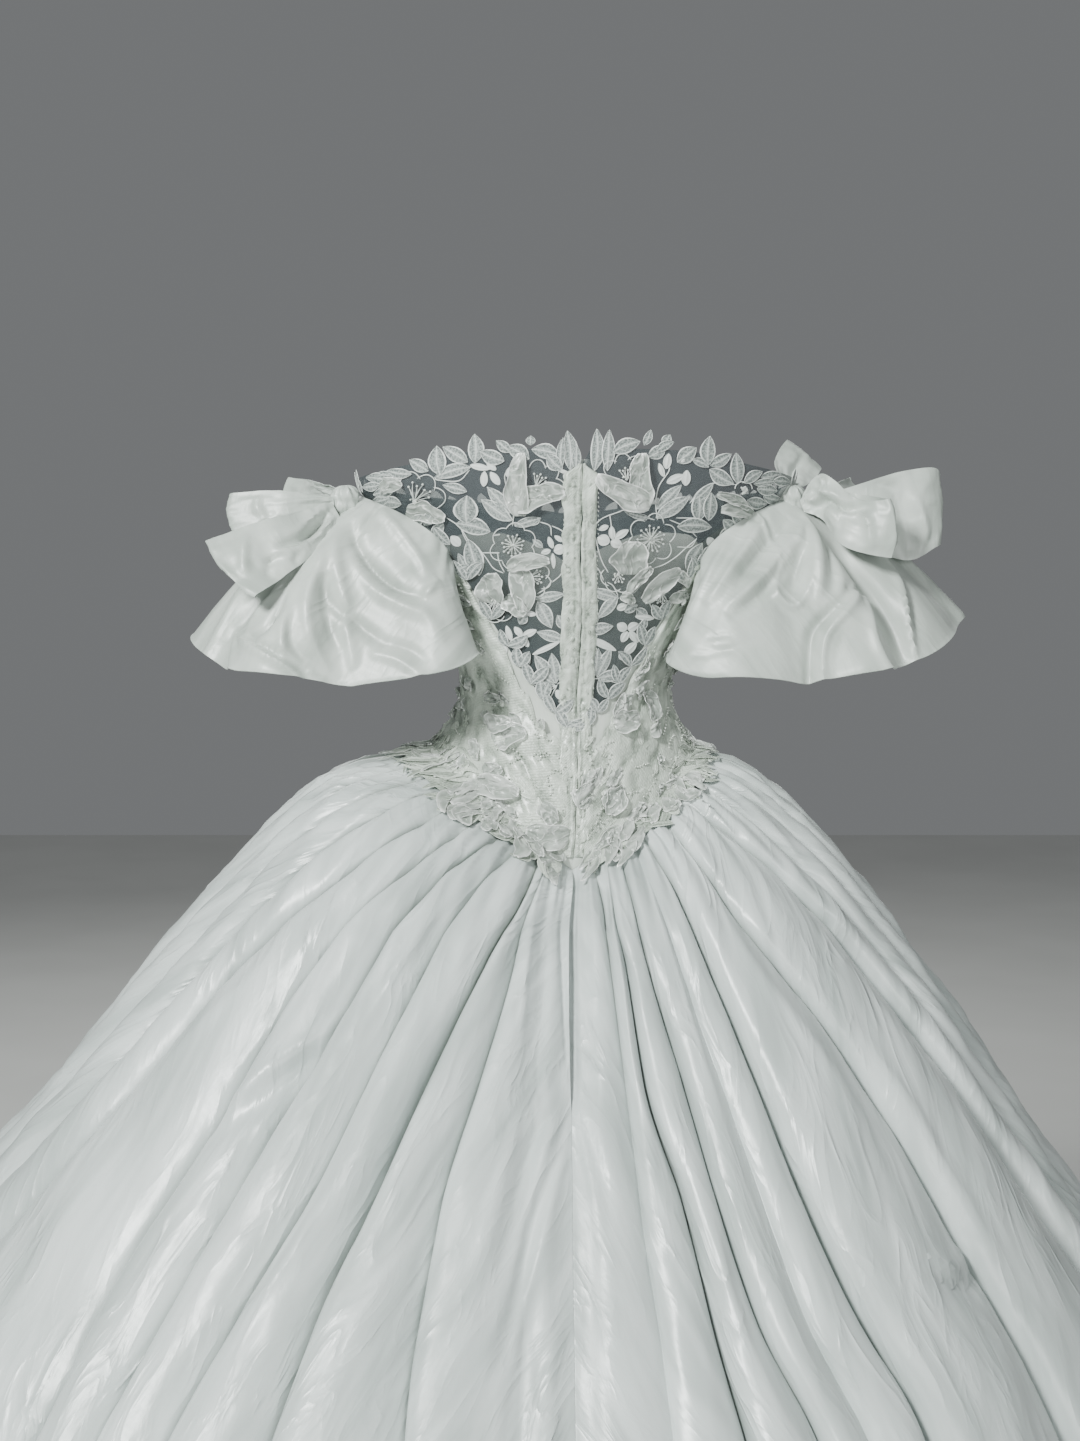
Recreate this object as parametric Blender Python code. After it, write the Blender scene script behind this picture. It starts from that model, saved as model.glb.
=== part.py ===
"""Off-the-shoulder wedding ball gown, hollow and worn, with nobody in it.

Metres, +Z up, front towards -Y, wearer's left towards +X.  The origin is the centre of the
natural waist, which is where the wearer carries the weight of the gown.

Everything on the body is placed by a bearing and a height.  The bearing goes round the body in
degrees: 0 at the centre back, 90 at the wearer's left side, 180 at the centre front.
"""

import math

import bpy
import numpy as np

# ---- cloth -----------------------------------------------------------------------------------
SATIN_WALL = 0.0020          # satin bodice on its boned backing
NET_WALL = 0.0015            # sheer net with its embroidery
LACE_WALL = 0.0016           # corded lace edges
TAFFETA_WALL = 0.0016        # skirt, sleeves and bows
SEAM_GAP = 0.0003            # clear gap between neighbouring pieces
OVERLAY_LIFT = 0.0016        # a piece laid on a curved panel starts this far off it

# ---- the figure ------------------------------------------------------------------------------
TORSO_COLUMNS = ("height", "half_width", "back_depth", "front_depth", "centre_x", "back_turn")
TORSO = (
    (-0.205, 0.166, 0.140, 0.138, 0.000, 0.0),
    (-0.160, 0.158, 0.128, 0.130, 0.000, -1.2),
    (-0.100, 0.145, 0.112, 0.118, 0.001, -3.0),
    (-0.040, 0.124, 0.094, 0.103, 0.002, -4.6),
    (0.012, 0.110, 0.083, 0.090, 0.003, -5.6),
    (0.065, 0.119, 0.088, 0.097, -0.002, -4.2),
    (0.117, 0.141, 0.097, 0.103, -0.006, -2.4),
    (0.165, 0.168, 0.103, 0.106, -0.007, -1.4),
    (0.200, 0.204, 0.106, 0.106, -0.008, -1.2),
    (0.228, 0.232, 0.107, 0.106, -0.008, -1.0),
    (0.262, 0.238, 0.106, 0.105, -0.009, -1.0),
    (0.310, 0.240, 0.104, 0.104, -0.010, -1.0),
)
CUP_BEARING = 31.0           # each bust cup, either side of the centre front
CUP_HEIGHT = 0.098
CUP_DEPTH = 0.020
CUP_SPREAD_DEGREES = 18.0
CUP_SPREAD_HEIGHT = 0.040

# ---- edges drawn on the figure: bearing, height ------------------------------------------------
WINDOW_EDGE = (              # foot of the sheer back, up to the back of the armhole
    (0.0, -0.036),
    (9.0, -0.010),
    (22.0, 0.020),
    (35.0, 0.056),
    (46.0, 0.100),
    (56.0, 0.168),
)
ARMHOLE_CENTRE = (90.0, 0.166)
ARMHOLE_RADIUS = (34.0, 0.048)
SWEETHEART = ((124.0, 0.166), (136.0, 0.178), (150.0, 0.180), (166.0, 0.166), (180.0, 0.140))
NECKLINE = (
    (0.0, 0.270),
    (25.0, 0.267),
    (50.0, 0.252),
    (72.0, 0.242),
    (90.0, 0.236),
    (115.0, 0.226),
    (150.0, 0.214),
    (180.0, 0.200),
)
BASQUE = (                   # pointed waist seam, where the skirt is gathered on
    (0.0, -0.162),
    (14.0, -0.137),
    (35.0, -0.103),
    (60.0, -0.070),
    (90.0, -0.050),
    (120.0, -0.064),
    (150.0, -0.112),
    (180.0, -0.172),
)
PRINCESS_BEARING = 150.0     # seam between the side front and the centre front
BACK_BEARINGS = (0.0, 4.5, 9.0, 15.5, 22.0, 28.5, 35.0, 40.5, 46.0, 51.0, 56.0, 62.0, 73.0, 90.0)
FRONT_BEARINGS = (90.0, 107.0, 118.0, 124.0, 130.0, 136.5, 143.0, 150.0)
CENTRE_BEARINGS = (150.0, 158.0, 166.0, 173.0, 180.0, 187.0, 194.0, 202.0, 210.0)

# ---- neckline lace: leaves and petals standing on the edge -------------------------------------
LEAF_COLUMNS = ("bearing", "height", "half_width_degrees")
NECK_LEAVES = (
    (3.6, 0.018, 2.6),
    (9.5, 0.008, 3.0),
    (15.5, 0.006, 3.0),
    (21.5, 0.016, 2.6),
    (27.0, 0.018, 3.0),
    (33.0, 0.008, 2.8),
    (39.0, 0.012, 2.8),
    (45.0, 0.008, 3.0),
    (51.5, 0.003, 3.2),
    (58.5, 0.008, 3.4),
    (66.0, 0.003, 3.6),
)
NECK_LACE_DEPTH = 0.014
NECK_LACE_END = 72.0

# ---- hip lace: petals lying over the gathers ---------------------------------------------------
PETAL_COLUMNS = ("bearing", "reach", "half_width_degrees", "lift")
HIP_PETALS = {
    "left": (
        (12.0, 0.040, 5.0, 0.001),
        (22.0, 0.046, 5.0, 0.002),
        (32.0, 0.036, 5.0, 0.002),
        (42.5, 0.050, 5.5, 0.003),
        (53.5, 0.040, 5.5, 0.005),
        (64.5, 0.058, 5.5, 0.010),
        (76.0, 0.060, 5.5, 0.014),
        (86.5, 0.056, 5.0, 0.018),
    ),
    "right": (
        (12.0, 0.044, 5.0, 0.001),
        (22.0, 0.036, 5.0, 0.002),
        (32.0, 0.050, 5.0, 0.003),
        (42.5, 0.038, 5.5, 0.004),
        (53.5, 0.052, 5.5, 0.006),
        (64.5, 0.042, 5.5, 0.008),
        (76.0, 0.052, 5.5, 0.014),
        (86.5, 0.046, 5.0, 0.014),
    ),
}
HIP_LACE_START = 7.6
HIP_LACE_TOP = 0.050         # height of its top edge above the waist seam
HIP_LACE_VALLEY = 0.022
HIP_LACE_STAND = (0.018, 0.007)    # how far it stands off the waist at the left and right side

# ---- skirt ------------------------------------------------------------------------------------
HEM_HEIGHT = -1.100
SKIRT_FLARE = (              # fall below the waist seam, spread outside the figure
    (0.000, 0.000),
    (0.006, 0.036),
    (0.017, 0.074),
    (0.061, 0.122),
    (0.105, 0.156),
    (0.149, 0.186),
    (0.238, 0.254),
    (0.328, 0.321),
    (0.419, 0.389),
    (0.510, 0.459),
    (0.720, 0.580),
    (1.052, 0.716),
)
FLARE_SHARE_COLUMNS = ("fall", "at_centre_back", "at_centre_front", "sway_to_wearers_left")
FLARE_SHARE = (
    (0.000, 0.55, 0.50, 0.34),
    (0.060, 0.78, 0.70, 0.23),
    (0.150, 0.92, 0.82, 0.16),
    (0.300, 1.02, 0.86, 0.12),
    (0.600, 1.08, 0.88, 0.12),
    (1.060, 1.12, 0.90, 0.13),
)
SKIRT_ROWS = (0.0, 0.008, 0.030, 0.100, 0.240, 0.430, 0.690, 1.0)    # shares of the fall
SKIRT_TOP_SLACK = 0.0012     # the gathered edge hangs this far below the bodice
FOLD_PROFILE = ((0.0, -1.0), (0.24, 0.55), (0.52, 1.0), (0.80, 0.45), (1.0, -1.0))
FOLD_DEPTH = (
    (0.0, 0.0008),
    (0.017, 0.0032),
    (0.057, 0.0052),
    (0.143, 0.0075),
    (0.310, 0.0100),
    (0.580, 0.0130),
    (1.0, 0.0170),
)
VALLEY_SHARES = (0.0, 0.05, 0.10, 0.20, 0.30, 0.40, 0.50, 1.0)
FOLD_COLUMNS = ("bearing_of_the_valley_at_each_share", "depth_share")
LEFT_FOLDS = (               # each row is a valley and the fold that follows it
    ((0.0, 0.0, 0.0, 0.0, 0.0, 0.0, 0.0, 0.0), 0.6),
    ((4.5, 5.0, 5.5, 6.0, 6.0, 5.5, 5.5, 5.5), 0.4),
    ((8.5, 11.0, 12.0, 14.8, 16.8, 16.6, 15.4, 12.0), 0.8),
    ((11.0, 13.5, 17.3, 22.3, 25.0, 27.0, 27.3, 21.0), 1.4),
    ((17.5, 24.5, 27.0, 30.3, 32.0, 34.7, 36.0, 31.0), 0.8),
    ((24.0, 33.0, 36.0, 38.7, 40.5, 41.5, 42.0, 40.0), 1.0),
    ((33.0, 40.0, 44.0, 47.5, 48.0, 49.0, 47.5, 48.0), 0.9),
    ((42.0, 49.5, 53.5, 61.0, 63.5, 66.0, 68.0, 62.0), 1.1),
    ((52.0, 59.0, 62.5, 68.0, 70.5, 74.0, 76.0, 70.0), 1.1),
    ((62.0, 68.0, 72.0, 75.0, 78.0, 82.0, 84.0, 78.0), 0.9),
    ((72.0, 76.0, 79.0, 83.0, 86.0, 88.5, 90.0, 86.0), 0.9),
    ((81.0, 84.0, 87.0, 91.0, 94.0, 97.0, 98.0, 94.0), 1.0),
    ((90.0, 93.0, 96.0, 100.0, 103.0, 105.0, 106.0, 102.0), 0.9),
)
RIGHT_FOLDS = (
    ((0.0, 0.0, 0.0, 0.0, 0.0, 0.0, 0.0, 0.0), 0.6),
    ((6.5, 8.6, 8.8, 9.0, 9.0, 9.5, 9.5, 8.0), 0.7),
    ((11.0, 11.0, 12.0, 12.3, 15.0, 16.0, 17.0, 17.0), 1.2),
    ((15.0, 16.0, 16.5, 18.5, 19.4, 21.0, 24.0, 24.0), 0.9),
    ((19.5, 21.5, 22.5, 24.0, 25.0, 26.0, 28.5, 28.0), 0.5),
    ((24.0, 27.0, 28.5, 30.3, 31.0, 32.5, 35.0, 36.0), 1.4),
    ((33.0, 36.0, 38.5, 46.0, 49.0, 50.0, 51.0, 50.0), 0.9),
    ((43.0, 50.0, 56.0, 63.0, 66.0, 68.0, 69.0, 64.0), 1.2),
    ((54.0, 60.0, 64.0, 70.0, 73.0, 75.0, 76.0, 72.0), 0.8),
    ((64.0, 69.0, 72.0, 77.0, 80.0, 82.0, 83.0, 79.0), 0.9),
    ((74.0, 77.0, 80.0, 84.0, 87.0, 89.0, 90.0, 87.0), 0.9),
    ((82.0, 85.0, 88.0, 92.0, 95.0, 97.0, 98.0, 95.0), 0.9),
    ((90.0, 94.0, 97.0, 101.0, 104.0, 106.0, 107.0, 103.0), 0.9),
)
FOLD_STEEPNESS = 0.24        # a fold is at most this deep for its width
FRONT_FOLDS = 23             # spaced evenly between the two side seams' folds
SKIRT_GORES = (              # name, first fold, last fold
    ("skirt_back_left", 0, 8),
    ("skirt_side_left", 8, 17),
    ("skirt_front", 17, 29),
    ("skirt_side_right", 29, 38),
    ("skirt_back_right", 38, 46),
)
SLIT_HALF_WIDTH = 0.0026     # the skirt's centre back opening, at its widest
SLIT_DEPTH = 0.23            # share of the fall at which the opening closes

# ---- back closing: name, side, near edge and far edge from the centre back ----------------------
PLACKETS = (("placket_left", 1, 0.0004, 0.0185), ("placket_right", -1, 0.0022, 0.0165))
PLACKET_TOP = 0.2535
PLACKET_FOOT = -0.150
ZIP_TAPES = (("zip_tape_left", 1), ("zip_tape_right", -1))
ZIP_TAPE_WIDTH = 0.013
ZIP_TAPE_WALL = 0.0012
ZIP_FOOT = -0.152

# ---- sleeve flounces --------------------------------------------------------------------------
SLEEVE_RING_LIFT = 0.0026
SLEEVE_RING_MARGIN = (2.5, 0.0055)    # how far the sleeve's top laps round the armhole
SLEEVE_GATHER = 1.8                   # crowds the gathers up under the knot
SLEEVE_ROWS = (0.0, 0.05, 0.16, 0.34, 0.56, 0.79, 1.0)
HEM_COLUMNS = ("turn", "across", "depth", "height")
SLEEVE_HEMS = {              # turn about the arm: 0 back, 90 outwards, 180 front, 270 body
    "left": (
        (0.0, 0.225, 0.142, 0.030),
        (28.0, 0.300, 0.138, 0.039),
        (52.0, 0.362, 0.106, 0.044),
        (72.0, 0.386, 0.052, 0.058),
        (90.0, 0.396, 0.000, 0.072),
        (112.0, 0.380, -0.062, 0.062),
        (140.0, 0.330, -0.116, 0.040),
        (180.0, 0.236, -0.140, 0.026),
        (215.0, 0.160, -0.142, 0.034),
        (245.0, 0.120, -0.100, 0.050),
        (270.0, 0.112, 0.000, 0.062),
        (295.0, 0.096, 0.106, 0.058),
        (325.0, 0.132, 0.138, 0.038),
        (360.0, 0.225, 0.142, 0.030),
    ),
    "right": (
        (0.0, 0.240, 0.142, 0.034),
        (28.0, 0.318, 0.136, 0.042),
        (52.0, 0.366, 0.106, 0.054),
        (72.0, 0.398, 0.050, 0.076),
        (90.0, 0.428, 0.000, 0.090),
        (112.0, 0.392, -0.062, 0.074),
        (140.0, 0.340, -0.116, 0.048),
        (180.0, 0.246, -0.140, 0.032),
        (215.0, 0.166, -0.142, 0.038),
        (245.0, 0.124, -0.100, 0.052),
        (270.0, 0.114, 0.000, 0.060),
        (295.0, 0.104, 0.104, 0.048),
        (325.0, 0.150, 0.138, 0.034),
        (360.0, 0.240, 0.142, 0.034),
    ),
}
SLEEVE_CLEARANCE = 0.014     # the flounce hangs at least this far off the bodice
SLEEVE_PUFF = 0.012
SLEEVE_FOLD_COLUMNS = ("turn_at_hem", "depth", "half_width")
SLEEVE_FOLDS = {
    "left": (
        (8.0, -0.010, 12.0),
        (32.0, 0.010, 13.0),
        (56.0, -0.012, 12.0),
        (80.0, 0.010, 12.0),
        (106.0, -0.010, 13.0),
        (134.0, 0.012, 14.0),
        (164.0, -0.012, 14.0),
        (198.0, 0.010, 14.0),
        (326.0, 0.008, 14.0),
    ),
    "right": (
        (4.0, -0.014, 10.0),
        (24.0, 0.012, 11.0),
        (42.0, -0.014, 10.0),
        (66.0, 0.012, 12.0),
        (92.0, -0.008, 12.0),
        (118.0, 0.010, 13.0),
        (146.0, -0.012, 14.0),
        (178.0, 0.012, 14.0),
        (334.0, 0.008, 14.0),
    ),
}

# ---- shoulder bows -----------------------------------------------------------------------------
KNOT_RADII = (0.016, 0.013, 0.014)
KNOTS = (("knot_left", (0.246, 0.022, 0.231)), ("knot_right", (-0.256, 0.022, 0.231)))
LOOP_COLUMNS = ("name", "root", "upper_tip", "lower_tip", "root_half_width", "puff")
BOW_LOOPS = (
    ("loop_left_outer",
     (0.263, 0.022, 0.213), (0.358, 0.026, 0.215), (0.360, 0.052, 0.164), 0.007, 0.017),
    ("loop_left_lower",
     (0.252, 0.050, 0.214), (0.380, 0.088, 0.160), (0.326, 0.134, 0.118), 0.008, 0.019),
    ("loop_left_front",
     (0.258, -0.010, 0.222), (0.290, -0.112, 0.228), (0.322, -0.098, 0.168), 0.007, 0.018),
    ("loop_right_near",
     (-0.268, 0.050, 0.222), (-0.330, 0.100, 0.226), (-0.354, 0.108, 0.150), 0.007, 0.020),
    ("loop_right_far",
     (-0.273, 0.014, 0.226), (-0.388, 0.020, 0.252), (-0.390, 0.036, 0.166), 0.008, 0.019),
    ("loop_right_standing",
     (-0.252, 0.002, 0.245), (-0.222, -0.060, 0.272), (-0.280, -0.054, 0.276), 0.007, 0.012),
    ("loop_right_front",
     (-0.268, -0.010, 0.226), (-0.310, -0.116, 0.240), (-0.338, -0.102, 0.172), 0.007, 0.018),
)
LOOP_STEPS_ALONG = 14
LOOP_STEPS_ACROSS = 4
LOOP_ROOT_GAP = 0.0034


def smooth(table, x, column=1):
    """Smooth curve through the table's first and given columns, with no overshoot."""
    xs = np.array([row[0] for row in table], float)
    ys = np.array([row[column] for row in table], float)
    x = np.clip(np.asarray(x, float), xs[0], xs[-1])
    step = np.diff(xs)
    slope = np.diff(ys) / step
    tangent = np.zeros(len(xs))
    tangent[0] = slope[0]
    tangent[-1] = slope[-1]
    same_way = slope[:-1] * slope[1:] > 0
    both = np.where(same_way, slope[:-1] + slope[1:], 1.0)
    tangent[1:-1] = np.where(same_way, 2 * slope[:-1] * slope[1:] / both, 0.0)
    i = np.clip(np.searchsorted(xs, x, side="right") - 1, 0, len(xs) - 2)
    t = (x - xs[i]) / step[i]
    start = (2 * t**3 - 3 * t**2 + 1) * ys[i] + (t**3 - 2 * t**2 + t) * step[i] * tangent[i]
    end = (3 * t**2 - 2 * t**3) * ys[i + 1] + (t**3 - t**2) * step[i] * tangent[i + 1]
    return start + end


def straight(table, x, column=1):
    """Straight lines through the table's first and given columns."""
    return np.interp(x, [row[0] for row in table], [row[column] for row in table])


def side_bearing(bearing):
    """Bearing folded onto 0 to 180, the same for both sides."""
    return np.abs((np.asarray(bearing, float) + 180.0) % 360.0 - 180.0)


def unit(vectors):
    """Vectors scaled to length one."""
    return vectors / np.maximum(np.linalg.norm(vectors, axis=-1, keepdims=True), 1e-12)


def figure_ring(height):
    """Half width, back depth, front depth, centre x and back turn at the given height."""
    return [smooth(TORSO, height, column) for column in range(1, 6)]


def torso(bearing, height, lift=0.0, spread=0.0):
    """Point on the outside of the bodice, moved out by lift, and by spread for the skirt."""
    bearing, height = np.broadcast_arrays(np.asarray(bearing, float), np.asarray(height, float))
    half_width, back, front, centre_x, turn = figure_ring(height)
    angle = np.radians(bearing)
    angle = angle + np.radians(turn) * np.maximum(np.cos(angle), 0.0)
    depth = np.where(np.cos(angle) > 0, back, front)
    from_cup = np.abs(side_bearing(bearing) - (180.0 - CUP_BEARING)) / CUP_SPREAD_DEGREES
    above_cup = (height - CUP_HEIGHT) / CUP_SPREAD_HEIGHT
    cup = CUP_DEPTH * np.exp(-(from_cup**2) - above_cup**2)
    across = np.sin(angle) * depth
    along = np.cos(angle) * half_width
    length = np.hypot(across, along)
    out = cup + lift + spread
    x = centre_x + half_width * np.sin(angle) + across / length * out
    y = depth * np.cos(angle) + along / length * out
    return np.stack([x, y, height + 0.0 * x], axis=-1)


def basque(bearing):
    """Height of the waist seam."""
    return smooth(BASQUE, side_bearing(bearing))


def neckline(bearing):
    """Height of the net's top edge."""
    return smooth(NECKLINE, side_bearing(bearing))


def armhole(bearing, side, margin=(0.0, 0.0)):
    """Height of the armhole's upper (side 1) or lower (side -1) edge."""
    across = (side_bearing(bearing) - ARMHOLE_CENTRE[0]) / (ARMHOLE_RADIUS[0] + margin[0])
    rise = (ARMHOLE_RADIUS[1] + margin[1]) * np.sqrt(np.clip(1.0 - across**2, 0.0, 1.0))
    return ARMHOLE_CENTRE[1] + side * rise


def panel_top(bearing):
    """Height of the satin's top edge: sheer back, underarm, sweetheart."""
    b = side_bearing(bearing)
    low, high = ARMHOLE_CENTRE[0] - ARMHOLE_RADIUS[0], ARMHOLE_CENTRE[0] + ARMHOLE_RADIUS[0]
    edge = np.where(b > high, smooth(SWEETHEART, b), armhole(b, -1))
    return np.where(b < low, smooth(WINDOW_EDGE, b), edge)


def net_foot(bearing):
    """Height of the net's lower edge: sheer back, over the arm, sweetheart."""
    b = side_bearing(bearing)
    low, high = ARMHOLE_CENTRE[0] - ARMHOLE_RADIUS[0], ARMHOLE_CENTRE[0] + ARMHOLE_RADIUS[0]
    return np.where((b < low) | (b > high), panel_top(b) + SEAM_GAP, armhole(b, 1))


def skirt_spread(bearing, fall):
    """How far outside the figure the skirt stands, this far below the waist seam."""
    angle = np.radians(bearing)
    back = np.maximum(np.cos(angle), 0.0) ** 2
    front = np.maximum(-np.cos(angle), 0.0) ** 2
    share = 1.0 + (smooth(FLARE_SHARE, fall, 1) - 1.0) * back
    share = share + (smooth(FLARE_SHARE, fall, 2) - 1.0) * front
    sway = 1.0 + smooth(FLARE_SHARE, fall, 3) * np.sin(angle)
    return smooth(SKIRT_FLARE, fall) * share * sway


def skirt_fall(bearing):
    """Height of cloth between the waist seam and the hem."""
    return basque(bearing) - SKIRT_TOP_SLACK - HEM_HEIGHT


def skirt_form(bearing, share, lift=0.0):
    """Skirt without its gathers."""
    fall = skirt_fall(bearing) * share
    height = basque(bearing) - SKIRT_TOP_SLACK - fall
    point = torso(bearing, np.maximum(height, TORSO[0][0]), lift, skirt_spread(bearing, fall))
    point[..., 2] = height
    return point


def all_folds():
    """Every fold round the skirt: the bearings of its valley down the fall, and its depth share."""
    first = np.array(LEFT_FOLDS[-1][0])
    last = 360.0 - np.array(RIGHT_FOLDS[-1][0])
    bearings = [np.array(row[0]) for row in LEFT_FOLDS]
    depths = [row[1] for row in LEFT_FOLDS]
    for i in range(1, FRONT_FOLDS - 1):
        bearings.append(first + (last - first) * i / (FRONT_FOLDS - 1))
        depths.append((0.8, 1.2, 1.0)[i % 3])
    for i in range(len(RIGHT_FOLDS) - 1, 0, -1):
        bearings.append(360.0 - np.array(RIGHT_FOLDS[i][0]))
        depths.append(RIGHT_FOLDS[i - 1][1])
    bearings.append(np.full(len(VALLEY_SHARES), 360.0))
    depths.append(LEFT_FOLDS[0][1])
    return np.array(bearings), np.array(depths)


VALLEYS, FOLD_SIZES = all_folds()


def valley_bearing(k, share):
    """Bearing of valley k at a share of the fall."""
    lines = np.array([smooth(tuple(zip(VALLEY_SHARES, row)), share) for row in VALLEYS])
    return np.take_along_axis(lines, k[None, ...], axis=0)[0]


def skirt(turn, share):
    """Skirt point; turn counts folds round from the centre back, share goes down the fall."""
    turn, share = np.broadcast_arrays(np.asarray(turn, float), np.asarray(share, float))
    share = np.clip(share, 0.0, 1.0)
    count = len(VALLEYS) - 1
    k = np.floor(turn % count).astype(int) % count
    phase = turn % count - k
    lap = np.floor(turn / count) * 360.0
    start = valley_bearing(k, share)
    end = valley_bearing(k + 1, share)
    bearing = start + (end - start) * phase + lap
    beside = np.where(phase < 0.5, k - 1, k + 1) % count
    towards = np.abs(2.0 * phase - 1.0) / 2.0
    size = FOLD_SIZES[k] * (1.0 - towards) + FOLD_SIZES[beside] * towards
    near = skirt_form(bearing - 0.5, share)
    metre = np.linalg.norm(skirt_form(bearing + 0.5, share) - near, axis=-1)
    most = FOLD_STEEPNESS * (end - start) * metre
    depth = np.minimum(smooth(FOLD_DEPTH, share) * size, most) * straight(FOLD_PROFILE, phase)
    return skirt_form(bearing, share, depth)


def offset_points(surface, u, v, du, dv, distance):
    """Grid points moved along the surface's own normal, to the left of u crossed with v."""
    along = surface(u + du, v) - surface(u - du, v)
    down = surface(u, v + dv) - surface(u, v - dv)
    return surface(u, v) + unit(np.cross(along, down)) * distance


def add_wall(name, outer, inner, finish, closed=False):
    """One closed piece from two grids of points, outer and inner, with its four edges."""
    rows, columns = outer.shape[:2]
    count = rows * columns
    points = np.concatenate([outer.reshape(-1, 3), inner.reshape(-1, 3)])
    faces = []
    last = columns if closed else columns - 1
    for i in range(rows - 1):
        for j in range(last):
            a = i * columns + j
            b = i * columns + (j + 1) % columns
            c = b + columns
            d = a + columns
            faces.append((a, b, c, d))
            faces.append((count + a, count + d, count + c, count + b))
    for j in range(last):
        a = j
        b = (j + 1) % columns
        faces.append((b, a, count + a, count + b))
        a += (rows - 1) * columns
        b += (rows - 1) * columns
        faces.append((a, b, count + b, count + a))
    if not closed:
        for i in range(rows - 1):
            a = i * columns
            b = a + columns
            faces.append((a, b, count + b, count + a))
            a += columns - 1
            b += columns - 1
            faces.append((a, count + a, count + b, b))
    return add_mesh(name, points, faces, finish)


def add_mesh(name, points, faces, finish):
    """Object with its own material, turned so that its faces look outwards."""
    corners = points[[face[0] for face in faces]]
    volume = 0.0
    for face, first in zip(faces, corners):
        for k in range(1, len(face) - 1):
            volume += np.dot(first, np.cross(points[face[k]], points[face[k + 1]]))
    if volume < 0:
        faces = [(face[0], *reversed(face[1:])) for face in faces]
    mesh = bpy.data.meshes.new(name)
    mesh.from_pydata([tuple(map(float, p)) for p in points], [], faces)
    mesh.update()
    thing = bpy.data.objects.new(name, mesh)
    bpy.context.scene.collection.objects.link(thing)
    mesh.materials.append(finish_material(name, finish))
    return thing


FINISHES = {
    "satin": ((0.80, 0.83, 0.80), 0.36),
    "net": ((0.55, 0.58, 0.58), 0.70),
    "lace": ((0.84, 0.86, 0.83), 0.62),
    "taffeta": ((0.82, 0.85, 0.83), 0.32),
    "tape": ((0.78, 0.80, 0.78), 0.70),
}


def finish_material(name, finish):
    """A Principled material of the named finish, one for each piece."""
    colour, roughness = FINISHES[finish]
    material = bpy.data.materials.new(name + "_" + finish)
    material.use_nodes = True
    shader = next(n for n in material.node_tree.nodes if n.type == "BSDF_PRINCIPLED")
    shader.inputs["Base Color"].default_value = (*colour, 1.0)
    shader.inputs["Roughness"].default_value = roughness
    return material


def inset_bearings(bearings, height, sides):
    """Bearings with the first and last drawn in by half a seam gap."""
    bearings = np.array(bearings, float)
    near = torso(bearings, height)
    far = torso(bearings + 0.5, height)
    pull = np.degrees(SEAM_GAP / 2.0) / (np.linalg.norm(far - near, axis=-1) / math.radians(0.5))
    if sides[0]:
        bearings[0] += pull[0]
    if sides[1]:
        bearings[-1] -= pull[-1]
    return bearings


def add_panel(name, bearings, top, foot, rows, wall, finish, lift=0.0, mirror=False, sides=(1, 1)):
    """Piece of the bodice between two edges, with its wall inside the figure's surface."""
    bearings = inset_bearings(bearings, 0.1, sides)
    if mirror:
        bearings = -bearings[::-1]
    share = np.linspace(0.0, 1.0, rows)[:, None]
    heights = top(bearings)[None, :] + (foot(bearings) - top(bearings))[None, :] * share
    spread = np.broadcast_to(bearings, heights.shape)
    outer = torso(spread, heights, lift)
    inner = torso(spread, heights, lift - wall)
    return add_wall(name, outer, inner, finish)


def build_bodice():
    """Satin panels, with the sheer net above them."""
    for side, mirror in (("left", False), ("right", True)):
        add_panel(f"back_{side}", BACK_BEARINGS, panel_top, basque, 8, SATIN_WALL, "satin", 0.0, mirror)
        add_panel(
            f"side_front_{side}", FRONT_BEARINGS, panel_top, basque, 8, SATIN_WALL, "satin", 0.0, mirror
        )
        add_panel(
            f"back_net_{side}", BACK_BEARINGS, neckline, net_foot, 9, NET_WALL, "net", 0.0, mirror
        )
    add_panel("centre_front", CENTRE_BEARINGS, panel_top, basque, 8, SATIN_WALL, "satin")
    front = FRONT_BEARINGS + CENTRE_BEARINGS[1:-1] + tuple(360.0 - b for b in reversed(FRONT_BEARINGS))
    add_panel("front_net", front, neckline, net_foot, 4, NET_WALL, "net")


def strip_points(side, near, far, heights, lift):
    """Grid down the centre back, between two distances from its line."""
    rows = []
    for height in heights:
        half_width = float(figure_ring(height)[0])
        bearings = side * np.degrees(np.arcsin(np.linspace(near, far, 4) / half_width))
        rows.append(torso(bearings, height, lift))
    return np.array(rows)


def build_back_closing():
    """Lace-covered strips over the zip, and its tapes inside."""
    for name, side, near, far in PLACKETS:
        heights = np.linspace(PLACKET_TOP, PLACKET_FOOT, 12)
        lift = OVERLAY_LIFT + 0.0008
        outer = strip_points(side, near, far, heights, lift + LACE_WALL)
        add_wall(name, outer, strip_points(side, near, far, heights, lift), "lace")
    for name, side in ZIP_TAPES:
        heights = np.linspace(0.258, ZIP_FOOT, 12)
        lift = -SATIN_WALL - OVERLAY_LIFT
        edges = (SEAM_GAP / 2.0, ZIP_TAPE_WIDTH)
        outer = strip_points(side, *edges, heights, lift)
        add_wall(name, outer, strip_points(side, *edges, heights, lift - ZIP_TAPE_WALL), "tape")


def leafy_rise(bearing, leaves):
    """Height of the leaves above the edge that they stand on."""
    rise = np.zeros_like(bearing)
    for centre, height, half_width in leaves:
        share = np.clip(1.0 - np.abs(bearing - centre) / half_width, 0.0, 1.0)
        rise = np.maximum(rise, height * share**0.75)
    return rise


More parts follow.
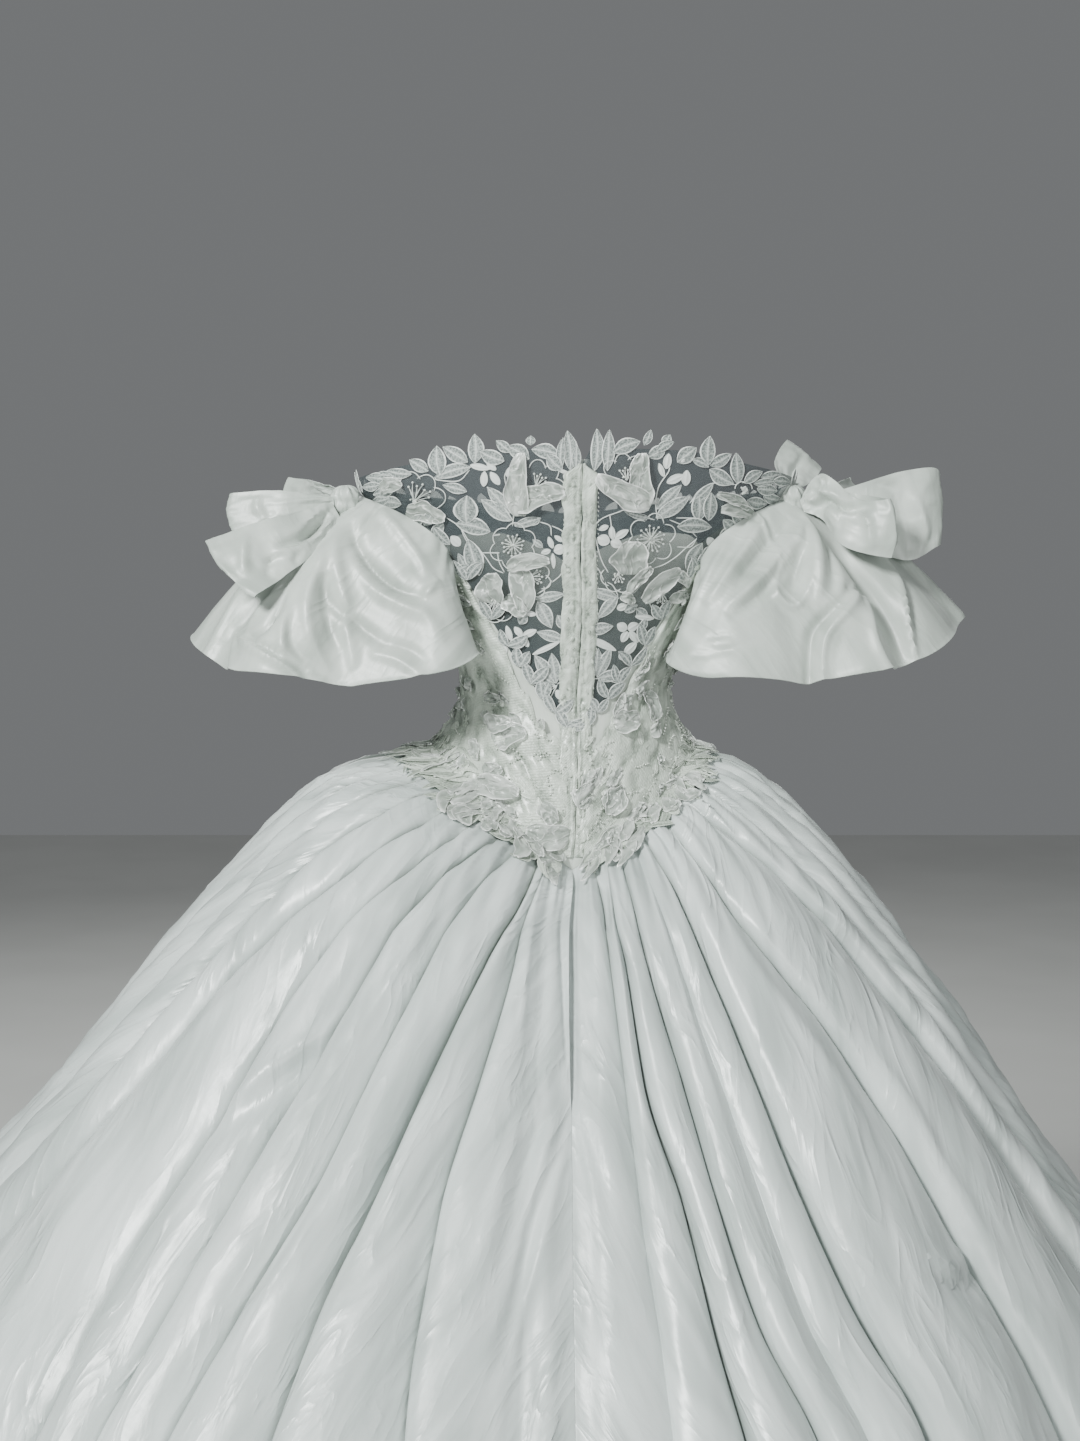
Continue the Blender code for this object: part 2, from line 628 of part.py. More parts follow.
def leafy_bearings(rows, start, end, shoulders=True):
    """Bearings at every tip and valley of a row of leaves, and at their shoulders."""
    found = [start, end]
    for row in rows:
        found += [row[0] - row[2], row[0]]
        found += [row[0] - row[2] * 0.45, row[0] + row[2] * 0.45] if shoulders else []
    found = sorted(b for b in found if start <= b <= end)
    kept = [found[0]]
    for b in found[1:]:
        if b - kept[-1] > 0.6:
            kept.append(b)
    kept[-1] = end
    return np.array(kept)


def build_neckline_lace():
    """Leaf-edged lace over the top of the net."""
    lift = OVERLAY_LIFT
    for side, mirror in (("left", 1.0), ("right", -1.0)):
        bearings = leafy_bearings(NECK_LEAVES, 1.1, NECK_LACE_END)
        top = neckline(bearings) + 0.002 + leafy_rise(bearings, NECK_LEAVES)
        foot = neckline(bearings) - NECK_LACE_DEPTH
        share = np.linspace(0.0, 1.0, 3)[:, None]
        heights = top + (foot - top) * share
        spread = np.broadcast_to(bearings * mirror, heights.shape)
        if mirror < 0:
            heights, spread = heights[:, ::-1], spread[:, ::-1]
        outer = torso(spread, heights, lift + LACE_WALL)
        add_wall(f"neck_lace_back_{side}", outer, torso(spread, heights, lift), "lace")
    bearings = np.arange(108.0, 252.1, 4.0)
    rise = np.where(np.arange(len(bearings)) % 2 == 1, 0.011, 0.002)
    share = np.linspace(0.0, 1.0, 3)[:, None]
    top = neckline(bearings) + rise
    heights = top + (neckline(bearings) - NECK_LACE_DEPTH - top) * share
    spread = np.broadcast_to(bearings, heights.shape)
    outer = torso(spread, heights, lift + LACE_WALL)
    add_wall("neck_lace_front", outer, torso(spread, heights, lift), "lace")


def hip_reach(bearing, side, column=1):
    """How far a petal reaches over the skirt, or how far its tip stands off it."""
    b = side_bearing(bearing)
    b = np.where(b > 90.0, 180.0 - b, b)
    base = HIP_LACE_VALLEY if column == 1 else 0.001
    found = np.full(b.shape, base)
    for row in HIP_PETALS[side]:
        share = np.clip(1.0 - np.abs(b - row[0]) / row[2], 0.0, 1.0)
        found = np.maximum(found, base + (row[column] - base) * share**0.7)
    return found


def hip_stand(bearing, w):
    """How far the lace stands off the corner between bodice and skirt at the sides."""
    sideways = np.sin(np.radians(bearing))
    most = np.where(sideways > 0, HIP_LACE_STAND[0], HIP_LACE_STAND[1])
    return most * sideways**6 * np.clip(w / 0.55, 0.0, 1.0) * np.clip(2.0 - w, 0.0, 1.0)


def hip_surface(bearing, w, side):
    """Hip lace from its top edge (w 0), over the waist seam (w 1), to its petal tips (w 2)."""
    bearing, w = np.broadcast_arrays(np.asarray(bearing, float), np.asarray(w, float))
    seam = basque(bearing)
    over = np.clip(w - 1.0, 0.0, 1.0)
    height = seam + 0.006 + (HIP_LACE_TOP - 0.006) * np.clip(1.0 - w, 0.0, 1.0)
    stand = hip_stand(bearing, w)
    on_bodice = torso(bearing, height, OVERLAY_LIFT + 0.0010 * np.clip(w, 0.0, 1.0) + stand)
    steep = 0.26 + 0.30 * np.cos(np.radians(bearing)) ** 2
    share = over * hip_reach(bearing, side) * steep / skirt_fall(bearing)
    on_skirt = skirt_form(bearing, share, stand)
    on_skirt[..., 2] += 0.0052 + hip_reach(bearing, side, 3) * over**0.4
    return np.where((w <= 1.0)[..., None], on_bodice, on_skirt)


def build_hip_lace():
    """Petal-edged lace over the pointed waist."""
    drops = (0.0, 0.55, 1.0, 1.20, 1.60, 2.0)
    for side, sign in (("left", 1.0), ("right", -1.0)):
        tips = [(row[0], row[1], row[2] * 1.04) for row in HIP_PETALS[side]]
        bearings = leafy_bearings(tips, HIP_LACE_START, 89.0, False)
        u, v = np.meshgrid(bearings * sign, drops)
        if sign < 0:
            u = u[:, ::-1]
        inner = hip_surface(u, v, side)
        add_wall(f"hip_lace_back_{side}", offset_lace(inner), inner, "lace")
    u, v = np.meshgrid(np.arange(91.0, 269.5, 5.4), drops)
    inner = hip_surface(u, v, "right")
    add_wall("hip_lace_front", offset_lace(inner), inner, "lace")


def offset_lace(grid):
    """Outer side of a lace grid, by the normals of the grid itself."""
    normal = unit(np.cross(np.gradient(grid, axis=1), np.gradient(grid, axis=0)))
    upwards = np.sign(normal[-1, :, 2].mean())
    return grid + normal * upwards * LACE_WALL


def slit_half_gap(share):
    """Half the width of the centre back opening."""
    across = np.clip(np.asarray(share) / SLIT_DEPTH, 0.0, 1.0)
    return SEAM_GAP / 2.0 + SLIT_HALF_WIDTH * np.sin(math.pi * across) ** 0.8


def build_skirt():
    """Gathered gores, with the opening between the two back ones."""
    count = len(VALLEYS) - 1
    phases = [row[0] for row in FOLD_PROFILE[:-1]]
    shares = np.array(SKIRT_ROWS)
    for name, first, last in SKIRT_GORES:
        turns = np.array([k + p for k in range(first, last) for p in phases] + [float(last)])
        u, v = np.meshgrid(turns, shares)
        ahead = skirt(u[:, [0, -1]] + 0.05, v[:, [0, -1]])
        behind = skirt(u[:, [0, -1]] - 0.05, v[:, [0, -1]])
        metre = 0.1 / np.linalg.norm(ahead - behind, axis=-1)
        gap = np.full(u[:, [0, -1]].shape, SEAM_GAP / 2.0)
        if first == 0:
            gap[:, 0] = slit_half_gap(shares)
        if last == count:
            gap[:, 1] = slit_half_gap(shares)
        u[:, 0] += gap[:, 0] * metre[:, 0]
        u[:, -1] -= gap[:, 1] * metre[:, 1]
        outer = skirt(u, v)
        inner = offset_points(skirt, u, v, 0.12, 0.003, -TAFFETA_WALL)
        other = offset_points(skirt, u, v, 0.12, 0.003, TAFFETA_WALL)
        if np.mean(inner[..., 2]) > np.mean(other[..., 2]):
            inner = other
        add_wall(name, outer, inner, "taffeta")


def keep_off_bodice(points, clearance):
    """Points moved sideways until they clear the bodice."""
    half_width, back, front, centre_x, turn = figure_ring(points[..., 2])
    x = points[..., 0] - centre_x
    y = points[..., 1]
    depth = np.where(y > 0, back, front)
    reach = np.sqrt((x / (half_width + clearance)) ** 2 + (y / (depth + clearance)) ** 2)
    scale = np.maximum(1.0, 1.0 / np.maximum(reach, 1e-6))
    moved = points.copy()
    moved[..., 0] = centre_x + x * scale
    moved[..., 1] = y * scale
    return moved


def sleeve(side, turn, share):
    """Sleeve flounce from the armhole (share 0) to its hem (share 1), about the arm."""
    turn, share = np.broadcast_arrays(np.asarray(turn, float), np.asarray(share, float))
    share = np.clip(share, 0.0, 1.0)
    sign = 1.0 if side == "left" else -1.0
    wrapped = (turn - 90.0 + 180.0) % 360.0 - 180.0
    gathered = 90.0 + 180.0 * np.sign(wrapped) * (np.abs(wrapped) / 180.0) ** SLEEVE_GATHER
    ring = np.radians(gathered)
    bearing = ARMHOLE_CENTRE[0] - (ARMHOLE_RADIUS[0] + SLEEVE_RING_MARGIN[0]) * np.cos(ring)
    height = ARMHOLE_CENTRE[1] + (ARMHOLE_RADIUS[1] + SLEEVE_RING_MARGIN[1]) * np.sin(ring)
    top = torso(sign * bearing, height, SLEEVE_RING_LIFT)
    hem = np.stack(
        [sign * smooth(SLEEVE_HEMS[side], turn % 360.0, column) for column in (1,)]
        + [smooth(SLEEVE_HEMS[side], turn % 360.0, column) for column in (2, 3)],
        axis=-1,
    )
    flat = share[..., None] ** 0.90
    fallen = share**1.10
    point = top + (hem - top) * flat
    point[..., 2] = top[..., 2] + (hem[..., 2] - top[..., 2]) * fallen
    outwards = unit((hem - top) * np.array([1.0, 1.0, 0.0]) + np.array([0.0, 0.0, 0.04]))
    puff = SLEEVE_PUFF * np.sin(math.pi * share) * np.clip(np.cos(np.radians(wrapped * 0.62)), 0.0, 1.0)
    fold = np.zeros_like(share)
    for centre, depth, half_width in SLEEVE_FOLDS[side]:
        away = ((turn - centre + 180.0) % 360.0 - 180.0) / half_width
        fold = fold + depth * np.exp(-(away**2))
    point = point + outwards * (puff + fold * share**0.9)[..., None]
    clearance = 0.0006 + SLEEVE_RING_LIFT + SLEEVE_CLEARANCE * np.clip(share / 0.34, 0.0, 1.0)
    return keep_off_bodice(point, clearance)


def build_sleeves():
    """A bell flounce on each arm."""
    turns = np.arange(0.0, 360.0, 8.0)
    u, v = np.meshgrid(turns, SLEEVE_ROWS)
    for side in ("left", "right"):
        inner = sleeve(side, u, v)

        def surface(a, b, side=side):
            return sleeve(side, a, b)

        outer = offset_points(surface, u, v, 4.0, 0.02, TAFFETA_WALL)
        other = offset_points(surface, u, v, 4.0, 0.02, -TAFFETA_WALL)
        if np.ptp(outer[-1, :, 1]) < np.ptp(other[-1, :, 1]):
            outer = other
        add_wall(f"sleeve_{side}", outer, inner, "taffeta", closed=True)


def loop_surface(row, along, across):
    """Ribbon that leaves the knot, turns over at its tip and comes back."""
    name, root, upper, lower, root_half, puff = row
    root, upper, lower = (np.array(p) for p in (root, upper, lower))
    tip = (upper + lower) / 2.0
    tip_side = (upper - lower) / 2.0
    out = unit(tip - root)
    root_side = unit(tip_side - out * np.dot(tip_side, out)) * root_half
    face = unit(np.cross(out, unit(tip_side)))
    turn = 2.0 * math.pi * along
    reach = (1.0 - np.cos(turn)) / 2.0
    widen = np.clip(reach, 0.0, 1.0) ** 0.75
    middle = root + (tip - root) * reach[..., None]
    side = root_side + (tip_side - root_side) * widen[..., None]
    thick = puff * np.sin(turn) * np.clip(reach, 0.0, 1.0) ** 0.35
    thick = thick + LOOP_ROOT_GAP * np.cos(turn / 2.0)
    ripple = 0.006 * np.sin(3.6 * across + puff * 300.0) * reach
    return middle + side * across[..., None] + face * (thick + ripple)[..., None]


def build_bows():
    """Knots, with their ribbon loops."""
    for row in BOW_LOOPS:
        u, v = np.meshgrid(
            np.linspace(0.0, 1.0, LOOP_STEPS_ALONG + 1),
            np.linspace(-1.0, 1.0, LOOP_STEPS_ACROSS + 1),
        )
        outer = loop_surface(row, u, v)

        def surface(a, b, row=row):
            return loop_surface(row, a, b)

        near = offset_points(surface, u, v, 0.01, 0.05, TAFFETA_WALL)
        far = offset_points(surface, u, v, 0.01, 0.05, -TAFFETA_WALL)
        middle = outer.mean(axis=(0, 1))
        nearer = np.linalg.norm(near - middle, axis=-1).mean()
        inner = near if nearer < np.linalg.norm(far - middle, axis=-1).mean() else far
        add_wall(row[0], outer, inner, "taffeta")
    for name, centre in KNOTS:
        add_knot(name, centre)


def add_knot(name, centre):
    """Wrapped knot: a small pinched ball of ribbon."""
    turns = np.radians(np.arange(0.0, 360.0, 30.0))
    tilts = np.radians(np.linspace(-72.0, 72.0, 6))
    points = []
    for tilt in tilts:
        pinch = 1.0 + 0.08 * np.cos(3.0 * turns)
        flat = np.cos(tilt)
        rise = np.full(len(turns), np.sin(tilt))
        ring = np.stack([flat * np.cos(turns), flat * np.sin(turns), rise], axis=-1)
        points.append(np.array(centre) + ring * np.array(KNOT_RADII) * pinch[:, None])
    points = np.concatenate(points)
    columns = len(turns)
    faces = [tuple(reversed(range(columns))), tuple(range(5 * columns, 6 * columns))]
    for i in range(5):
        for j in range(columns):
            a = i * columns + j
            b = i * columns + (j + 1) % columns
            faces.append((a, b, b + columns, a + columns))
    return add_mesh(name, points, faces, "taffeta")


def main():
    """Clear the scene and build every piece."""
    for thing in list(bpy.data.objects):
        bpy.data.objects.remove(thing, do_unlink=True)
    build_bodice()
    build_back_closing()
    build_neckline_lace()
    build_hip_lace()
    build_skirt()
    build_sleeves()
    build_bows()


main()
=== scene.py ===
"""Looks of an off-the-shoulder wedding ball gown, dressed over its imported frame.

Metres, +Z up, front towards -Y, wearer's left towards +X, origin at the centre of the waist.
A place on the body is a bearing and a height: bearing 0 is the centre back, 90 the wearer's left
side and 180 the centre front.  A place on the skirt or a sleeve is a bearing or a turn and a share
of the fall, 0 at the seam and 1 at the hem.
"""

import logging
import math
from collections.abc import Callable
from dataclasses import dataclass, field
from enum import Enum

import bpy
import mathutils
import numpy as np
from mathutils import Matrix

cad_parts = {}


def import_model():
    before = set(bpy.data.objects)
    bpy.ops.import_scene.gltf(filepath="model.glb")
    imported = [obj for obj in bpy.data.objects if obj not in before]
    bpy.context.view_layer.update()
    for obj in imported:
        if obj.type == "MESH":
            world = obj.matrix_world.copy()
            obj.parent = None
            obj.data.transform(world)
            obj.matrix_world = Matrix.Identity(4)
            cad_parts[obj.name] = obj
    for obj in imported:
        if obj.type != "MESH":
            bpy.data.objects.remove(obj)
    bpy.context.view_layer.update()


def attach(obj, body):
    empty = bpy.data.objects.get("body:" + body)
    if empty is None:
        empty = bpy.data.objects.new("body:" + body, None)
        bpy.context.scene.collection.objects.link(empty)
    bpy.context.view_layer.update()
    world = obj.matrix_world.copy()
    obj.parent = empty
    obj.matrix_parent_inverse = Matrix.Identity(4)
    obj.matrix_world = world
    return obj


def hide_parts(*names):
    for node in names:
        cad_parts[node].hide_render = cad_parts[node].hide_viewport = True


LOG = logging.getLogger("gown")
MM = 0.001
BODY = "root"
SCATTER = (374761393, 668265263, 2246822519, 1274126177)    # odd factors that part neighbouring whole numbers

Row = tuple[float, ...]
Table = tuple[Row, ...]
Pieces = list[bpy.types.Object]


# ---- curves, noise and small vector helpers -----------------------------------------------------
def smooth(table: Table, x: np.ndarray, column: int = 1) -> np.ndarray:
    """Smooth curve through a table, with no overshoot.

    Args:
        table: Rows whose first column rises.
        x: Places to read the curve at.
        column: Column that holds the curve's values.

    Returns:
        The curve's values at x, held level past both ends.
    """
    xs = np.array([row[0] for row in table], float)
    ys = np.array([row[column] for row in table], float)
    x = np.clip(np.asarray(x, float), xs[0], xs[-1])
    step = np.diff(xs)
    slope = np.diff(ys) / step
    tangent = np.zeros(len(xs))
    tangent[0] = slope[0]
    tangent[-1] = slope[-1]
    same_way = slope[:-1] * slope[1:] > 0
    both = np.where(same_way, slope[:-1] + slope[1:], 1.0)
    tangent[1:-1] = np.where(same_way, 2 * slope[:-1] * slope[1:] / both, 0.0)
    i = np.clip(np.searchsorted(xs, x, side="right") - 1, 0, len(xs) - 2)
    t = (x - xs[i]) / step[i]
    start = (2 * t**3 - 3 * t**2 + 1) * ys[i] + (t**3 - 2 * t**2 + t) * step[i] * tangent[i]
    end = (3 * t**2 - 2 * t**3) * ys[i + 1] + (t**3 - t**2) * step[i] * tangent[i + 1]
    return start + end


def unit(vectors: np.ndarray) -> np.ndarray:
    """Vectors scaled to length one."""
    return vectors / np.maximum(np.linalg.norm(vectors, axis=-1, keepdims=True), 1e-12)


def ease(x: np.ndarray) -> np.ndarray:
    """Smooth step from 0 to 1 over the same range of x."""
    t = np.clip(x, 0.0, 1.0)
    return t * t * (3.0 - 2.0 * t)


def lattice(i: np.ndarray, j: np.ndarray, seed: int) -> np.ndarray:
    """Fixed pseudo-random value for each point of a whole-number lattice.

    Args:
        i: The points' first number.
        j: The points' second number.
        seed: Picks one fixed pattern.

    Returns:
        Values from 0 to 1.
    """
    mixed = i * SCATTER[0] + j * SCATTER[1] + seed * SCATTER[2]
    mixed = (mixed ^ (mixed >> 13)) * SCATTER[3]
    mixed = mixed ^ (mixed >> 16)
    return (mixed & 0xFFFFFF) / float(0xFFFFFF)


def noise(x: np.ndarray, y: np.ndarray, seed: int) -> np.ndarray:
    """Smooth value noise.

    Args:
        x: First coordinate, one lattice cell per unit.
        y: Second coordinate, one lattice cell per unit.
        seed: Picks one fixed pattern.

    Returns:
        Values from -1 to 1.
    """
    x, y = np.broadcast_arrays(np.asarray(x, float), np.asarray(y, float))
    i = np.floor(x).astype(np.int64)
    j = np.floor(y).astype(np.int64)
    u = x - i
    v = y - j
    u = u * u * u * (u * (u * 6 - 15) + 10)
    v = v * v * v * (v * (v * 6 - 15) + 10)
    low = lattice(i, j, seed) * (1 - u) + lattice(i + 1, j, seed) * u
    high = lattice(i, j + 1, seed) * (1 - u) + lattice(i + 1, j + 1, seed) * u
    return (low * (1 - v) + high * v) * 2.0 - 1.0


def ridges(x: np.ndarray, y: np.ndarray, seed: int, octaves: int = 3) -> np.ndarray:
    """Creased noise, with narrow ridges between soft hollows.

    Args:
        x: First coordinate.
        y: Second coordinate.
        seed: Picks one fixed pattern.
        octaves: How many layers, each half the size of the one before.

    Returns:
        Values from -1 to 1.
    """
    total = np.zeros(np.broadcast(x, y).shape)
    size = 1.0
    whole = 0.0
    for octave in range(octaves):
        total += size * (1.0 - 2.0 * np.abs(noise(x * 2**octave, y * 2**octave, seed + octave)))
        whole += size
        size *= 0.5
    return total / whole


def path_points(knots: Table | np.ndarray, count: int) -> np.ndarray:
    """Points spaced along a smooth curve through a few knots.

    Args:
        knots: The curve's own points, two numbers or more each.
        count: How many points to return.

    Returns:
        An array of count rows.
    """
    knots = np.array(knots, float)
    if len(knots) == 2:
        return knots[0] + (knots[1] - knots[0]) * np.linspace(0.0, 1.0, count)[:, None]
    padded = np.concatenate([[2 * knots[0] - knots[1]], knots, [2 * knots[-1] - knots[-2]]])
    place = np.linspace(0.0, len(knots) - 1.0, count)
    i = np.minimum(place.astype(int), len(knots) - 2)
    t = (place - i)[:, None]
    a, b, c, d = (padded[i + k] for k in range(4))
    return 0.5 * (2 * b + (c - a) * t + (2 * a - 5 * b + 4 * c - d) * t**2 + (3 * b - a - 3 * c + d) * t**3)


# ---- meshes -------------------------------------------------------------------------------------
def grid_normals(grid: np.ndarray, closed: bool = False) -> np.ndarray:
    """Normal at each point of a grid, along its rows crossed with down its columns.

    Args:
        grid: Points, rows by columns.
        closed: Whether the columns run round and meet.

    Returns:
        A grid of unit vectors.
    """
    if closed:
        across = np.roll(grid, -1, axis=1) - np.roll(grid, 1, axis=1)
    else:
        across = np.gradient(grid, axis=1)
    return unit(np.cross(across, np.gradient(grid, axis=0)))


@dataclass
class Stitchwork:
    """Gathers many small surfaces into the one mesh of a piece.

    A point carries a place, a place on the cloth in metres, and a density: 0 for a light filling
    and 1 for a dense corded line.  On the taffeta the same number is the painted shade of the
    creases, and on the organza the bright edge with its painted highlights.
    """

    points: list[np.ndarray] = field(default_factory=list)
    flats: list[np.ndarray] = field(default_factory=list)
    densities: list[np.ndarray] = field(default_factory=list)
    quads: list[np.ndarray] = field(default_factory=list)
    tris: list[np.ndarray] = field(default_factory=list)
    count: int = 0

    def add(self, points: np.ndarray, quads: np.ndarray, flat: np.ndarray, density: np.ndarray,
            tris: np.ndarray | None = None) -> None:
        """Adds a surface.

        Args:
            points: Its points, three numbers each.
            quads: Its four-cornered faces, by point number.
            flat: Each point's place on the flat cloth, in metres.
            density: Each point's density, or one for them all.
            tris: Its three-cornered faces, if it has any.
        """
        points = points.reshape(-1, 3)
        self.points.append(points)
        self.flats.append(np.broadcast_to(flat, (len(points), 2)))
        self.densities.append(np.broadcast_to(density, (len(points),)))
        self.quads.append(quads + self.count)
        if tris is not None:
            self.tris.append(tris + self.count)
        self.count += len(points)

    def merge(self, other: "Stitchwork") -> None:
        """Takes over everything that another piece has gathered.

        Args:
            other: The piece that gathered it.
        """
        self.points += other.points
        self.flats += other.flats
        self.densities += other.densities
        self.quads += [quads + self.count for quads in other.quads]
        self.tris += [tris + self.count for tris in other.tris]
        self.count += other.count

    def add_sheet(self, outer: np.ndarray, wall: float, flat: np.ndarray | None = None,
                  density: np.ndarray | float = 0.0, closed: bool = False,
                  away_from: np.ndarray | None = None) -> None:
        """Adds a closed thin sheet from the grid of its outer side.

        Args:
            outer: Grid of points, rows by columns.
            wall: Thickness of the cloth.
            flat: Grid of places on the flat cloth, or None to measure them along the grid.
            density: Grid of densities, or one number; the taffeta's painted crease shade comes in here too.
            closed: Whether the columns run round and meet.
            away_from: A point that the outer side faces away from, or None for either.
        """
        rows, columns = outer.shape[:2]
        normal = grid_normals(outer, closed)
        if away_from is not None and np.mean(np.sum(normal * (outer - away_from), axis=-1)) < 0:
            normal = -normal
        inner = outer - normal * wall
        if flat is None:
            flat = measured(outer)
        number = np.arange(rows * columns).reshape(rows, columns)
        right = np.roll(number, -1, axis=1)
        span = columns if closed else columns - 1
        a, b = number[:-1, :span], right[:-1, :span]
        d, c = number[1:, :span], right[1:, :span]
        under = rows * columns
        front = np.stack([a, b, c, d], axis=-1).reshape(-1, 4)
        faces = [front, front[:, ::-1] + under]
        top = np.stack([number[0, :span], right[0, :span]], axis=-1)
        foot = np.stack([number[-1, :span], right[-1, :span]], axis=-1)
        faces.append(np.stack([top[:, 1], top[:, 0], top[:, 0] + under, top[:, 1] + under], axis=-1))
        faces.append(np.stack([foot[:, 0], foot[:, 1], foot[:, 1] + under, foot[:, 0] + under], axis=-1))
        if not closed:
            near = np.stack([number[:-1, 0], number[1:, 0]], axis=-1)
            far = np.stack([number[:-1, -1], number[1:, -1]], axis=-1)
            faces.append(np.stack([near[:, 0], near[:, 1], near[:, 1] + under, near[:, 0] + under], axis=-1))
            faces.append(np.stack([far[:, 1], far[:, 0], far[:, 0] + under, far[:, 1] + under], axis=-1))
        faces = np.concatenate(faces)
        points = np.concatenate([outer.reshape(-1, 3), inner.reshape(-1, 3)])
        corners = points[faces]
        fan = np.cross(corners[:, 1] - corners[:, 0], corners[:, 2] - corners[:, 0])
        fan += np.cross(corners[:, 2] - corners[:, 0], corners[:, 3] - corners[:, 0])
        middle = points.mean(axis=0)
        if np.sum(fan * (corners.mean(axis=1) - middle)) < 0:
            faces = faces[:, ::-1]
        flat = np.broadcast_to(flat, (rows, columns, 2)).reshape(-1, 2)
        density = np.broadcast_to(density, (rows, columns)).reshape(-1)
        self.add(points, faces, np.concatenate([flat, flat]), np.concatenate([density, density]))

    def to_object(self, name: str, crisp_degrees: float = 42.0) -> bpy.types.Object:
        """Makes the piece's object.

        Args:
            name: Name of the piece.
            crisp_degrees: Edges that turn by more than this stay crisp.

        Returns:
            The object, at the origin, linked to the scene.
        """
        points = np.concatenate(self.points).astype(np.float32)
        quads = np.concatenate(self.quads).astype(np.int32)
        tris = np.concatenate(self.tris).astype(np.int32) if self.tris else np.zeros((0, 3), np.int32)
        corners = np.concatenate([quads.reshape(-1), tris.reshape(-1)])
        starts = np.concatenate([np.arange(len(quads)) * 4, len(quads) * 4 + np.arange(len(tris)) * 3])
        mesh = bpy.data.meshes.new(name)
        mesh.vertices.add(len(points))
        mesh.vertices.foreach_set("co", points.reshape(-1))
        mesh.loops.add(len(corners))
        mesh.loops.foreach_set("vertex_index", corners)
        mesh.polygons.add(len(starts))
        mesh.polygons.foreach_set("loop_start", starts.astype(np.int32))
        mesh.update(calc_edges=True)
        mesh.validate()
        flat = np.concatenate(self.flats).astype(np.float32)
        layer = mesh.uv_layers.new(name="cloth")
        index = np.zeros(len(mesh.loops), np.int32)
        mesh.loops.foreach_get("vertex_index", index)
        layer.data.foreach_set("uv", flat[index].reshape(-1))
        # worked holds the density, and also the taffeta's painted crease shade and the organza's painted
        # highlights
        density = mesh.attributes.new("worked", "FLOAT", "POINT")      # Cycles keeps the name density
        density.data.foreach_set("value", np.concatenate(self.densities).astype(np.float32))
        mesh.shade_smooth()
        mesh.set_sharp_from_angle(angle=math.radians(crisp_degrees))
        thing = bpy.data.objects.new(name, mesh)
        bpy.context.scene.collection.objects.link(thing)
        return thing


def measured(grid: np.ndarray) -> np.ndarray:
    """Place of each grid point on the flat cloth.

    Args:
        grid: Points, rows by columns.

    Returns:
        Metres across from the middle of its row, and metres down its column.
    """
    across = np.linalg.norm(np.diff(grid, axis=1), axis=-1)
    down = np.linalg.norm(np.diff(grid, axis=0), axis=-1)
    u = np.concatenate([np.zeros((grid.shape[0], 1)), np.cumsum(across, axis=1)], axis=1)
    u = u - u[:, grid.shape[1] // 2][:, None]
    v = np.concatenate([np.zeros((1, grid.shape[1])), np.cumsum(down, axis=0)], axis=0)
    return np.stack([u, v], axis=-1)


# ---- finishes -----------------------------------------------------------------------------------
def linear(colour: str) -> Row:
    """Linear RGBA of an sRGB hex colour."""
    parts = [int(colour[i:i + 2], 16) / 255.0 for i in (1, 3, 5)]
    return (*[p / 12.92 if p <= 0.04045 else ((p + 0.055) / 1.055) ** 2.4 for p in parts], 1.0)


def add_node(tree: bpy.types.NodeTree, kind: str, inputs: dict | None = None,
             **settings: object) -> bpy.types.Node:
    """Adds a node with its settings and what feeds it.

    Args:
        tree: Node tree to add it to.
        kind: Blender's name of the node type.
        inputs: Input name or number to a value, or to the output socket that feeds it.
        settings: Properties of the node, set first.

    Returns:
        The new node.
    """
    new = tree.nodes.new(kind)
    for key, value in settings.items():
        setattr(new, key, value)
    for key, value in (inputs or {}).items():
        if isinstance(value, bpy.types.NodeSocket):
            tree.links.new(value, new.inputs[key])
        else:
            new.inputs[key].default_value = value
    return new


def new_shader(name: str) -> tuple[bpy.types.Material, bpy.types.NodeTree, bpy.types.Node]:
    """A fresh material with only a Principled shader and its output.

    Args:
        name: Name of the material.

    Returns:
        The material, its node tree and its Principled node.
    """
    material = bpy.data.materials.new(name)
    material.use_nodes = True
    tree = material.node_tree
    tree.nodes.clear()
    shader = add_node(tree, "ShaderNodeBsdfPrincipled")
    add_node(tree, "ShaderNodeOutputMaterial", {"Surface": shader.outputs["BSDF"]})
    return material, tree, shader


def cloth_place(tree: bpy.types.NodeTree, across: float, down: float) -> bpy.types.NodeSocket:
    """Place on the flat cloth, with one unit per given length.

    Args:
        tree: Node tree to add to.
        across: Length in metres of one unit across the cloth.
        down: Length in metres of one unit down the cloth.

    Returns:
        The socket that holds the place.
    """
    flat = add_node(tree, "ShaderNodeUVMap", uv_map="cloth")
    scaled = add_node(tree, "ShaderNodeMapping",
                      {"Vector": flat.outputs["UV"], "Scale": (1 / across, 1 / down, 1.0)})
    return scaled.outputs["Vector"]


def mixed_colour(tree: bpy.types.NodeTree, share: bpy.types.NodeSocket, first: str, second: str,
                 low: float = 0.35, high: float = 0.65) -> bpy.types.NodeSocket:
    """Colour that goes from one hex colour to another as a share rises.

    Args:
        tree: Node tree to add to.
        share: The socket that holds the share.
        first: Colour below low.
        second: Colour above high.
        low: Share at which the change starts.
        high: Share at which it ends.

    Returns:
        The socket that holds the colour.
    """
    ramp = add_node(tree, "ShaderNodeValToRGB", {"Fac": share})
    ramp.color_ramp.elements[0].position = low
    ramp.color_ramp.elements[0].color = linear(first)
    ramp.color_ramp.elements[1].position = high
    ramp.color_ramp.elements[1].color = linear(second)
    return ramp.outputs["Color"]


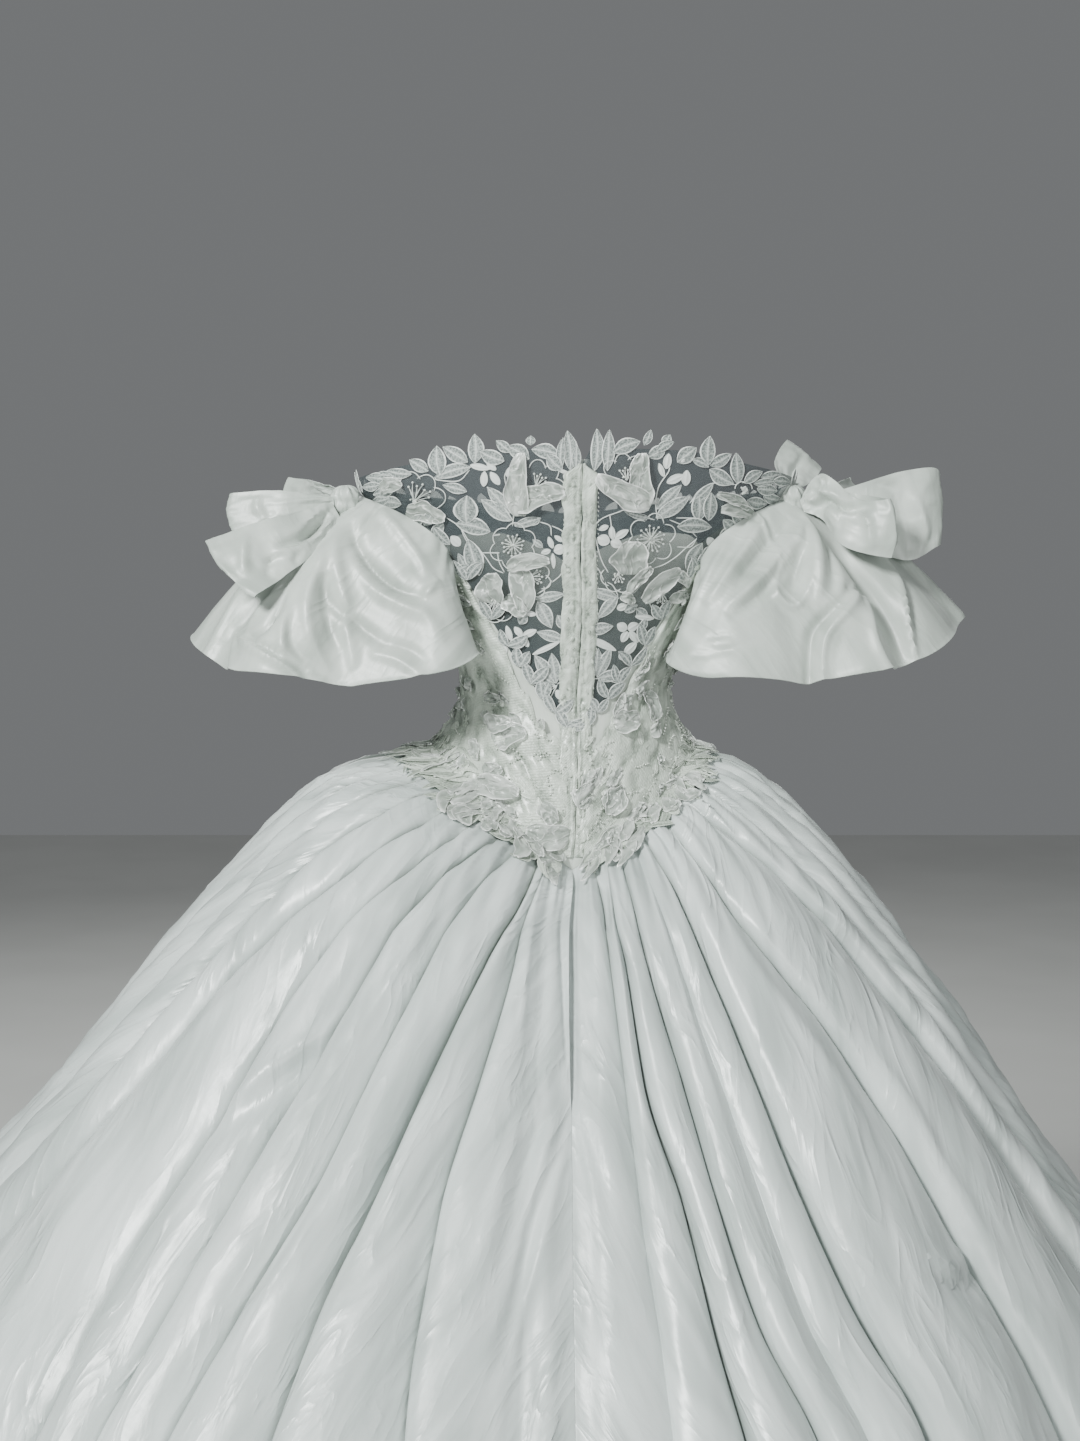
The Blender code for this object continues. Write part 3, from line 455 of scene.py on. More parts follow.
@dataclass(frozen=True)
class TaffetaFinish:
    """Silk taffeta: plain-woven, crisp and papery, with a silky sheen and fine crumples."""

    name: str = "silk_taffeta"
    light: str = "#D4DBDA"
    shade: str = "#B3BCBA"
    streak: float = 42 * MM          # the sheen lies in long streaks down the cloth
    rib: float = 0.9 * MM            # real ribs are 0.2 mm, too fine to show, so they are drawn coarser
    crumple: float = 24 * MM
    crumple_down: float = 62 * MM
    slub: float = 6 * MM
    fold: str = "#8F9791"            # painted shade: the colour that the folds' creases darken towards
    pinch: float = 24 * MM           # sharp little fold lines, which run mostly down the cloth
    pinch_down: float = 90 * MM
    patch: Row = (100 * MM, 160 * MM)    # the fold lines come in patches of about this size
    rough: Row = (0.27, 0.38)
    crisp: float = 0.85              # how sharply the little fold lines show

    def material(self) -> bpy.types.Material:
        """Makes the material.

        Returns:
            The material, which reads the cloth's own places.
        """
        material, tree, shader = new_shader(self.name)
        tree.links.new(self.colour(tree), shader.inputs["Base Color"])
        slub = add_node(tree, "ShaderNodeTexNoise",
                        {"Vector": cloth_place(tree, self.slub * 6, self.slub), "Scale": 1.0, "Detail": 2.0})
        rough = add_node(tree, "ShaderNodeMapRange",
                         {"Value": slub.outputs["Fac"], "To Min": self.rough[0], "To Max": self.rough[1]})
        tree.links.new(rough.outputs["Result"], shader.inputs["Roughness"])
        shader.inputs["Specular IOR Level"].default_value = 0.70
        shader.inputs["Sheen Weight"].default_value = 0.15
        shader.inputs["Sheen Roughness"].default_value = 0.35
        pinched = add_node(tree, "ShaderNodeBump",
                           {"Strength": self.crisp, "Distance": 1.6 * MM, "Height": self.pinches(tree),
                            "Normal": self.weave(tree)})
        tree.links.new(pinched.outputs["Normal"], shader.inputs["Normal"])
        return material

    def colour(self, tree: bpy.types.NodeTree) -> bpy.types.NodeSocket:
        """Streaks the cloth's colour along its length as a painted sheen, and darkens it in the creases as
        painted shade.

        Args:
            tree: Node tree to add to.

        Returns:
            The socket that holds the colour.
        """
        # painted sheen: the colour drifts between the shade and light tones in long streaks down the cloth
        drift = add_node(tree, "ShaderNodeTexNoise",
                         {"Vector": cloth_place(tree, self.streak, self.streak * 6), "Scale": 1.0,
                          "Detail": 3.0,
                          "Distortion": 0.4})
        plain = mixed_colour(tree, drift.outputs["Fac"], self.shade, self.light)
        # painted shade: worked holds the crease mask, and the colour goes towards the fold colour where it is
        # high
        folded = add_node(tree, "ShaderNodeAttribute", attribute_name="worked")
        deep = add_node(tree, "ShaderNodeMapRange", {"Value": folded.outputs["Fac"], "From Min": 0.15,
                                                     "From Max": 1.0, "To Max": 0.92})
        toned = add_node(tree, "ShaderNodeMix", {"Factor": deep.outputs["Result"], "A": plain,
                                                 "B": linear(self.fold)}, data_type="RGBA")
        return toned.outputs["Result"]

    def weave(self, tree: bpy.types.NodeTree) -> bpy.types.NodeSocket:
        """Raises the ribs of the weave and the broad papery crumples over them.

        Args:
            tree: Node tree to add to.

        Returns:
            The socket that holds the normal.
        """
        rib = add_node(tree, "ShaderNodeTexWave",
                       {"Vector": cloth_place(tree, self.rib * 3, self.rib * 3), "Scale": 1.0,
                        "Distortion": 1.6, "Detail": 2.0, "Detail Scale": 0.8},
                       bands_direction="Y")
        crumple = add_node(tree, "ShaderNodeTexNoise",
                           {"Vector": cloth_place(tree, self.crumple, self.crumple_down),
                            "Scale": 1.0, "Detail": 4.0, "Roughness": 0.55, "Distortion": 0.6})
        fine = add_node(tree, "ShaderNodeBump",
                        {"Strength": 0.10, "Distance": 0.15 * MM, "Height": rib.outputs["Fac"]})
        broad = add_node(tree, "ShaderNodeBump",
                         {"Strength": 0.40, "Distance": 1.5 * MM, "Height": crumple.outputs["Fac"],
                          "Normal": fine.outputs["Normal"]})
        return broad.outputs["Normal"]

    def pinches(self, tree: bpy.types.NodeTree) -> bpy.types.NodeSocket:
        """Draws the sharp little fold lines, which come in patches.

        Args:
            tree: Node tree to add to.

        Returns:
            The socket that holds their height.
        """
        patch = add_node(tree, "ShaderNodeTexNoise",
                         {"Vector": cloth_place(tree, *self.patch), "Scale": 1.0, "Detail": 1.0})
        where = add_node(tree, "ShaderNodeMapRange", {"Value": patch.outputs["Fac"], "From Min": 0.38,
                                                      "From Max": 0.66, "To Min": 0.15, "To Max": 1.0})
        pinch = add_node(tree, "ShaderNodeTexNoise",
                         {"Vector": cloth_place(tree, self.pinch, self.pinch_down), "Scale": 1.0,
                          "Detail": 3.0,
                          "Roughness": 0.55, "Lacunarity": 2.1, "Offset": 0.9, "Gain": 1.2,
                          "Distortion": 0.7},
                         noise_type="RIDGED_MULTIFRACTAL")
        height = add_node(tree, "ShaderNodeMath", {0: pinch.outputs["Fac"], 1: where.outputs["Result"]},
                          operation="MULTIPLY")
        return height.outputs["Value"]


@dataclass(frozen=True)
class SatinFinish:
    """Silk satin on its boned backing: a tight float weave, smoother and softer than the taffeta."""

    name: str = "silk_satin"
    light: str = "#CAD0C8"
    shade: str = "#BAC2B9"
    cloud: Row = (20 * MM, 26 * MM)      # soft unevenness of the sheen over the boning
    thread: float = 0.8 * MM         # drawn four times coarser than the real thread
    dimple: Row = (9 * MM, 12 * MM)

    def material(self) -> bpy.types.Material:
        """Makes the material.

        Returns:
            The material, which reads the cloth's own places.
        """
        material, tree, shader = new_shader(self.name)
        drift = add_node(tree, "ShaderNodeTexNoise",
                         {"Vector": cloth_place(tree, *self.cloud), "Scale": 1.0, "Detail": 3.0})
        colour = mixed_colour(tree, drift.outputs["Fac"], self.shade, self.light)
        tree.links.new(colour, shader.inputs["Base Color"])
        shader.inputs["Roughness"].default_value = 0.40
        shader.inputs["Specular IOR Level"].default_value = 0.40
        shader.inputs["Sheen Weight"].default_value = 0.25
        float_line = add_node(tree, "ShaderNodeTexWave",
                              {"Vector": cloth_place(tree, self.thread * 4, self.thread * 3), "Scale": 1.0,
                               "Distortion": 3.0, "Detail": 2.0}, bands_direction="DIAGONAL")
        dimple = add_node(tree, "ShaderNodeTexNoise",
                          {"Vector": cloth_place(tree, *self.dimple), "Scale": 1.0, "Detail": 3.0})
        fine = add_node(tree, "ShaderNodeBump",
                        {"Strength": 0.12, "Distance": 0.1 * MM, "Height": float_line.outputs["Fac"]})
        broad = add_node(tree, "ShaderNodeBump",
                         {"Strength": 0.4, "Distance": 0.7 * MM, "Height": dimple.outputs["Fac"],
                          "Normal": fine.outputs["Normal"]})
        tree.links.new(broad.outputs["Normal"], shader.inputs["Normal"])
        return material


@dataclass(frozen=True)
class NetFinish:
    """Silk tulle: a sheer hexagonal net, its threads and holes painted dark slate for the shade seen through
    it.
    """

    name: str = "silk_tulle"
    # painted shade: the white tulle's threads are set dark slate
    thread: str = "#565E61"
    haze: str = "#3E4548"
    hole: float = 1.7 * MM           # drawn a little coarser than the real 1 mm holes
    cover: float = 0.46

    def material(self) -> bpy.types.Material:
        """Makes the material.

        Returns:
            The material, which reads the cloth's own places.
        """
        material, tree, shader = new_shader(self.name)
        cells = add_node(tree, "ShaderNodeTexVoronoi",
                         {"Vector": cloth_place(tree, self.hole, self.hole), "Scale": 1.0,
                          "Randomness": 0.25},
                         feature="DISTANCE_TO_EDGE", voronoi_dimensions="2D")
        # painted shade: the holes take the dark slate of the shade behind the net
        colour = mixed_colour(tree, cells.outputs["Distance"], self.thread, self.haze, 0.05, 0.18)
        tree.links.new(colour, shader.inputs["Base Color"])
        shader.inputs["Roughness"].default_value = 0.75
        shader.inputs["Specular IOR Level"].default_value = 0.2
        shader.inputs["Alpha"].default_value = self.cover
        bump = add_node(tree, "ShaderNodeBump",
                        {"Strength": 0.3, "Distance": 0.2 * MM, "Height": cells.outputs["Distance"]})
        bump.invert = True
        tree.links.new(bump.outputs["Normal"], shader.inputs["Normal"])
        return material


@dataclass(frozen=True)
class EmbroideryFinish:
    """Corded rayon embroidery: stitched filling over tulle inside raised, brighter thread lines.

    A density of 1 is cord, 0 is filling and -1 is a bare second layer of tulle.
    """

    name: str = "corded_embroidery"
    filling: str = "#ABB2AF"
    hollow: str = "#626B6A"
    line: str = "#DDE1DE"
    # painted shade: the bare tulle is set dark slate like the net
    veil: str = "#646D6F"
    stitch: float = 1.5 * MM         # drawn three times coarser than a real stitch
    share: Row = (0.42, 0.60)        # where the mottled filling goes from hollow to full
    rough: float = 0.50
    relief: float = 0.3 * MM
    gloss: float = 0.0               # silkiness of the thread's surface
    mottle: float = 2.2 * MM

    def material(self) -> bpy.types.Material:
        """Makes the material.

        Returns:
            The material, which reads the cloth's own places.
        """
        material, tree, shader = new_shader(self.name)
        density = add_node(tree, "ShaderNodeAttribute", attribute_name="worked")
        mottle = add_node(tree, "ShaderNodeTexNoise",
                          {"Vector": cloth_place(tree, self.mottle, self.mottle), "Scale": 1.0, "Detail": 2.0,
                           "Roughness": 0.7})
        filling = mixed_colour(tree, mottle.outputs["Fac"], self.hollow, self.filling, *self.share)
        ramp = add_node(tree, "ShaderNodeMapRange", {"Value": density.outputs["Fac"], "From Min": 0.0,
                                                     "From Max": 0.9})
        mix = add_node(tree, "ShaderNodeMix", {"Factor": ramp.outputs["Result"], "A": filling,
                                               "B": linear(self.line)}, data_type="RGBA")
        bare = add_node(tree, "ShaderNodeMapRange", {"Value": density.outputs["Fac"], "From Min": -1.0,
                                                     "From Max": -0.3})
        colour = add_node(tree, "ShaderNodeMix", {"Factor": bare.outputs["Result"], "A": linear(self.veil),
                                                  "B": mix.outputs["Result"]}, data_type="RGBA")
        tree.links.new(colour.outputs["Result"], shader.inputs["Base Color"])
        cover = add_node(tree, "ShaderNodeMapRange", {"Value": density.outputs["Fac"], "From Min": -1.0,
                                                      "From Max": 0.2, "To Min": 0.05, "To Max": 1.0})
        tree.links.new(cover.outputs["Result"], shader.inputs["Alpha"])
        shader.inputs["Roughness"].default_value = self.rough
        shader.inputs["Coat Weight"].default_value = self.gloss
        shader.inputs["Coat Roughness"].default_value = 0.22
        shader.inputs["Specular IOR Level"].default_value = 0.5
        shader.inputs["Sheen Weight"].default_value = 0.2
        stitch = add_node(tree, "ShaderNodeTexWave",
                          {"Vector": cloth_place(tree, self.stitch * 3, self.stitch * 3), "Scale": 1.0,
                           "Distortion": 4.0, "Detail": 2.0, "Detail Scale": 1.5},
                          bands_direction="DIAGONAL")
        bump = add_node(tree, "ShaderNodeBump",
                        {"Strength": 0.5, "Distance": self.relief, "Height": stitch.outputs["Fac"]})
        tree.links.new(bump.outputs["Normal"], shader.inputs["Normal"])
        return material


@dataclass(frozen=True)
class OrganzaFinish:
    """Silk organza petal: thin, stiff and glossy, a little see-through, with a bright rolled edge and painted
    glints on its crushed facets.
    """

    name: str = "silk_organza"
    face: str = "#B4BDB5"
    # whitest tone: the rolled edge's own colour, and the painted glints on the crushed facets
    edge: str = "#FBFCFA"
    cover: float = 0.48
    crush: float = 10 * MM           # size of the crushed facets

    def material(self) -> bpy.types.Material:
        """Makes the material.

        Returns:
            The material, which reads the cloth's own places.
        """
        material, tree, shader = new_shader(self.name)
        density = add_node(tree, "ShaderNodeAttribute", attribute_name="worked")
        vein = add_node(tree, "ShaderNodeTexNoise",
                        {"Vector": cloth_place(tree, self.crush, self.crush * 1.8), "Scale": 1.0,
                         "Detail": 2.0, "Offset": 0.9, "Gain": 1.2, "Distortion": 0.8},
                        noise_type="RIDGED_MULTIFRACTAL")
        # painted highlight: glints on the crushed facets' ridges take the edge colour
        glint = add_node(tree, "ShaderNodeMapRange", {"Value": vein.outputs["Fac"], "From Min": 0.8,
                                                      "From Max": 1.5, "To Max": 0.95})
        bright = add_node(tree, "ShaderNodeMath", {0: density.outputs["Fac"], 1: glint.outputs["Result"]},
                          operation="MAXIMUM")
        mix = add_node(tree, "ShaderNodeMix", {"Factor": bright.outputs["Value"], "A": linear(self.face),
                                               "B": linear(self.edge)}, data_type="RGBA")
        tree.links.new(mix.outputs["Result"], shader.inputs["Base Color"])
        shader.inputs["Roughness"].default_value = 0.24
        shader.inputs["Specular IOR Level"].default_value = 0.75
        shader.inputs["Sheen Weight"].default_value = 0.2
        cover = add_node(tree, "ShaderNodeMapRange", {"Value": bright.outputs["Value"], "To Min": self.cover,
                                                      "To Max": 1.0})
        tree.links.new(cover.outputs["Result"], shader.inputs["Alpha"])
        bump = add_node(tree, "ShaderNodeBump",
                        {"Strength": 0.9, "Distance": 1.6 * MM, "Height": vein.outputs["Fac"]})
        tree.links.new(bump.outputs["Normal"], shader.inputs["Normal"])
        return material


@dataclass(frozen=True)
class TapeFinish:
    """Woven polyester zip tape, matt, with its narrow herringbone ribs."""

    name: str = "woven_tape"
    light: str = "#C9CEC9"
    shade: str = "#B9BFBA"
    rib: float = 1.1 * MM            # drawn twice as coarse as the real herringbone

    def material(self) -> bpy.types.Material:
        """Makes the material.

        Returns:
            The material, which reads the cloth's own places.
        """
        material, tree, shader = new_shader(self.name)
        rib = add_node(tree, "ShaderNodeTexWave",
                       {"Vector": cloth_place(tree, self.rib * 3, self.rib * 3), "Scale": 1.0},
                       bands_direction="X")
        colour = mixed_colour(tree, rib.outputs["Fac"], self.shade, self.light, 0.2, 0.8)
        tree.links.new(colour, shader.inputs["Base Color"])
        shader.inputs["Roughness"].default_value = 0.8
        bump = add_node(tree, "ShaderNodeBump",
                        {"Strength": 0.4, "Distance": 0.2 * MM, "Height": rib.outputs["Fac"]})
        tree.links.new(bump.outputs["Normal"], shader.inputs["Normal"])
        return material


@dataclass(frozen=True)
class BeadFinish:
    """Glass seed beads and French knots in ivory thread: small, round and bright."""

    name: str = "ivory_seed_bead"
    light: str = "#E4E8E2"
    shade: str = "#C2C9BF"
    streak: float = 1.2 * MM

    def material(self) -> bpy.types.Material:
        """Makes the material.

        Returns:
            The material, which reads the object's own places.
        """
        material, tree, shader = new_shader(self.name)
        place = add_node(tree, "ShaderNodeTexCoord")
        cloud = add_node(tree, "ShaderNodeTexNoise",
                         {"Vector": place.outputs["Object"], "Scale": 1.0 / self.streak, "Detail": 2.0})
        colour = mixed_colour(tree, cloud.outputs["Fac"], self.shade, self.light)
        tree.links.new(colour, shader.inputs["Base Color"])
        shader.inputs["Roughness"].default_value = 0.18
        shader.inputs["Coat Weight"].default_value = 0.4
        return material


@dataclass(frozen=True)
class CoilFinish:
    """Moulded nylon coil of a concealed zip: smooth, white and faintly translucent."""

    name: str = "nylon_coil"
    light: str = "#D5D9D3"
    shade: str = "#C4C9C3"
    mark: float = 3.0 * MM

    def material(self) -> bpy.types.Material:
        """Makes the material.

        Returns:
            The material, which reads the object's own places.
        """
        material, tree, shader = new_shader(self.name)
        place = add_node(tree, "ShaderNodeTexCoord")
        cloud = add_node(tree, "ShaderNodeTexNoise",
                         {"Vector": place.outputs["Object"], "Scale": 1.0 / self.mark, "Detail": 2.0})
        colour = mixed_colour(tree, cloud.outputs["Fac"], self.shade, self.light)
        tree.links.new(colour, shader.inputs["Base Color"])
        shader.inputs["Roughness"].default_value = 0.35
        return material


@dataclass(frozen=True)
class StudioFinish:
    """Matt studio paper for the floor."""

    name: str = "studio_paper"
    face: str = "#C9C9C7"
    shade: str = "#C5C5C3"
    clouds_to_a_metre: float = 3.0

    def material(self) -> bpy.types.Material:
        """Makes the material.

        Returns:
            The material, which reads the object's own places.
        """
        material, tree, shader = new_shader(self.name)
        place = add_node(tree, "ShaderNodeTexCoord")
        grain = add_node(tree, "ShaderNodeTexNoise",
                         {"Vector": place.outputs["Object"], "Scale": self.clouds_to_a_metre, "Detail": 2.0})
        colour = mixed_colour(tree, grain.outputs["Fac"], self.shade, self.face)
        tree.links.new(colour, shader.inputs["Base Color"])
        shader.inputs["Roughness"].default_value = 0.9
        return material


class Finish(Enum):
    """The gown's finishes."""

    TAFFETA = TaffetaFinish()
    SATIN = SatinFinish()
    NET = NetFinish()
    EMBROIDERY = EmbroideryFinish()
    GUIPURE = EmbroideryFinish("guipure_lace", filling="#B2BCB0", hollow="#808C7F", line="#D2DACF",
                               veil="#A2ACA2", share=(0.36, 0.60), rough=0.34, relief=0.7 * MM, gloss=0.55)
    # one layer with no lining; its colours are set darker than the skirt's taffeta to paint the shade on the
    # sleeves, knots and bow loops
    FLOUNCE = TaffetaFinish("single_silk_taffeta", "#C6CDC7", "#A8B1AA", rough=(0.34, 0.46), crisp=0.40)
    ORGANZA = OrganzaFinish()
    TAPE = TapeFinish()
    BEAD = BeadFinish()
    COIL = CoilFinish()


class Wardrobe:
    """Makes each finish once and gives it to the pieces."""

    def __init__(self) -> None:
        """Starts with no finish made."""
        self.made: dict[Finish, bpy.types.Material] = {}

    def material(self, finish: Finish) -> bpy.types.Material:
        """Material of a finish, made at its first use.

        Args:
            finish: The finish.

        Returns:
            Its material.
        """
        if finish not in self.made:
            self.made[finish] = finish.value.material()
        return self.made[finish]

    def dress(self, piece: bpy.types.Object, finish: Finish,
              replaced: tuple[str, ...] = ()) -> bpy.types.Object:
        """Gives a piece its finish and fixes it to the gown.

        Args:
            piece: The piece's object.
            finish: Its finish.
            replaced: Names of the frame's nodes that it stands for.

        Returns:
            The piece.
        """
        piece.data.materials.clear()
        piece.data.materials.append(self.material(finish))
        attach(piece, BODY)
        if replaced:
            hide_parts(*replaced)
        return piece


# ---- the figure that every piece is placed on ---------------------------------------------------
WIDEST = 0.985          # share of the half width past which nothing is placed by its distance across


def side_bearing(bearing: np.ndarray) -> np.ndarray:
    """Bearing folded onto 0 to 180, the same for both sides."""
    return np.abs((np.asarray(bearing, float) + 180.0) % 360.0 - 180.0)


@dataclass(frozen=True)
class Figure:
    """The worn bodice's own surface, and the edges that are drawn on it.

    Torso columns: height, half width, back depth, front depth, centre x, turn of the back in degrees.
    The edges (window, sweetheart, neck and waist) have a bearing and a height to a row.
    """

    torso: Table = (
        (-0.205, 0.166, 0.140, 0.138, 0.000, 0.0),
        (-0.160, 0.158, 0.128, 0.130, 0.000, -1.2),
        (-0.100, 0.145, 0.112, 0.118, 0.001, -3.0),
        (-0.040, 0.124, 0.094, 0.103, 0.002, -4.6),
        (0.012, 0.110, 0.083, 0.090, 0.003, -5.6),
        (0.065, 0.119, 0.088, 0.097, -0.002, -4.2),
        (0.117, 0.141, 0.097, 0.103, -0.006, -2.4),
        (0.165, 0.168, 0.103, 0.106, -0.007, -1.4),
        (0.200, 0.204, 0.106, 0.106, -0.008, -1.2),
        (0.228, 0.232, 0.107, 0.106, -0.008, -1.0),
        (0.262, 0.238, 0.106, 0.105, -0.009, -1.0),
        (0.310, 0.240, 0.104, 0.104, -0.010, -1.0),
    )
    cup_bearing: float = 31.0
    cup_height: float = 0.098
    cup_depth: float = 0.020
    cup_spread_degrees: float = 18.0
    cup_spread_height: float = 0.040
    window: Table = ((0.0, -0.036), (9.0, -0.010), (22.0, 0.020), (35.0, 0.056), (46.0, 0.100), (56.0, 0.168))
    armhole_centre: Row = (90.0, 0.166)
    armhole_radius: Row = (34.0, 0.048)
    sweetheart: Table = ((124.0, 0.166), (136.0, 0.178), (150.0, 0.180), (166.0, 0.166), (180.0, 0.140))
    neck: Table = ((0.0, 0.270), (25.0, 0.267), (50.0, 0.252), (72.0, 0.242), (90.0, 0.236),
                   (115.0, 0.226), (150.0, 0.214), (180.0, 0.200))
    waist: Table = ((0.0, -0.162), (14.0, -0.137), (35.0, -0.103), (60.0, -0.070), (90.0, -0.050),
                    (120.0, -0.064), (150.0, -0.112), (180.0, -0.172))

    def ring(self, height: np.ndarray) -> list[np.ndarray]:
        """Half width, back depth, front depth, centre x and back turn at a height."""
        return [smooth(self.torso, height, column) for column in range(1, 6)]

    def point(self, bearing: np.ndarray, height: np.ndarray, lift: np.ndarray = 0.0,
              spread: np.ndarray = 0.0) -> np.ndarray:
        """Point on the bodice's outside.

        Args:
            bearing: Degrees round from the centre back.
            height: Height above the waist.
            lift: How far the point stands off the surface.
            spread: How far the skirt adds to that.

        Returns:
            The points, three numbers each.
        """
        bearing, height = np.broadcast_arrays(np.asarray(bearing, float), np.asarray(height, float))
        half_width, back, front, centre_x, turn = self.ring(height)
        angle = np.radians(bearing)
        angle = angle + np.radians(turn) * np.maximum(np.cos(angle), 0.0)
        depth = np.where(np.cos(angle) > 0, back, front)
        from_cup = np.abs(side_bearing(bearing) - (180.0 - self.cup_bearing)) / self.cup_spread_degrees
        above_cup = (height - self.cup_height) / self.cup_spread_height
        cup = self.cup_depth * np.exp(-(from_cup**2) - above_cup**2)
        across = np.sin(angle) * depth
        along = np.cos(angle) * half_width
        length = np.hypot(across, along)
        out = cup + lift + spread
        x = centre_x + half_width * np.sin(angle) + across / length * out
        y = depth * np.cos(angle) + along / length * out
        return np.stack([x, y, height + 0.0 * x], axis=-1)

    def basque(self, bearing: np.ndarray) -> np.ndarray:
        """Height of the pointed waist seam."""
        return smooth(self.waist, side_bearing(bearing))

    def neckline(self, bearing: np.ndarray) -> np.ndarray:
        """Height of the net's top edge."""
        return smooth(self.neck, side_bearing(bearing))

    def armhole(self, bearing: np.ndarray, side: int) -> np.ndarray:
        """Height of one edge of the armhole.

        Args:
            bearing: Degrees round from the centre back.
            side: 1 for the upper edge, -1 for the lower one.

        Returns:
            The heights.
        """
        across = (side_bearing(bearing) - self.armhole_centre[0]) / self.armhole_radius[0]
        rise = self.armhole_radius[1] * np.sqrt(np.clip(1.0 - across**2, 0.0, 1.0))
        return self.armhole_centre[1] + side * rise

    def panel_top(self, bearing: np.ndarray) -> np.ndarray:
        """Height of the satin's top edge: sheer back, underarm, sweetheart.

        Args:
            bearing: Degrees round from the centre back.

        Returns:
            The heights.
        """
        b = side_bearing(bearing)
        low = self.armhole_centre[0] - self.armhole_radius[0]
        high = self.armhole_centre[0] + self.armhole_radius[0]
        edge = np.where(b > high, smooth(self.sweetheart, b), self.armhole(b, -1))
        return np.where(b < low, smooth(self.window, b), edge)

    def net_foot(self, bearing: np.ndarray) -> np.ndarray:
        """Height of the net's lower edge: sheer back, over the arm, sweetheart.

        Args:
            bearing: Degrees round from the centre back.

        Returns:
            The heights.
        """
        b = side_bearing(bearing)
        low = self.armhole_centre[0] - self.armhole_radius[0]
        high = self.armhole_centre[0] + self.armhole_radius[0]
        return np.where((b < low) | (b > high), self.panel_top(b), self.armhole(b, 1))

    def beside(self, across: np.ndarray, height: np.ndarray) -> np.ndarray:
        """Bearing of a place this many metres to the wearer's left of the centre back line."""
        half_width = self.ring(height)[0]
        return np.degrees(np.arcsin(np.clip(np.asarray(across) / half_width, -WIDEST, WIDEST)))

    def onto_back(self, across: np.ndarray, height: np.ndarray, lift: np.ndarray = 0.0) -> np.ndarray:
        """Point on the back, placed by its distance from the centre back line and its height."""
        return self.point(self.beside(across, height), height, lift)


# ---- creases laid into cloth --------------------------------------------------------------------
class CreaseKind(Enum):
    """How a crease crosses the cloth."""

    ROUND = "a soft trough or ridge"
    CRISP = "a folded edge"
    LIP = "one side stands proud of the other"


@dataclass(frozen=True)
class Crease:
    """One crease, along places given as (across, down) in the cloth's own terms.

    A positive height stands up and a negative one sinks; height and width are in millimetres.
    """

    line: Table
    height: float
    width: float
    kind: CreaseKind = CreaseKind.ROUND
    ends: Row = (0.0, 0.0)            # how much of its height is left at its first and last place

    def relief(self, across: np.ndarray, down: np.ndarray, across_scale: np.ndarray,
               down_scale: np.ndarray) -> np.ndarray:
        """How far the crease moves each place of the cloth.

        Args:
            across: The places' first coordinate.
            down: The places' second coordinate.
            across_scale: Metres in one unit of the first.
            down_scale: Metres in one unit of the second.

        Returns:
            The heights, in metres.
        """
        total = np.zeros(across.shape)
        line = path_points(self.line, max(9, 6 * len(self.line)))
        width = self.width * MM
        margin_across = 4.0 * width / np.median(across_scale)
        margin_down = 4.0 * width / np.median(down_scale)
        low, high = line.min(axis=0), line.max(axis=0)
        near = (across > low[0] - margin_across) & (across < high[0] + margin_across)
        near &= (down > low[1] - margin_down) & (down < high[1] + margin_down)
        if not near.any():
            return total
        a, d = across[near], down[near]
        sx = np.broadcast_to(across_scale, across.shape)[near]
        sy = np.broadcast_to(down_scale, down.shape)[near]
        best = np.full(a.shape, math.inf)
        signed = np.zeros(a.shape)
        place = np.zeros(a.shape)
        for i in range(len(line) - 1):
            px, py = (a - line[i, 0]) * sx, (d - line[i, 1]) * sy
            qx, qy = (line[i + 1, 0] - line[i, 0]) * sx, (line[i + 1, 1] - line[i, 1]) * sy
            t = np.clip((px * qx + py * qy) / np.maximum(qx * qx + qy * qy, 1e-12), 0.0, 1.0)
            away = np.hypot(px - t * qx, py - t * qy)
            closer = away < best
            best = np.where(closer, away, best)
            signed = np.where(closer, np.sign(qx * py - qy * px) * away, signed)
            place = np.where(closer, (i + t) / (len(line) - 1), place)
        ends = self.ends[0] + (self.ends[1] - self.ends[0]) * place
        strength = ends + (1.0 - ends) * np.sin(math.pi * place) ** 0.7
        if self.kind is CreaseKind.CRISP:
            shape = np.exp(-(np.hypot(best / width, 0.5) - 0.5) * 1.35)
        elif self.kind is CreaseKind.LIP:
            shape = signed / width * np.exp(0.5 - 0.5 * (signed / width) ** 2)
        else:
            shape = np.exp(-((best / width) ** 2))
        total[near] = self.height * MM * strength * shape
        return total


@dataclass(frozen=True)
class Crumple:
    """One layer of crumples or slow waves all over a cloth; its height and sizes are in metres.

    It fades in over the first share of the fall, because the seam holds the cloth smooth.
    """

    height: float
    across: float
    down: float
    seed: int
    octaves: int                      # 0 for a soft wave, more for a creased one
    fade: float

    def relief(self, across: np.ndarray, down: np.ndarray, share: np.ndarray) -> np.ndarray:
        """How far the layer moves each place of the cloth.

        Args:
            across: Metres across the cloth.
            down: Metres down it.
            share: Share of the fall.

        Returns:
            The heights, in metres.
        """
        x, y = across / self.across, down / self.down
        shape = ridges(x, y, self.seed, self.octaves) if self.octaves else noise(x, y, self.seed)
        return self.height * shape * np.clip(share / self.fade, 0.0, 1.0)


@dataclass(frozen=True)
class Gather:
    """One rank of gathers under a seam; its height is in metres and its pitch in degrees round."""

    height: float
    reach: float                      # share of the fall over which it dies away
    pitch: float
    wander: Row                       # how much it wanders, over how many degrees, how fast down the fall
    seed: int

    def relief(self, bearing: np.ndarray, share: np.ndarray) -> np.ndarray:
        """How far the gathers lift each place of the cloth.

        Args:
            bearing: Degrees round.
            share: Share of the fall.

        Returns:
            The heights, in metres.
        """
        amount, degrees, pace = self.wander
        phase = bearing / self.pitch + amount * noise(bearing / degrees, share * pace, self.seed)
        return self.height * np.exp(-share / self.reach) * np.cos(2 * math.pi * phase)


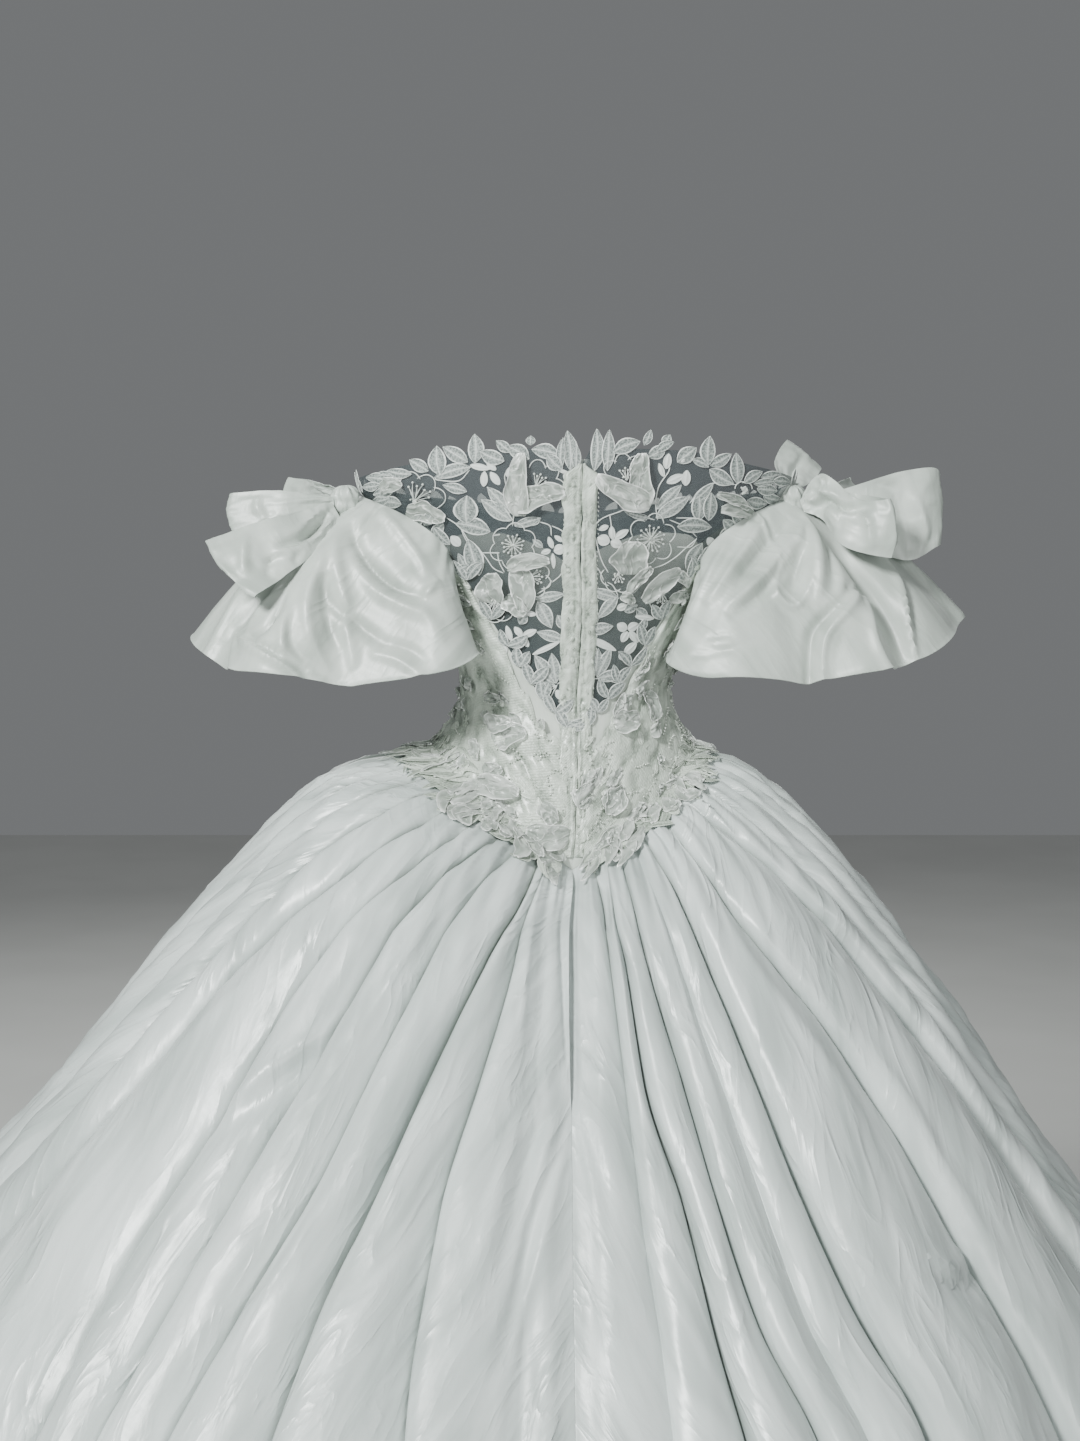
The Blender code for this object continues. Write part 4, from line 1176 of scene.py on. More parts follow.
def all_relief(creases: tuple[Crease, ...], across: np.ndarray, down: np.ndarray,
               across_scale: np.ndarray, down_scale: np.ndarray) -> np.ndarray:
    """Sum of the creases' relief over a grid of cloth.

    Args:
        creases: The creases.
        across: The grid's first coordinate.
        down: The grid's second coordinate.
        across_scale: Metres in one unit of the first.
        down_scale: Metres in one unit of the second.

    Returns:
        The heights, in metres.
    """
    total = np.zeros(across.shape)
    for crease in creases:
        total += crease.relief(across, down, across_scale, down_scale)
    return total


# ---- skirt --------------------------------------------------------------------------------------
@dataclass(frozen=True)
class Valley:
    """A valley between two folds, which wanders down the skirt.

    Its bearings are at the skirt's own shares of the fall; depths are shares of the usual fold's
    depth near the waist, at the hip and below the knee; crisp goes from 0, round, to 1, a creased line.
    """

    bearings: Row
    depths: Row
    crisp: float = 0.3


@dataclass
class Skirt:
    """Full skirt of five gores, gathered on to the pointed waist seam.

    Flare columns: metres below the seam, metres outside the figure.  Flare share columns: metres
    below the seam, share of the flare at the back, share at the front, and the part by which the left
    side flares more and the right one less.  Gore columns: node, first fold, last fold, columns to a
    fold, rows.
    """

    figure: Figure
    wall: float = 0.0008
    hem_height: float = -1.100
    top_slack: float = 0.0012
    slit_half_width: float = 0.0022
    slit_depth: float = 0.200
    slit_lap: float = 0.0080          # the right edge runs on under the left one
    slit_rise: float = 0.0036
    slit_fall: float = 0.0062
    slit_reach: float = 0.0100
    gore_lap: float = 0.0022          # each gore runs on under the next one
    gore_sink: float = 0.0012
    front_folds: int = 23
    slope_length: float = 1.06        # metres of cloth from the seam to the hem, for creases and crumples
    flare: Table = ((0.000, 0.000), (0.006, 0.036), (0.017, 0.074), (0.061, 0.122), (0.105, 0.156),
                    (0.149, 0.186), (0.238, 0.254), (0.328, 0.321), (0.419, 0.389), (0.510, 0.459),
                    (0.720, 0.580), (1.052, 0.716))
    flare_share: Table = ((0.000, 0.55, 0.50, 0.34), (0.060, 0.78, 0.70, 0.23), (0.150, 0.92, 0.82, 0.16),
                          (0.300, 1.02, 0.86, 0.12), (0.600, 1.08, 0.88, 0.12), (1.060, 1.12, 0.90, 0.13))
    fold_depth: Table = ((0.0, 0.0008), (0.017, 0.0032), (0.057, 0.0052), (0.143, 0.0075), (0.310, 0.0100),
                         (0.580, 0.0130), (1.0, 0.0170))
    valley_shares: Row = (0.0, 0.05, 0.10, 0.20, 0.30, 0.40, 0.50, 1.0)
    depth_shares: Row = (0.04, 0.26, 0.60)
    left: tuple[Valley, ...] = (
        Valley((0.0, 0.0, 0.0, 0.0, 0.0, 0.0, 0.0, 0.0), (0.6, 0.1, 0.0), 0.0),
        Valley((4.5, 5.0, 5.5, 6.0, 6.0, 5.5, 5.5, 5.5), (0.6, 0.4, 0.4), 0.0),
        Valley((8.5, 11.0, 12.0, 14.8, 16.8, 16.6, 15.4, 12.0), (0.8, 0.8, 0.9), 0.85),
        Valley((11.0, 13.5, 17.3, 22.3, 25.0, 27.0, 27.3, 21.0), (1.3, 1.5, 0.9), 1),
        Valley((17.5, 24.5, 27.0, 30.3, 32.0, 34.7, 36.0, 31.0), (0.9, 0.8, 0.9), 0.90),
        Valley((24.0, 33.0, 36.0, 38.7, 40.5, 41.5, 42.0, 40.0), (1.2, 1.3, 0.3), 0.90),
        Valley((33.0, 40.0, 44.0, 47.5, 48.0, 49.0, 47.5, 48.0), (0.9, 0.8, 1.3), 1.0),
        Valley((42.0, 49.5, 53.5, 61.0, 63.5, 66.0, 68.0, 62.0), (1.0, 1.1, 1.2), 1.0),
        Valley((52.0, 59.0, 62.5, 68.0, 70.5, 74.0, 76.0, 70.0), (0.9, 1.1, 1.0), 1.0),
        Valley((62.0, 68.0, 72.0, 75.0, 78.0, 82.0, 84.0, 78.0), (0.9, 0.9, 1.0), 1.0),
        Valley((72.0, 76.0, 79.0, 83.0, 86.0, 88.5, 90.0, 86.0), (1.0, 0.9, 0.9), 0.90),
        Valley((81.0, 84.0, 87.0, 91.0, 94.0, 97.0, 98.0, 94.0), (0.9, 1.0, 1.0), 0.85),
        Valley((90.0, 93.0, 96.0, 100.0, 103.0, 105.0, 106.0, 102.0), (0.9, 0.9, 0.9), 1.0),
    )
    right: tuple[Valley, ...] = (
        Valley((0.0, 0.0, 0.0, 0.0, 0.0, 0.0, 0.0, 0.0), (0.6, 0.1, 0.0), 0.0),
        Valley((6.5, 8.6, 8.8, 9.0, 9.0, 9.5, 9.5, 8.0), (1.2, 0.6, 0.4), 0.85),
        Valley((11.0, 11.0, 12.0, 12.3, 15.0, 16.0, 17.0, 17.0), (0.7, 1.2, 1.2), 1),
        Valley((15.0, 16.0, 16.5, 18.5, 19.4, 21.0, 24.0, 24.0), (1.0, 0.9, 1.0), 1.0),
        Valley((19.5, 21.5, 22.5, 24.0, 25.0, 26.0, 28.5, 28.0), (0.5, 0.4, 0.5), 0.90),
        Valley((24.0, 27.0, 28.5, 30.3, 31.0, 32.5, 35.0, 36.0), (1.4, 1.5, 1.3), 1),
        Valley((33.0, 36.0, 38.5, 46.0, 49.0, 50.0, 51.0, 50.0), (0.9, 0.9, 1.0), 1.0),
        Valley((43.0, 50.0, 56.0, 63.0, 66.0, 68.0, 69.0, 64.0), (1.0, 1.2, 1.2), 0.85),
        Valley((54.0, 60.0, 64.0, 70.0, 73.0, 75.0, 76.0, 72.0), (0.8, 0.8, 0.9), 1.0),
        Valley((64.0, 69.0, 72.0, 77.0, 80.0, 82.0, 83.0, 79.0), (0.9, 0.9, 0.9), 0.90),
        Valley((74.0, 77.0, 80.0, 84.0, 87.0, 89.0, 90.0, 87.0), (0.9, 0.9, 0.9), 0.85),
        Valley((82.0, 85.0, 88.0, 92.0, 95.0, 97.0, 98.0, 95.0), (0.9, 0.9, 1.0), 0.90),
        Valley((90.0, 94.0, 97.0, 101.0, 104.0, 106.0, 107.0, 103.0), (0.8, 0.9, 0.9), 1.0),
    )
    gores: tuple[tuple, ...] = (("skirt_back_left", 0, 8, 25, 124), ("skirt_side_left", 8, 17, 12, 76),
                                ("skirt_front", 17, 29, 10, 60), ("skirt_side_right", 29, 38, 12, 76),
                                ("skirt_back_right", 38, 46, 25, 124))
    gathers: tuple[Gather, ...] = (Gather(0.0018, 0.028, 2.35, (0.42, 5.0, 14.0), 3),
                                   Gather(0.0027, 0.085, 5.3, (0.45, 11.0, 8.0), 5))
    crumples: tuple[Crumple, ...] = (
        Crumple(0.0040, 0.16, 0.30, 7, 0, 0.10), Crumple(0.0016, 0.055, 0.13, 8, 0, 0.05),
        Crumple(0.0011, 0.042, 0.120, 11, 2, 0.03), Crumple(0.00045, 0.016, 0.034, 17, 2, 0.03),
    )
    side_crumple: Crumple = Crumple(0.0022, 0.050, 0.070, 23, 2, 0.05)
    crushed_from: float = 66.0        # bearing at which the crushed sides begin, and over how many degrees
    crushed_over: float = 14.0
    gentle: float = 1.7               # how far a fold's gentle flank reaches, and its steep one
    steep: float = 0.42
    reach_top: float = 0.011          # half width of a valley at the seam, and how much more at the hem
    reach_more: float = 0.030
    crack_width: float = 0.0024       # the creased line in a crisp valley's bottom, its depth and more
    crack_depth: float = 0.0090
    crack_more: float = 0.0040
    least_fold: float = 0.002
    creases: tuple[Crease, ...] = (
        # to the wearer's left of the centre back
        Crease(((38.7, 0.20), (41.0, 0.225), (44.0, 0.26), (47.0, 0.295)), -11.0, 13.0),
        Crease(((37.5, 0.17), (40.5, 0.20), (44.5, 0.235), (48.0, 0.27)), 5.0, 6.0),
        Crease(((20.4, 0.15), (23.0, 0.22), (25.0, 0.29), (25.8, 0.34)), -7.0, 6.5, CreaseKind.ROUND),
        Crease(((8.6, 0.05), (9.0, 0.10), (8.7, 0.17)), 2.6, 2.6),
        Crease(((2.3, 0.03), (1.4, 0.10), (0.8, 0.17)), -4.0, 2.8),
        Crease(((0.3, 0.195), (4.0, 0.205), (8.0, 0.225), (9.5, 0.27), (10.5, 0.33), (11.5, 0.40)), 4.6, 6.0,
               CreaseKind.CRISP),
        Crease(((0.3, 0.20), (3.0, 0.22), (6.0, 0.29), (8.0, 0.36), (10.0, 0.42)), 4.2, 5.5,
               CreaseKind.CRISP),
        Crease(((0.2, 0.21), (2.0, 0.26), (5.0, 0.34), (7.0, 0.42), (8.0, 0.48)), 3.6, 5.5,
               CreaseKind.CRISP),
        Crease(((0.5, 0.205), (3.6, 0.212), (6.6, 0.25), (8.4, 0.31)), -3.4, 4.6),
        Crease(((0.5, 0.225), (2.8, 0.25), (5.4, 0.31), (7.6, 0.39)), -3.2, 5.0),
        Crease(((3.4, 0.178), (5.6, 0.188), (7.0, 0.182)), 3.0, 4.2),
        Crease(((5.0, 0.205), (6.6, 0.199), (9.2, 0.214)), 2.8, 4.2),
        Crease(((6.6, 0.215), (8.6, 0.228), (9.8, 0.222)), -2.6, 4.2),
        Crease(((1.0, 0.375), (2.2, 0.392), (2.6, 0.42)), 2.8, 4.4),
        Crease(((1.4, 0.43), (2.4, 0.445), (2.0, 0.475)), 2.6, 4.4),
        Crease(((2.6, 0.385), (3.6, 0.40), (3.4, 0.43)), -2.4, 4.2),
        Crease(((40.4, 0.30), (40.8, 0.40), (40.4, 0.50)), 4.0, 5.5, CreaseKind.CRISP, (0.2, 0.5)),
        Crease(((40.0, 0.03), (44.0, 0.11), (47.4, 0.19), (49.2, 0.25)), 3.6, 5.0, CreaseKind.CRISP),
        Crease(((28.6, 0.06), (31.4, 0.12), (33.6, 0.19)), 3.0, 5.0),
        Crease(((15.6, 0.05), (18.4, 0.10), (20.6, 0.16)), 3.6, 4.5, CreaseKind.CRISP),
        Crease(((30.2, 0.30), (31.4, 0.36), (33.6, 0.41)), 3.6, 7.0),
        Crease(((44.6, 0.33), (46.0, 0.38), (45.4, 0.44)), -4.4, 8.0),
        Crease(((54.0, 0.16), (57.5, 0.22), (60.0, 0.29)), 4.0, 7.0, CreaseKind.CRISP),
        Crease(((66.0, 0.10), (69.0, 0.17), (71.0, 0.24)), 3.6, 5.0, CreaseKind.CRISP),
        # to the wearer's right of the centre back
        Crease(((-0.3, 0.195), (-3.0, 0.22), (-6.0, 0.27)), 3.2, 5.0, CreaseKind.CRISP),
        Crease(((-0.3, 0.205), (-2.0, 0.24), (-3.6, 0.30)), 2.6, 4.6),
        Crease(((-1.0, 0.20), (-3.4, 0.24), (-5.2, 0.30)), -2.6, 5.0),
        Crease(((-10.2, 0.03), (-10.6, 0.10), (-10.4, 0.18), (-12.4, 0.26)), 3.4, 3.4, CreaseKind.CRISP),
        Crease(((-9.1, 0.012), (-9.2, 0.04), (-9.0, 0.068)), -6.0, 3.4, CreaseKind.ROUND, (0.5, 0.0)),
        Crease(((-21.2, 0.05), (-22.0, 0.14), (-22.4, 0.24)), 3.2, 3.6, CreaseKind.CRISP),
        Crease(((-50.0, 0.20), (-51.4, 0.30), (-52.4, 0.42)), 5.0, 6.0, CreaseKind.CRISP),
        Crease(((-57.0, 0.33), (-56.0, 0.365), (-55.0, 0.40)), 3.6, 5.0, CreaseKind.CRISP),
        Crease(((-39.5, 0.35), (-42.0, 0.385), (-46.0, 0.405), (-50.0, 0.405), (-53.0, 0.40)), 4.2, 5.5,
               CreaseKind.CRISP),
        Crease(((-40.5, 0.372), (-43.0, 0.402), (-46.6, 0.42), (-50.4, 0.42)), -6.0, 7.0),
        Crease(((-35.0, 0.10), (-37.6, 0.16), (-41.0, 0.22), (-43.4, 0.29)), 4.2, 8.0),
        Crease(((-60.0, 0.14), (-62.4, 0.20), (-64.0, 0.27)), -5.0, 9.0),
        Crease(((-17.0, 0.30), (-18.0, 0.38), (-20.4, 0.46)), 3.0, 5.0, CreaseKind.CRISP),
    )

    def __post_init__(self) -> None:
        """Lists every valley round the skirt, in order of bearing."""
        rows = list(self.left)
        stations = len(self.valley_shares)
        first, last = self.left[-1], self.right[-1]
        for i in range(1, self.front_folds - 1):
            share = i / (self.front_folds - 1)
            wander = 0.8 * noise(np.arange(stations) * 0.9, i * 1.7, 31)
            line = []
            for k in range(stations):
                start, end = first.bearings[k], 360.0 - last.bearings[k]
                line.append(start + (end - start) * share + wander[k])
            depths = (0.8 + 0.4 * (i % 3 == 1), 0.8 + 0.5 * (i % 3 == 2), 1.0)
            rows.append(Valley(tuple(line), depths, 0.35))
        for valley in self.right[:0:-1]:
            rows.append(Valley(tuple(360.0 - b for b in valley.bearings), valley.depths, valley.crisp))
        closing = self.right[0]
        rows.append(Valley((360.0,) * stations, closing.depths, closing.crisp))
        self.valleys = rows

    def spread(self, bearing: np.ndarray, fall: np.ndarray) -> np.ndarray:
        """How far outside the figure the skirt stands.

        Args:
            bearing: Degrees round from the centre back.
            fall: Metres below the waist seam.

        Returns:
            The distances.
        """
        angle = np.radians(bearing)
        back = np.maximum(np.cos(angle), 0.0) ** 2
        front = np.maximum(-np.cos(angle), 0.0) ** 2
        share = 1.0 + (smooth(self.flare_share, fall, 1) - 1.0) * back
        share = share + (smooth(self.flare_share, fall, 2) - 1.0) * front
        sway = 1.0 + smooth(self.flare_share, fall, 3) * np.sin(angle)
        return smooth(self.flare, fall) * share * sway

    def fall(self, bearing: np.ndarray) -> np.ndarray:
        """Height of cloth between the waist seam and the hem."""
        return self.figure.basque(bearing) - self.top_slack - self.hem_height

    def form(self, bearing: np.ndarray, share: np.ndarray, lift: np.ndarray = 0.0) -> np.ndarray:
        """Skirt without its gathers.

        Args:
            bearing: Degrees round from the centre back.
            share: Share of the fall, 0 at the waist seam and 1 at the hem.
            lift: How far the point stands off that form.

        Returns:
            The points.
        """
        fall = self.fall(bearing) * share
        height = self.figure.basque(bearing) - self.top_slack - fall
        low = self.figure.torso[0][0]
        point = self.figure.point(bearing, np.maximum(height, low), lift, self.spread(bearing, fall))
        point[..., 2] = height
        return point

    def metres_round(self, bearing: np.ndarray, share: np.ndarray) -> np.ndarray:
        """Metres in one degree round the skirt."""
        step = self.form(bearing + 0.5, share) - self.form(bearing - 0.5, share)
        return np.linalg.norm(step, axis=-1)

    def bearing_and_depth(self, turn: np.ndarray,
                          share: np.ndarray) -> tuple[np.ndarray, np.ndarray, np.ndarray]:
        """Bearing of each place, how far its fold lifts it, and how much painted shade its crease gets.

        Args:
            turn: Folds counted round from the centre back.
            share: Share of the fall.

        Returns:
            The bearings, the lifts and the painted shade of the creases, 0 to 1.
        """
        table = np.array([valley.bearings for valley in self.valleys])
        depths = np.array([valley.depths for valley in self.valleys])
        crisps = np.array([valley.crisp for valley in self.valleys])
        count = len(self.valleys) - 1
        k = np.clip(np.floor(turn).astype(int), 0, count - 1)
        phase = turn - k
        shares = np.array(self.valley_shares)
        line = np.array([smooth(tuple(zip(shares, row)), share[:, 0]) for row in table])
        row = np.broadcast_to(np.arange(share.shape[0])[:, None], share.shape)
        start, end = line[k, row], line[k + 1, row]
        bearing = start + (end - start) * phase
        deep = np.array([np.interp(share[:, 0], self.depth_shares, d) for d in depths])
        deep_left, deep_right = deep[k, row], deep[k + 1, row]
        metre = self.metres_round(bearing, share)
        width = np.maximum((end - start) * metre, self.least_fold)
        usual = smooth(self.fold_depth, share)
        pit, groove, inside = np.zeros(share.shape), np.zeros(share.shape), np.zeros(share.shape)
        flanks = ((phase, k, deep_left, self.gentle), (1.0 - phase, k + 1, deep_right, self.steep))
        for side, valley, deepness, slope in flanks:
            crisp = crisps[valley]
            lopsided = 1.0 + (slope - 1.0) * np.clip(crisp * 1.6, 0.0, 1.0)
            reach = np.minimum((self.reach_top + self.reach_more * share) * (1.5 - 0.8 * crisp) * lopsided,
                               width * 0.40)
            away = side * width / reach
            edge = crisp * np.exp(-away * 1.1) + (1.0 - crisp) * np.exp(-(away**2) * 0.8)
            pit += deepness * edge
            crack = crisp * np.exp(-side * width / (self.crack_width * slope)) * np.clip(deepness, 0.0, 1.2)
            groove += crack * (self.crack_depth + self.crack_more * share)
            # painted shade: the crease line's mask, by which the taffeta's colour is darkened
            inside = np.maximum(inside, crack * np.clip(1.1 - 0.5 * share, 0.0, 1.0))
        groove *= np.clip(share / 0.03, 0.0, 1.0)
        crest = (deep_left + (deep_right - deep_left) * ease(phase)) * 0.9
        dome = 0.55 * np.sin(math.pi * phase) ** 1.4 * np.clip(width / 0.06, 0.2, 1.3)
        dome *= ease(np.minimum(turn, count - turn) * width / 0.030)      # flat at the closing seam
        # the painted shade is weaker on the wearer's right, where the real shadow already darkens the creases
        inside = np.clip(inside, 0.0, 1.0) * np.where(bearing < 180.0, 1.0, 0.72)
        return bearing, usual * (crest + dome - 2.0 * pit) - groove, inside

    def relief(self, bearing: np.ndarray, share: np.ndarray) -> np.ndarray:
        """Gathers, creases and crumples, as lift off the folded form.

        Args:
            bearing: Degrees round from the centre back, right side below zero.
            share: Share of the fall.

        Returns:
            The lifts.
        """
        metre = self.metres_round(bearing, share)
        down = self.slope_length * np.ones(share.shape)
        total = all_relief(self.creases, bearing, share, metre, down)
        u, v = bearing * metre, share * self.slope_length
        loose = np.clip(share / 0.012, 0.0, 1.0)
        for gather in self.gathers:
            total += loose * gather.relief(bearing, share)
        for crumple in self.crumples:
            total += crumple.relief(u, v, share)
        side = np.clip((np.abs(bearing) - self.crushed_from) / self.crushed_over, 0.0, 1.0)
        total += side * self.side_crumple.relief(u, v, share)
        return total

    def grid(self, first: int, last: int, per_fold: int,
             rows: int) -> tuple[np.ndarray, np.ndarray, np.ndarray]:
        """Outer grid of one gore.

        Args:
            first: The fold that it starts at.
            last: The fold that it ends at.
            per_fold: Columns to a fold.
            rows: Rows from the waist to the hem.

        Returns:
            The points, their places on the flat cloth, and the painted shade of their creases.
        """
        turns = np.linspace(first, last, (last - first) * per_fold + 1)
        turns = turns - 0.12 * np.sin(2 * math.pi * turns)
        t = np.linspace(0.0, 1.0, rows)
        shares = 0.50 * t + 0.50 * t**2.2
        u, v = np.meshgrid(turns, shares)
        bearing, lift, inside = self.bearing_and_depth(u, v)
        metre = self.metres_round(bearing[:, [0, -1]], v[:, [0, -1]])
        slit = np.sin(math.pi * np.clip(shares / self.slit_depth, 0.0, 1.0)) ** 0.5
        edge = np.zeros(bearing.shape)
        if first == 0:
            across = (bearing - bearing[:, :1]) * metre[:, :1]
        else:
            across = (bearing[:, -1:] - bearing) * metre[:, 1:]
        near = np.clip(1.0 - across / self.slit_reach, 0.0, 1.0)
        if first == 0:
            bearing += self.slit_half_width * slit[:, None] * near**1.2 / metre[:, :1]
            edge += self.slit_rise * slit[:, None] * near**0.8
        if last == len(self.valleys) - 1:
            bearing += self.slit_lap * slit[:, None] * near**2 / metre[:, 1:]
            edge -= self.slit_fall * slit[:, None] * ease((near - 0.30) * 5.0)
        bearing[:, -1] += self.gore_lap / metre[:, 1]
        edge[:, -1] -= self.gore_sink
        place = np.where(bearing > 180.0, bearing - 360.0, bearing)
        base = self.form(bearing, v, lift)
        normal = grid_normals(self.form(bearing, v))    # of the plain form, which neighbouring gores share
        outwards = np.sign(np.sum(normal * (base - np.array([0.0, 0.0, -0.4])), axis=-1).mean())
        points = base + normal * outwards * (self.relief(place, v) + edge)[..., None]
        return points, measured(base), inside

    def build(self, wardrobe: Wardrobe) -> Pieces:
        """Makes the five gores.

        Args:
            wardrobe: Gives the finishes.

        Returns:
            The gores' objects.
        """
        pieces = []
        for name, first, last, per_fold, rows in self.gores:
            points, flat, inside = self.grid(first, last, per_fold, rows)
            work = Stitchwork()
            # the crease mask goes in as the density, where the taffeta paints its shade
            work.add_sheet(points, self.wall, flat, inside, away_from=np.array([0.0, 0.0, -0.6]))
            piece = work.to_object("taffeta_" + name, 60.0)
            pieces.append(wardrobe.dress(piece, Finish.TAFFETA, (name,)))
        return pieces


# ---- sleeves ------------------------------------------------------------------------------------
class Side(Enum):
    """The wearer's left or right."""

    LEFT = 1
    RIGHT = -1

    @property
    def word(self) -> str:
        """The side's name in the frame's nodes."""
        return self.name.lower()


@dataclass
class Sleeve:
    """Bell flounce gathered round one armhole; turn 0 is behind the arm, 90 outwards, 270 at the body.

    Hem columns: turn, across, depth, height.  Fold columns: turn at the hem, depth, half width.
    Crumple columns: height, size round, lean round and down the sleeve, seed.
    """

    figure: Figure
    side: Side
    hem: Table
    folds: Table
    creases: tuple[Crease, ...] = ()
    wall: float = 0.0008
    ring_lift: float = 0.0026
    ring_margin: Row = (2.5, 0.0055)
    gather: float = 1.8
    clearance: float = 0.014
    puff: float = 0.012
    columns: int = 240
    rows: int = 70
    crumples: tuple[tuple, ...] = ((0.0006, 1.6, 3.0, 2.0, 5), (0.0002, 3.0, 7.0, 5.0, 9))
    hem_roll: Row = (0.0012, 0.012)   # how far the turned hem stands out, over what share of the fall

    def keep_off_bodice(self, points: np.ndarray, clearance: np.ndarray) -> np.ndarray:
        """Points moved sideways until they clear the bodice.

        Args:
            points: The points.
            clearance: How far off the figure each must stand.

        Returns:
            The points, at the same heights.
        """
        half_width, back, front, centre_x = self.figure.ring(points[..., 2])[:4]
        x = points[..., 0] - centre_x
        y = points[..., 1]
        depth = np.where(y > 0, back, front)
        reach = np.sqrt((x / (half_width + clearance)) ** 2 + (y / (depth + clearance)) ** 2)
        scale = np.maximum(1.0, 1.0 / np.maximum(reach, 1e-6))
        moved = points.copy()
        moved[..., 0] = centre_x + x * scale
        moved[..., 1] = y * scale
        return moved

    def surface(self, turn: np.ndarray, share: np.ndarray) -> np.ndarray:
        """Sleeve without its creases.

        Args:
            turn: Degrees round it.
            share: Share of the way from the armhole to the hem.

        Returns:
            The points, three numbers each.
        """
        turn, share = np.broadcast_arrays(np.asarray(turn, float), np.asarray(share, float))
        share = np.clip(share, 0.0, 1.0)
        sign = float(self.side.value)
        wrapped = (turn - 90.0 + 180.0) % 360.0 - 180.0
        gathered = 90.0 + 180.0 * np.sign(wrapped) * (np.abs(wrapped) / 180.0) ** self.gather
        ring = np.radians(gathered)
        centre, radius = self.figure.armhole_centre, self.figure.armhole_radius
        bearing = centre[0] - (radius[0] + self.ring_margin[0]) * np.cos(ring)
        height = centre[1] + (radius[1] + self.ring_margin[1]) * np.sin(ring)
        top = self.figure.point(sign * bearing, height, self.ring_lift)
        hem = np.stack([smooth(self.hem, turn % 360.0, column) for column in (1, 2, 3)], axis=-1)
        hem[..., 0] *= sign
        point = top + (hem - top) * share[..., None] ** 0.90
        point[..., 2] = top[..., 2] + (hem[..., 2] - top[..., 2]) * share**1.10
        outwards = unit((hem - top) * np.array([1.0, 1.0, 0.0]) + np.array([0.0, 0.0, 0.04]))
        rounding = np.clip(np.cos(np.radians(wrapped * 0.62)), 0.0, 1.0)
        puff = self.puff * np.sin(math.pi * share) * rounding
        fold = np.zeros_like(share)
        for middle, depth, half_width in self.folds:
            away = ((turn - middle + 180.0) % 360.0 - 180.0) / half_width
            fold = fold + depth * np.exp(-(away**2))
        point = point + outwards * (puff + fold * share**0.9)[..., None]
        clearance = 0.0006 + self.ring_lift + self.clearance * np.clip(share / 0.34, 0.0, 1.0)
        return self.keep_off_bodice(point, clearance)

    def relief(self, turn: np.ndarray, share: np.ndarray, base: np.ndarray) -> np.ndarray:
        """Creases, pinches and crumples of the crisp cloth.

        Args:
            turn: Degrees round the sleeve.
            share: Share of the way from the armhole to the hem.
            base: The sleeve's points there.

        Returns:
            The heights, in metres.
        """
        across = np.linalg.norm(np.roll(base, -1, axis=1) - np.roll(base, 1, axis=1), axis=-1)
        across = np.maximum(across / ((np.roll(turn, -1, axis=1) - np.roll(turn, 1, axis=1)) % 360.0), 2e-4)
        down = np.maximum(np.linalg.norm(np.gradient(base, axis=0), axis=-1) * (self.rows - 1), 1e-3)
        local = (turn + 180.0) % 360.0 - 180.0
        total = 1.25 * all_relief(self.creases, local, share, across, down)
        seed = 40 + self.side.value
        free = np.clip(share / 0.10, 0.0, 1.0)
        angle = np.radians(turn)
        ring_x, ring_y = np.cos(angle) * 2.4, np.sin(angle) * 2.4
        total += free * 0.0026 * noise(ring_x + share * 1.2, ring_y + 9.0, seed)
        for height, turns, lean_x, lean_y, pick in self.crumples:
            x, y = ring_x * turns + share * lean_x, ring_y * turns + share * lean_y
            total += free * height * ridges(x, y, seed + pick, 2)
        pleats = np.cos(np.radians(turn * 9.0) + 4.5 * noise(ring_x * 2.0, ring_y * 2.0, seed + 12))
        total += 0.0026 * np.exp(-share / 0.15) * np.clip(share / 0.03, 0.0, 1.0) * pleats
        total += self.hem_roll[0] * np.exp(-((1.0 - share) / self.hem_roll[1]) ** 2)
        return total

    def build(self, wardrobe: Wardrobe) -> Pieces:
        """Makes the flounce.

        Args:
            wardrobe: Gives the finishes.

        Returns:
            The flounce's object, alone in its list.
        """
        turns = np.linspace(270.0, 630.0, self.columns, endpoint=False)
        turns = turns - 30.0 * np.sin(np.radians(turns - 8.0))
        shares = np.linspace(0.0, 1.0, self.rows) ** 0.95
        u, v = np.meshgrid(turns, shares)
        base = self.surface(u, v)
        normal = grid_normals(base, closed=True)
        middle = base[-1].mean(axis=0)
        if np.mean(np.sum(normal * (base - middle) * np.array([1.0, 1.0, 0.3]), axis=-1)) < 0:
            normal = -normal
        relief = self.relief(u, v, base)
        outer = base + normal * (0.0012 + relief)[..., None]
        work = Stitchwork()
        # painted shade: the creases' troughs go in as the density, which darkens the taffeta's colour there
        work.add_sheet(outer, self.wall, measured(base), np.clip(-relief / 0.012, 0.0, 0.7), closed=True,
                       away_from=middle)
        node = "sleeve_" + self.side.word
        piece = work.to_object("taffeta_" + node, 60.0)
        return [wardrobe.dress(piece, Finish.FLOUNCE, (node,))]


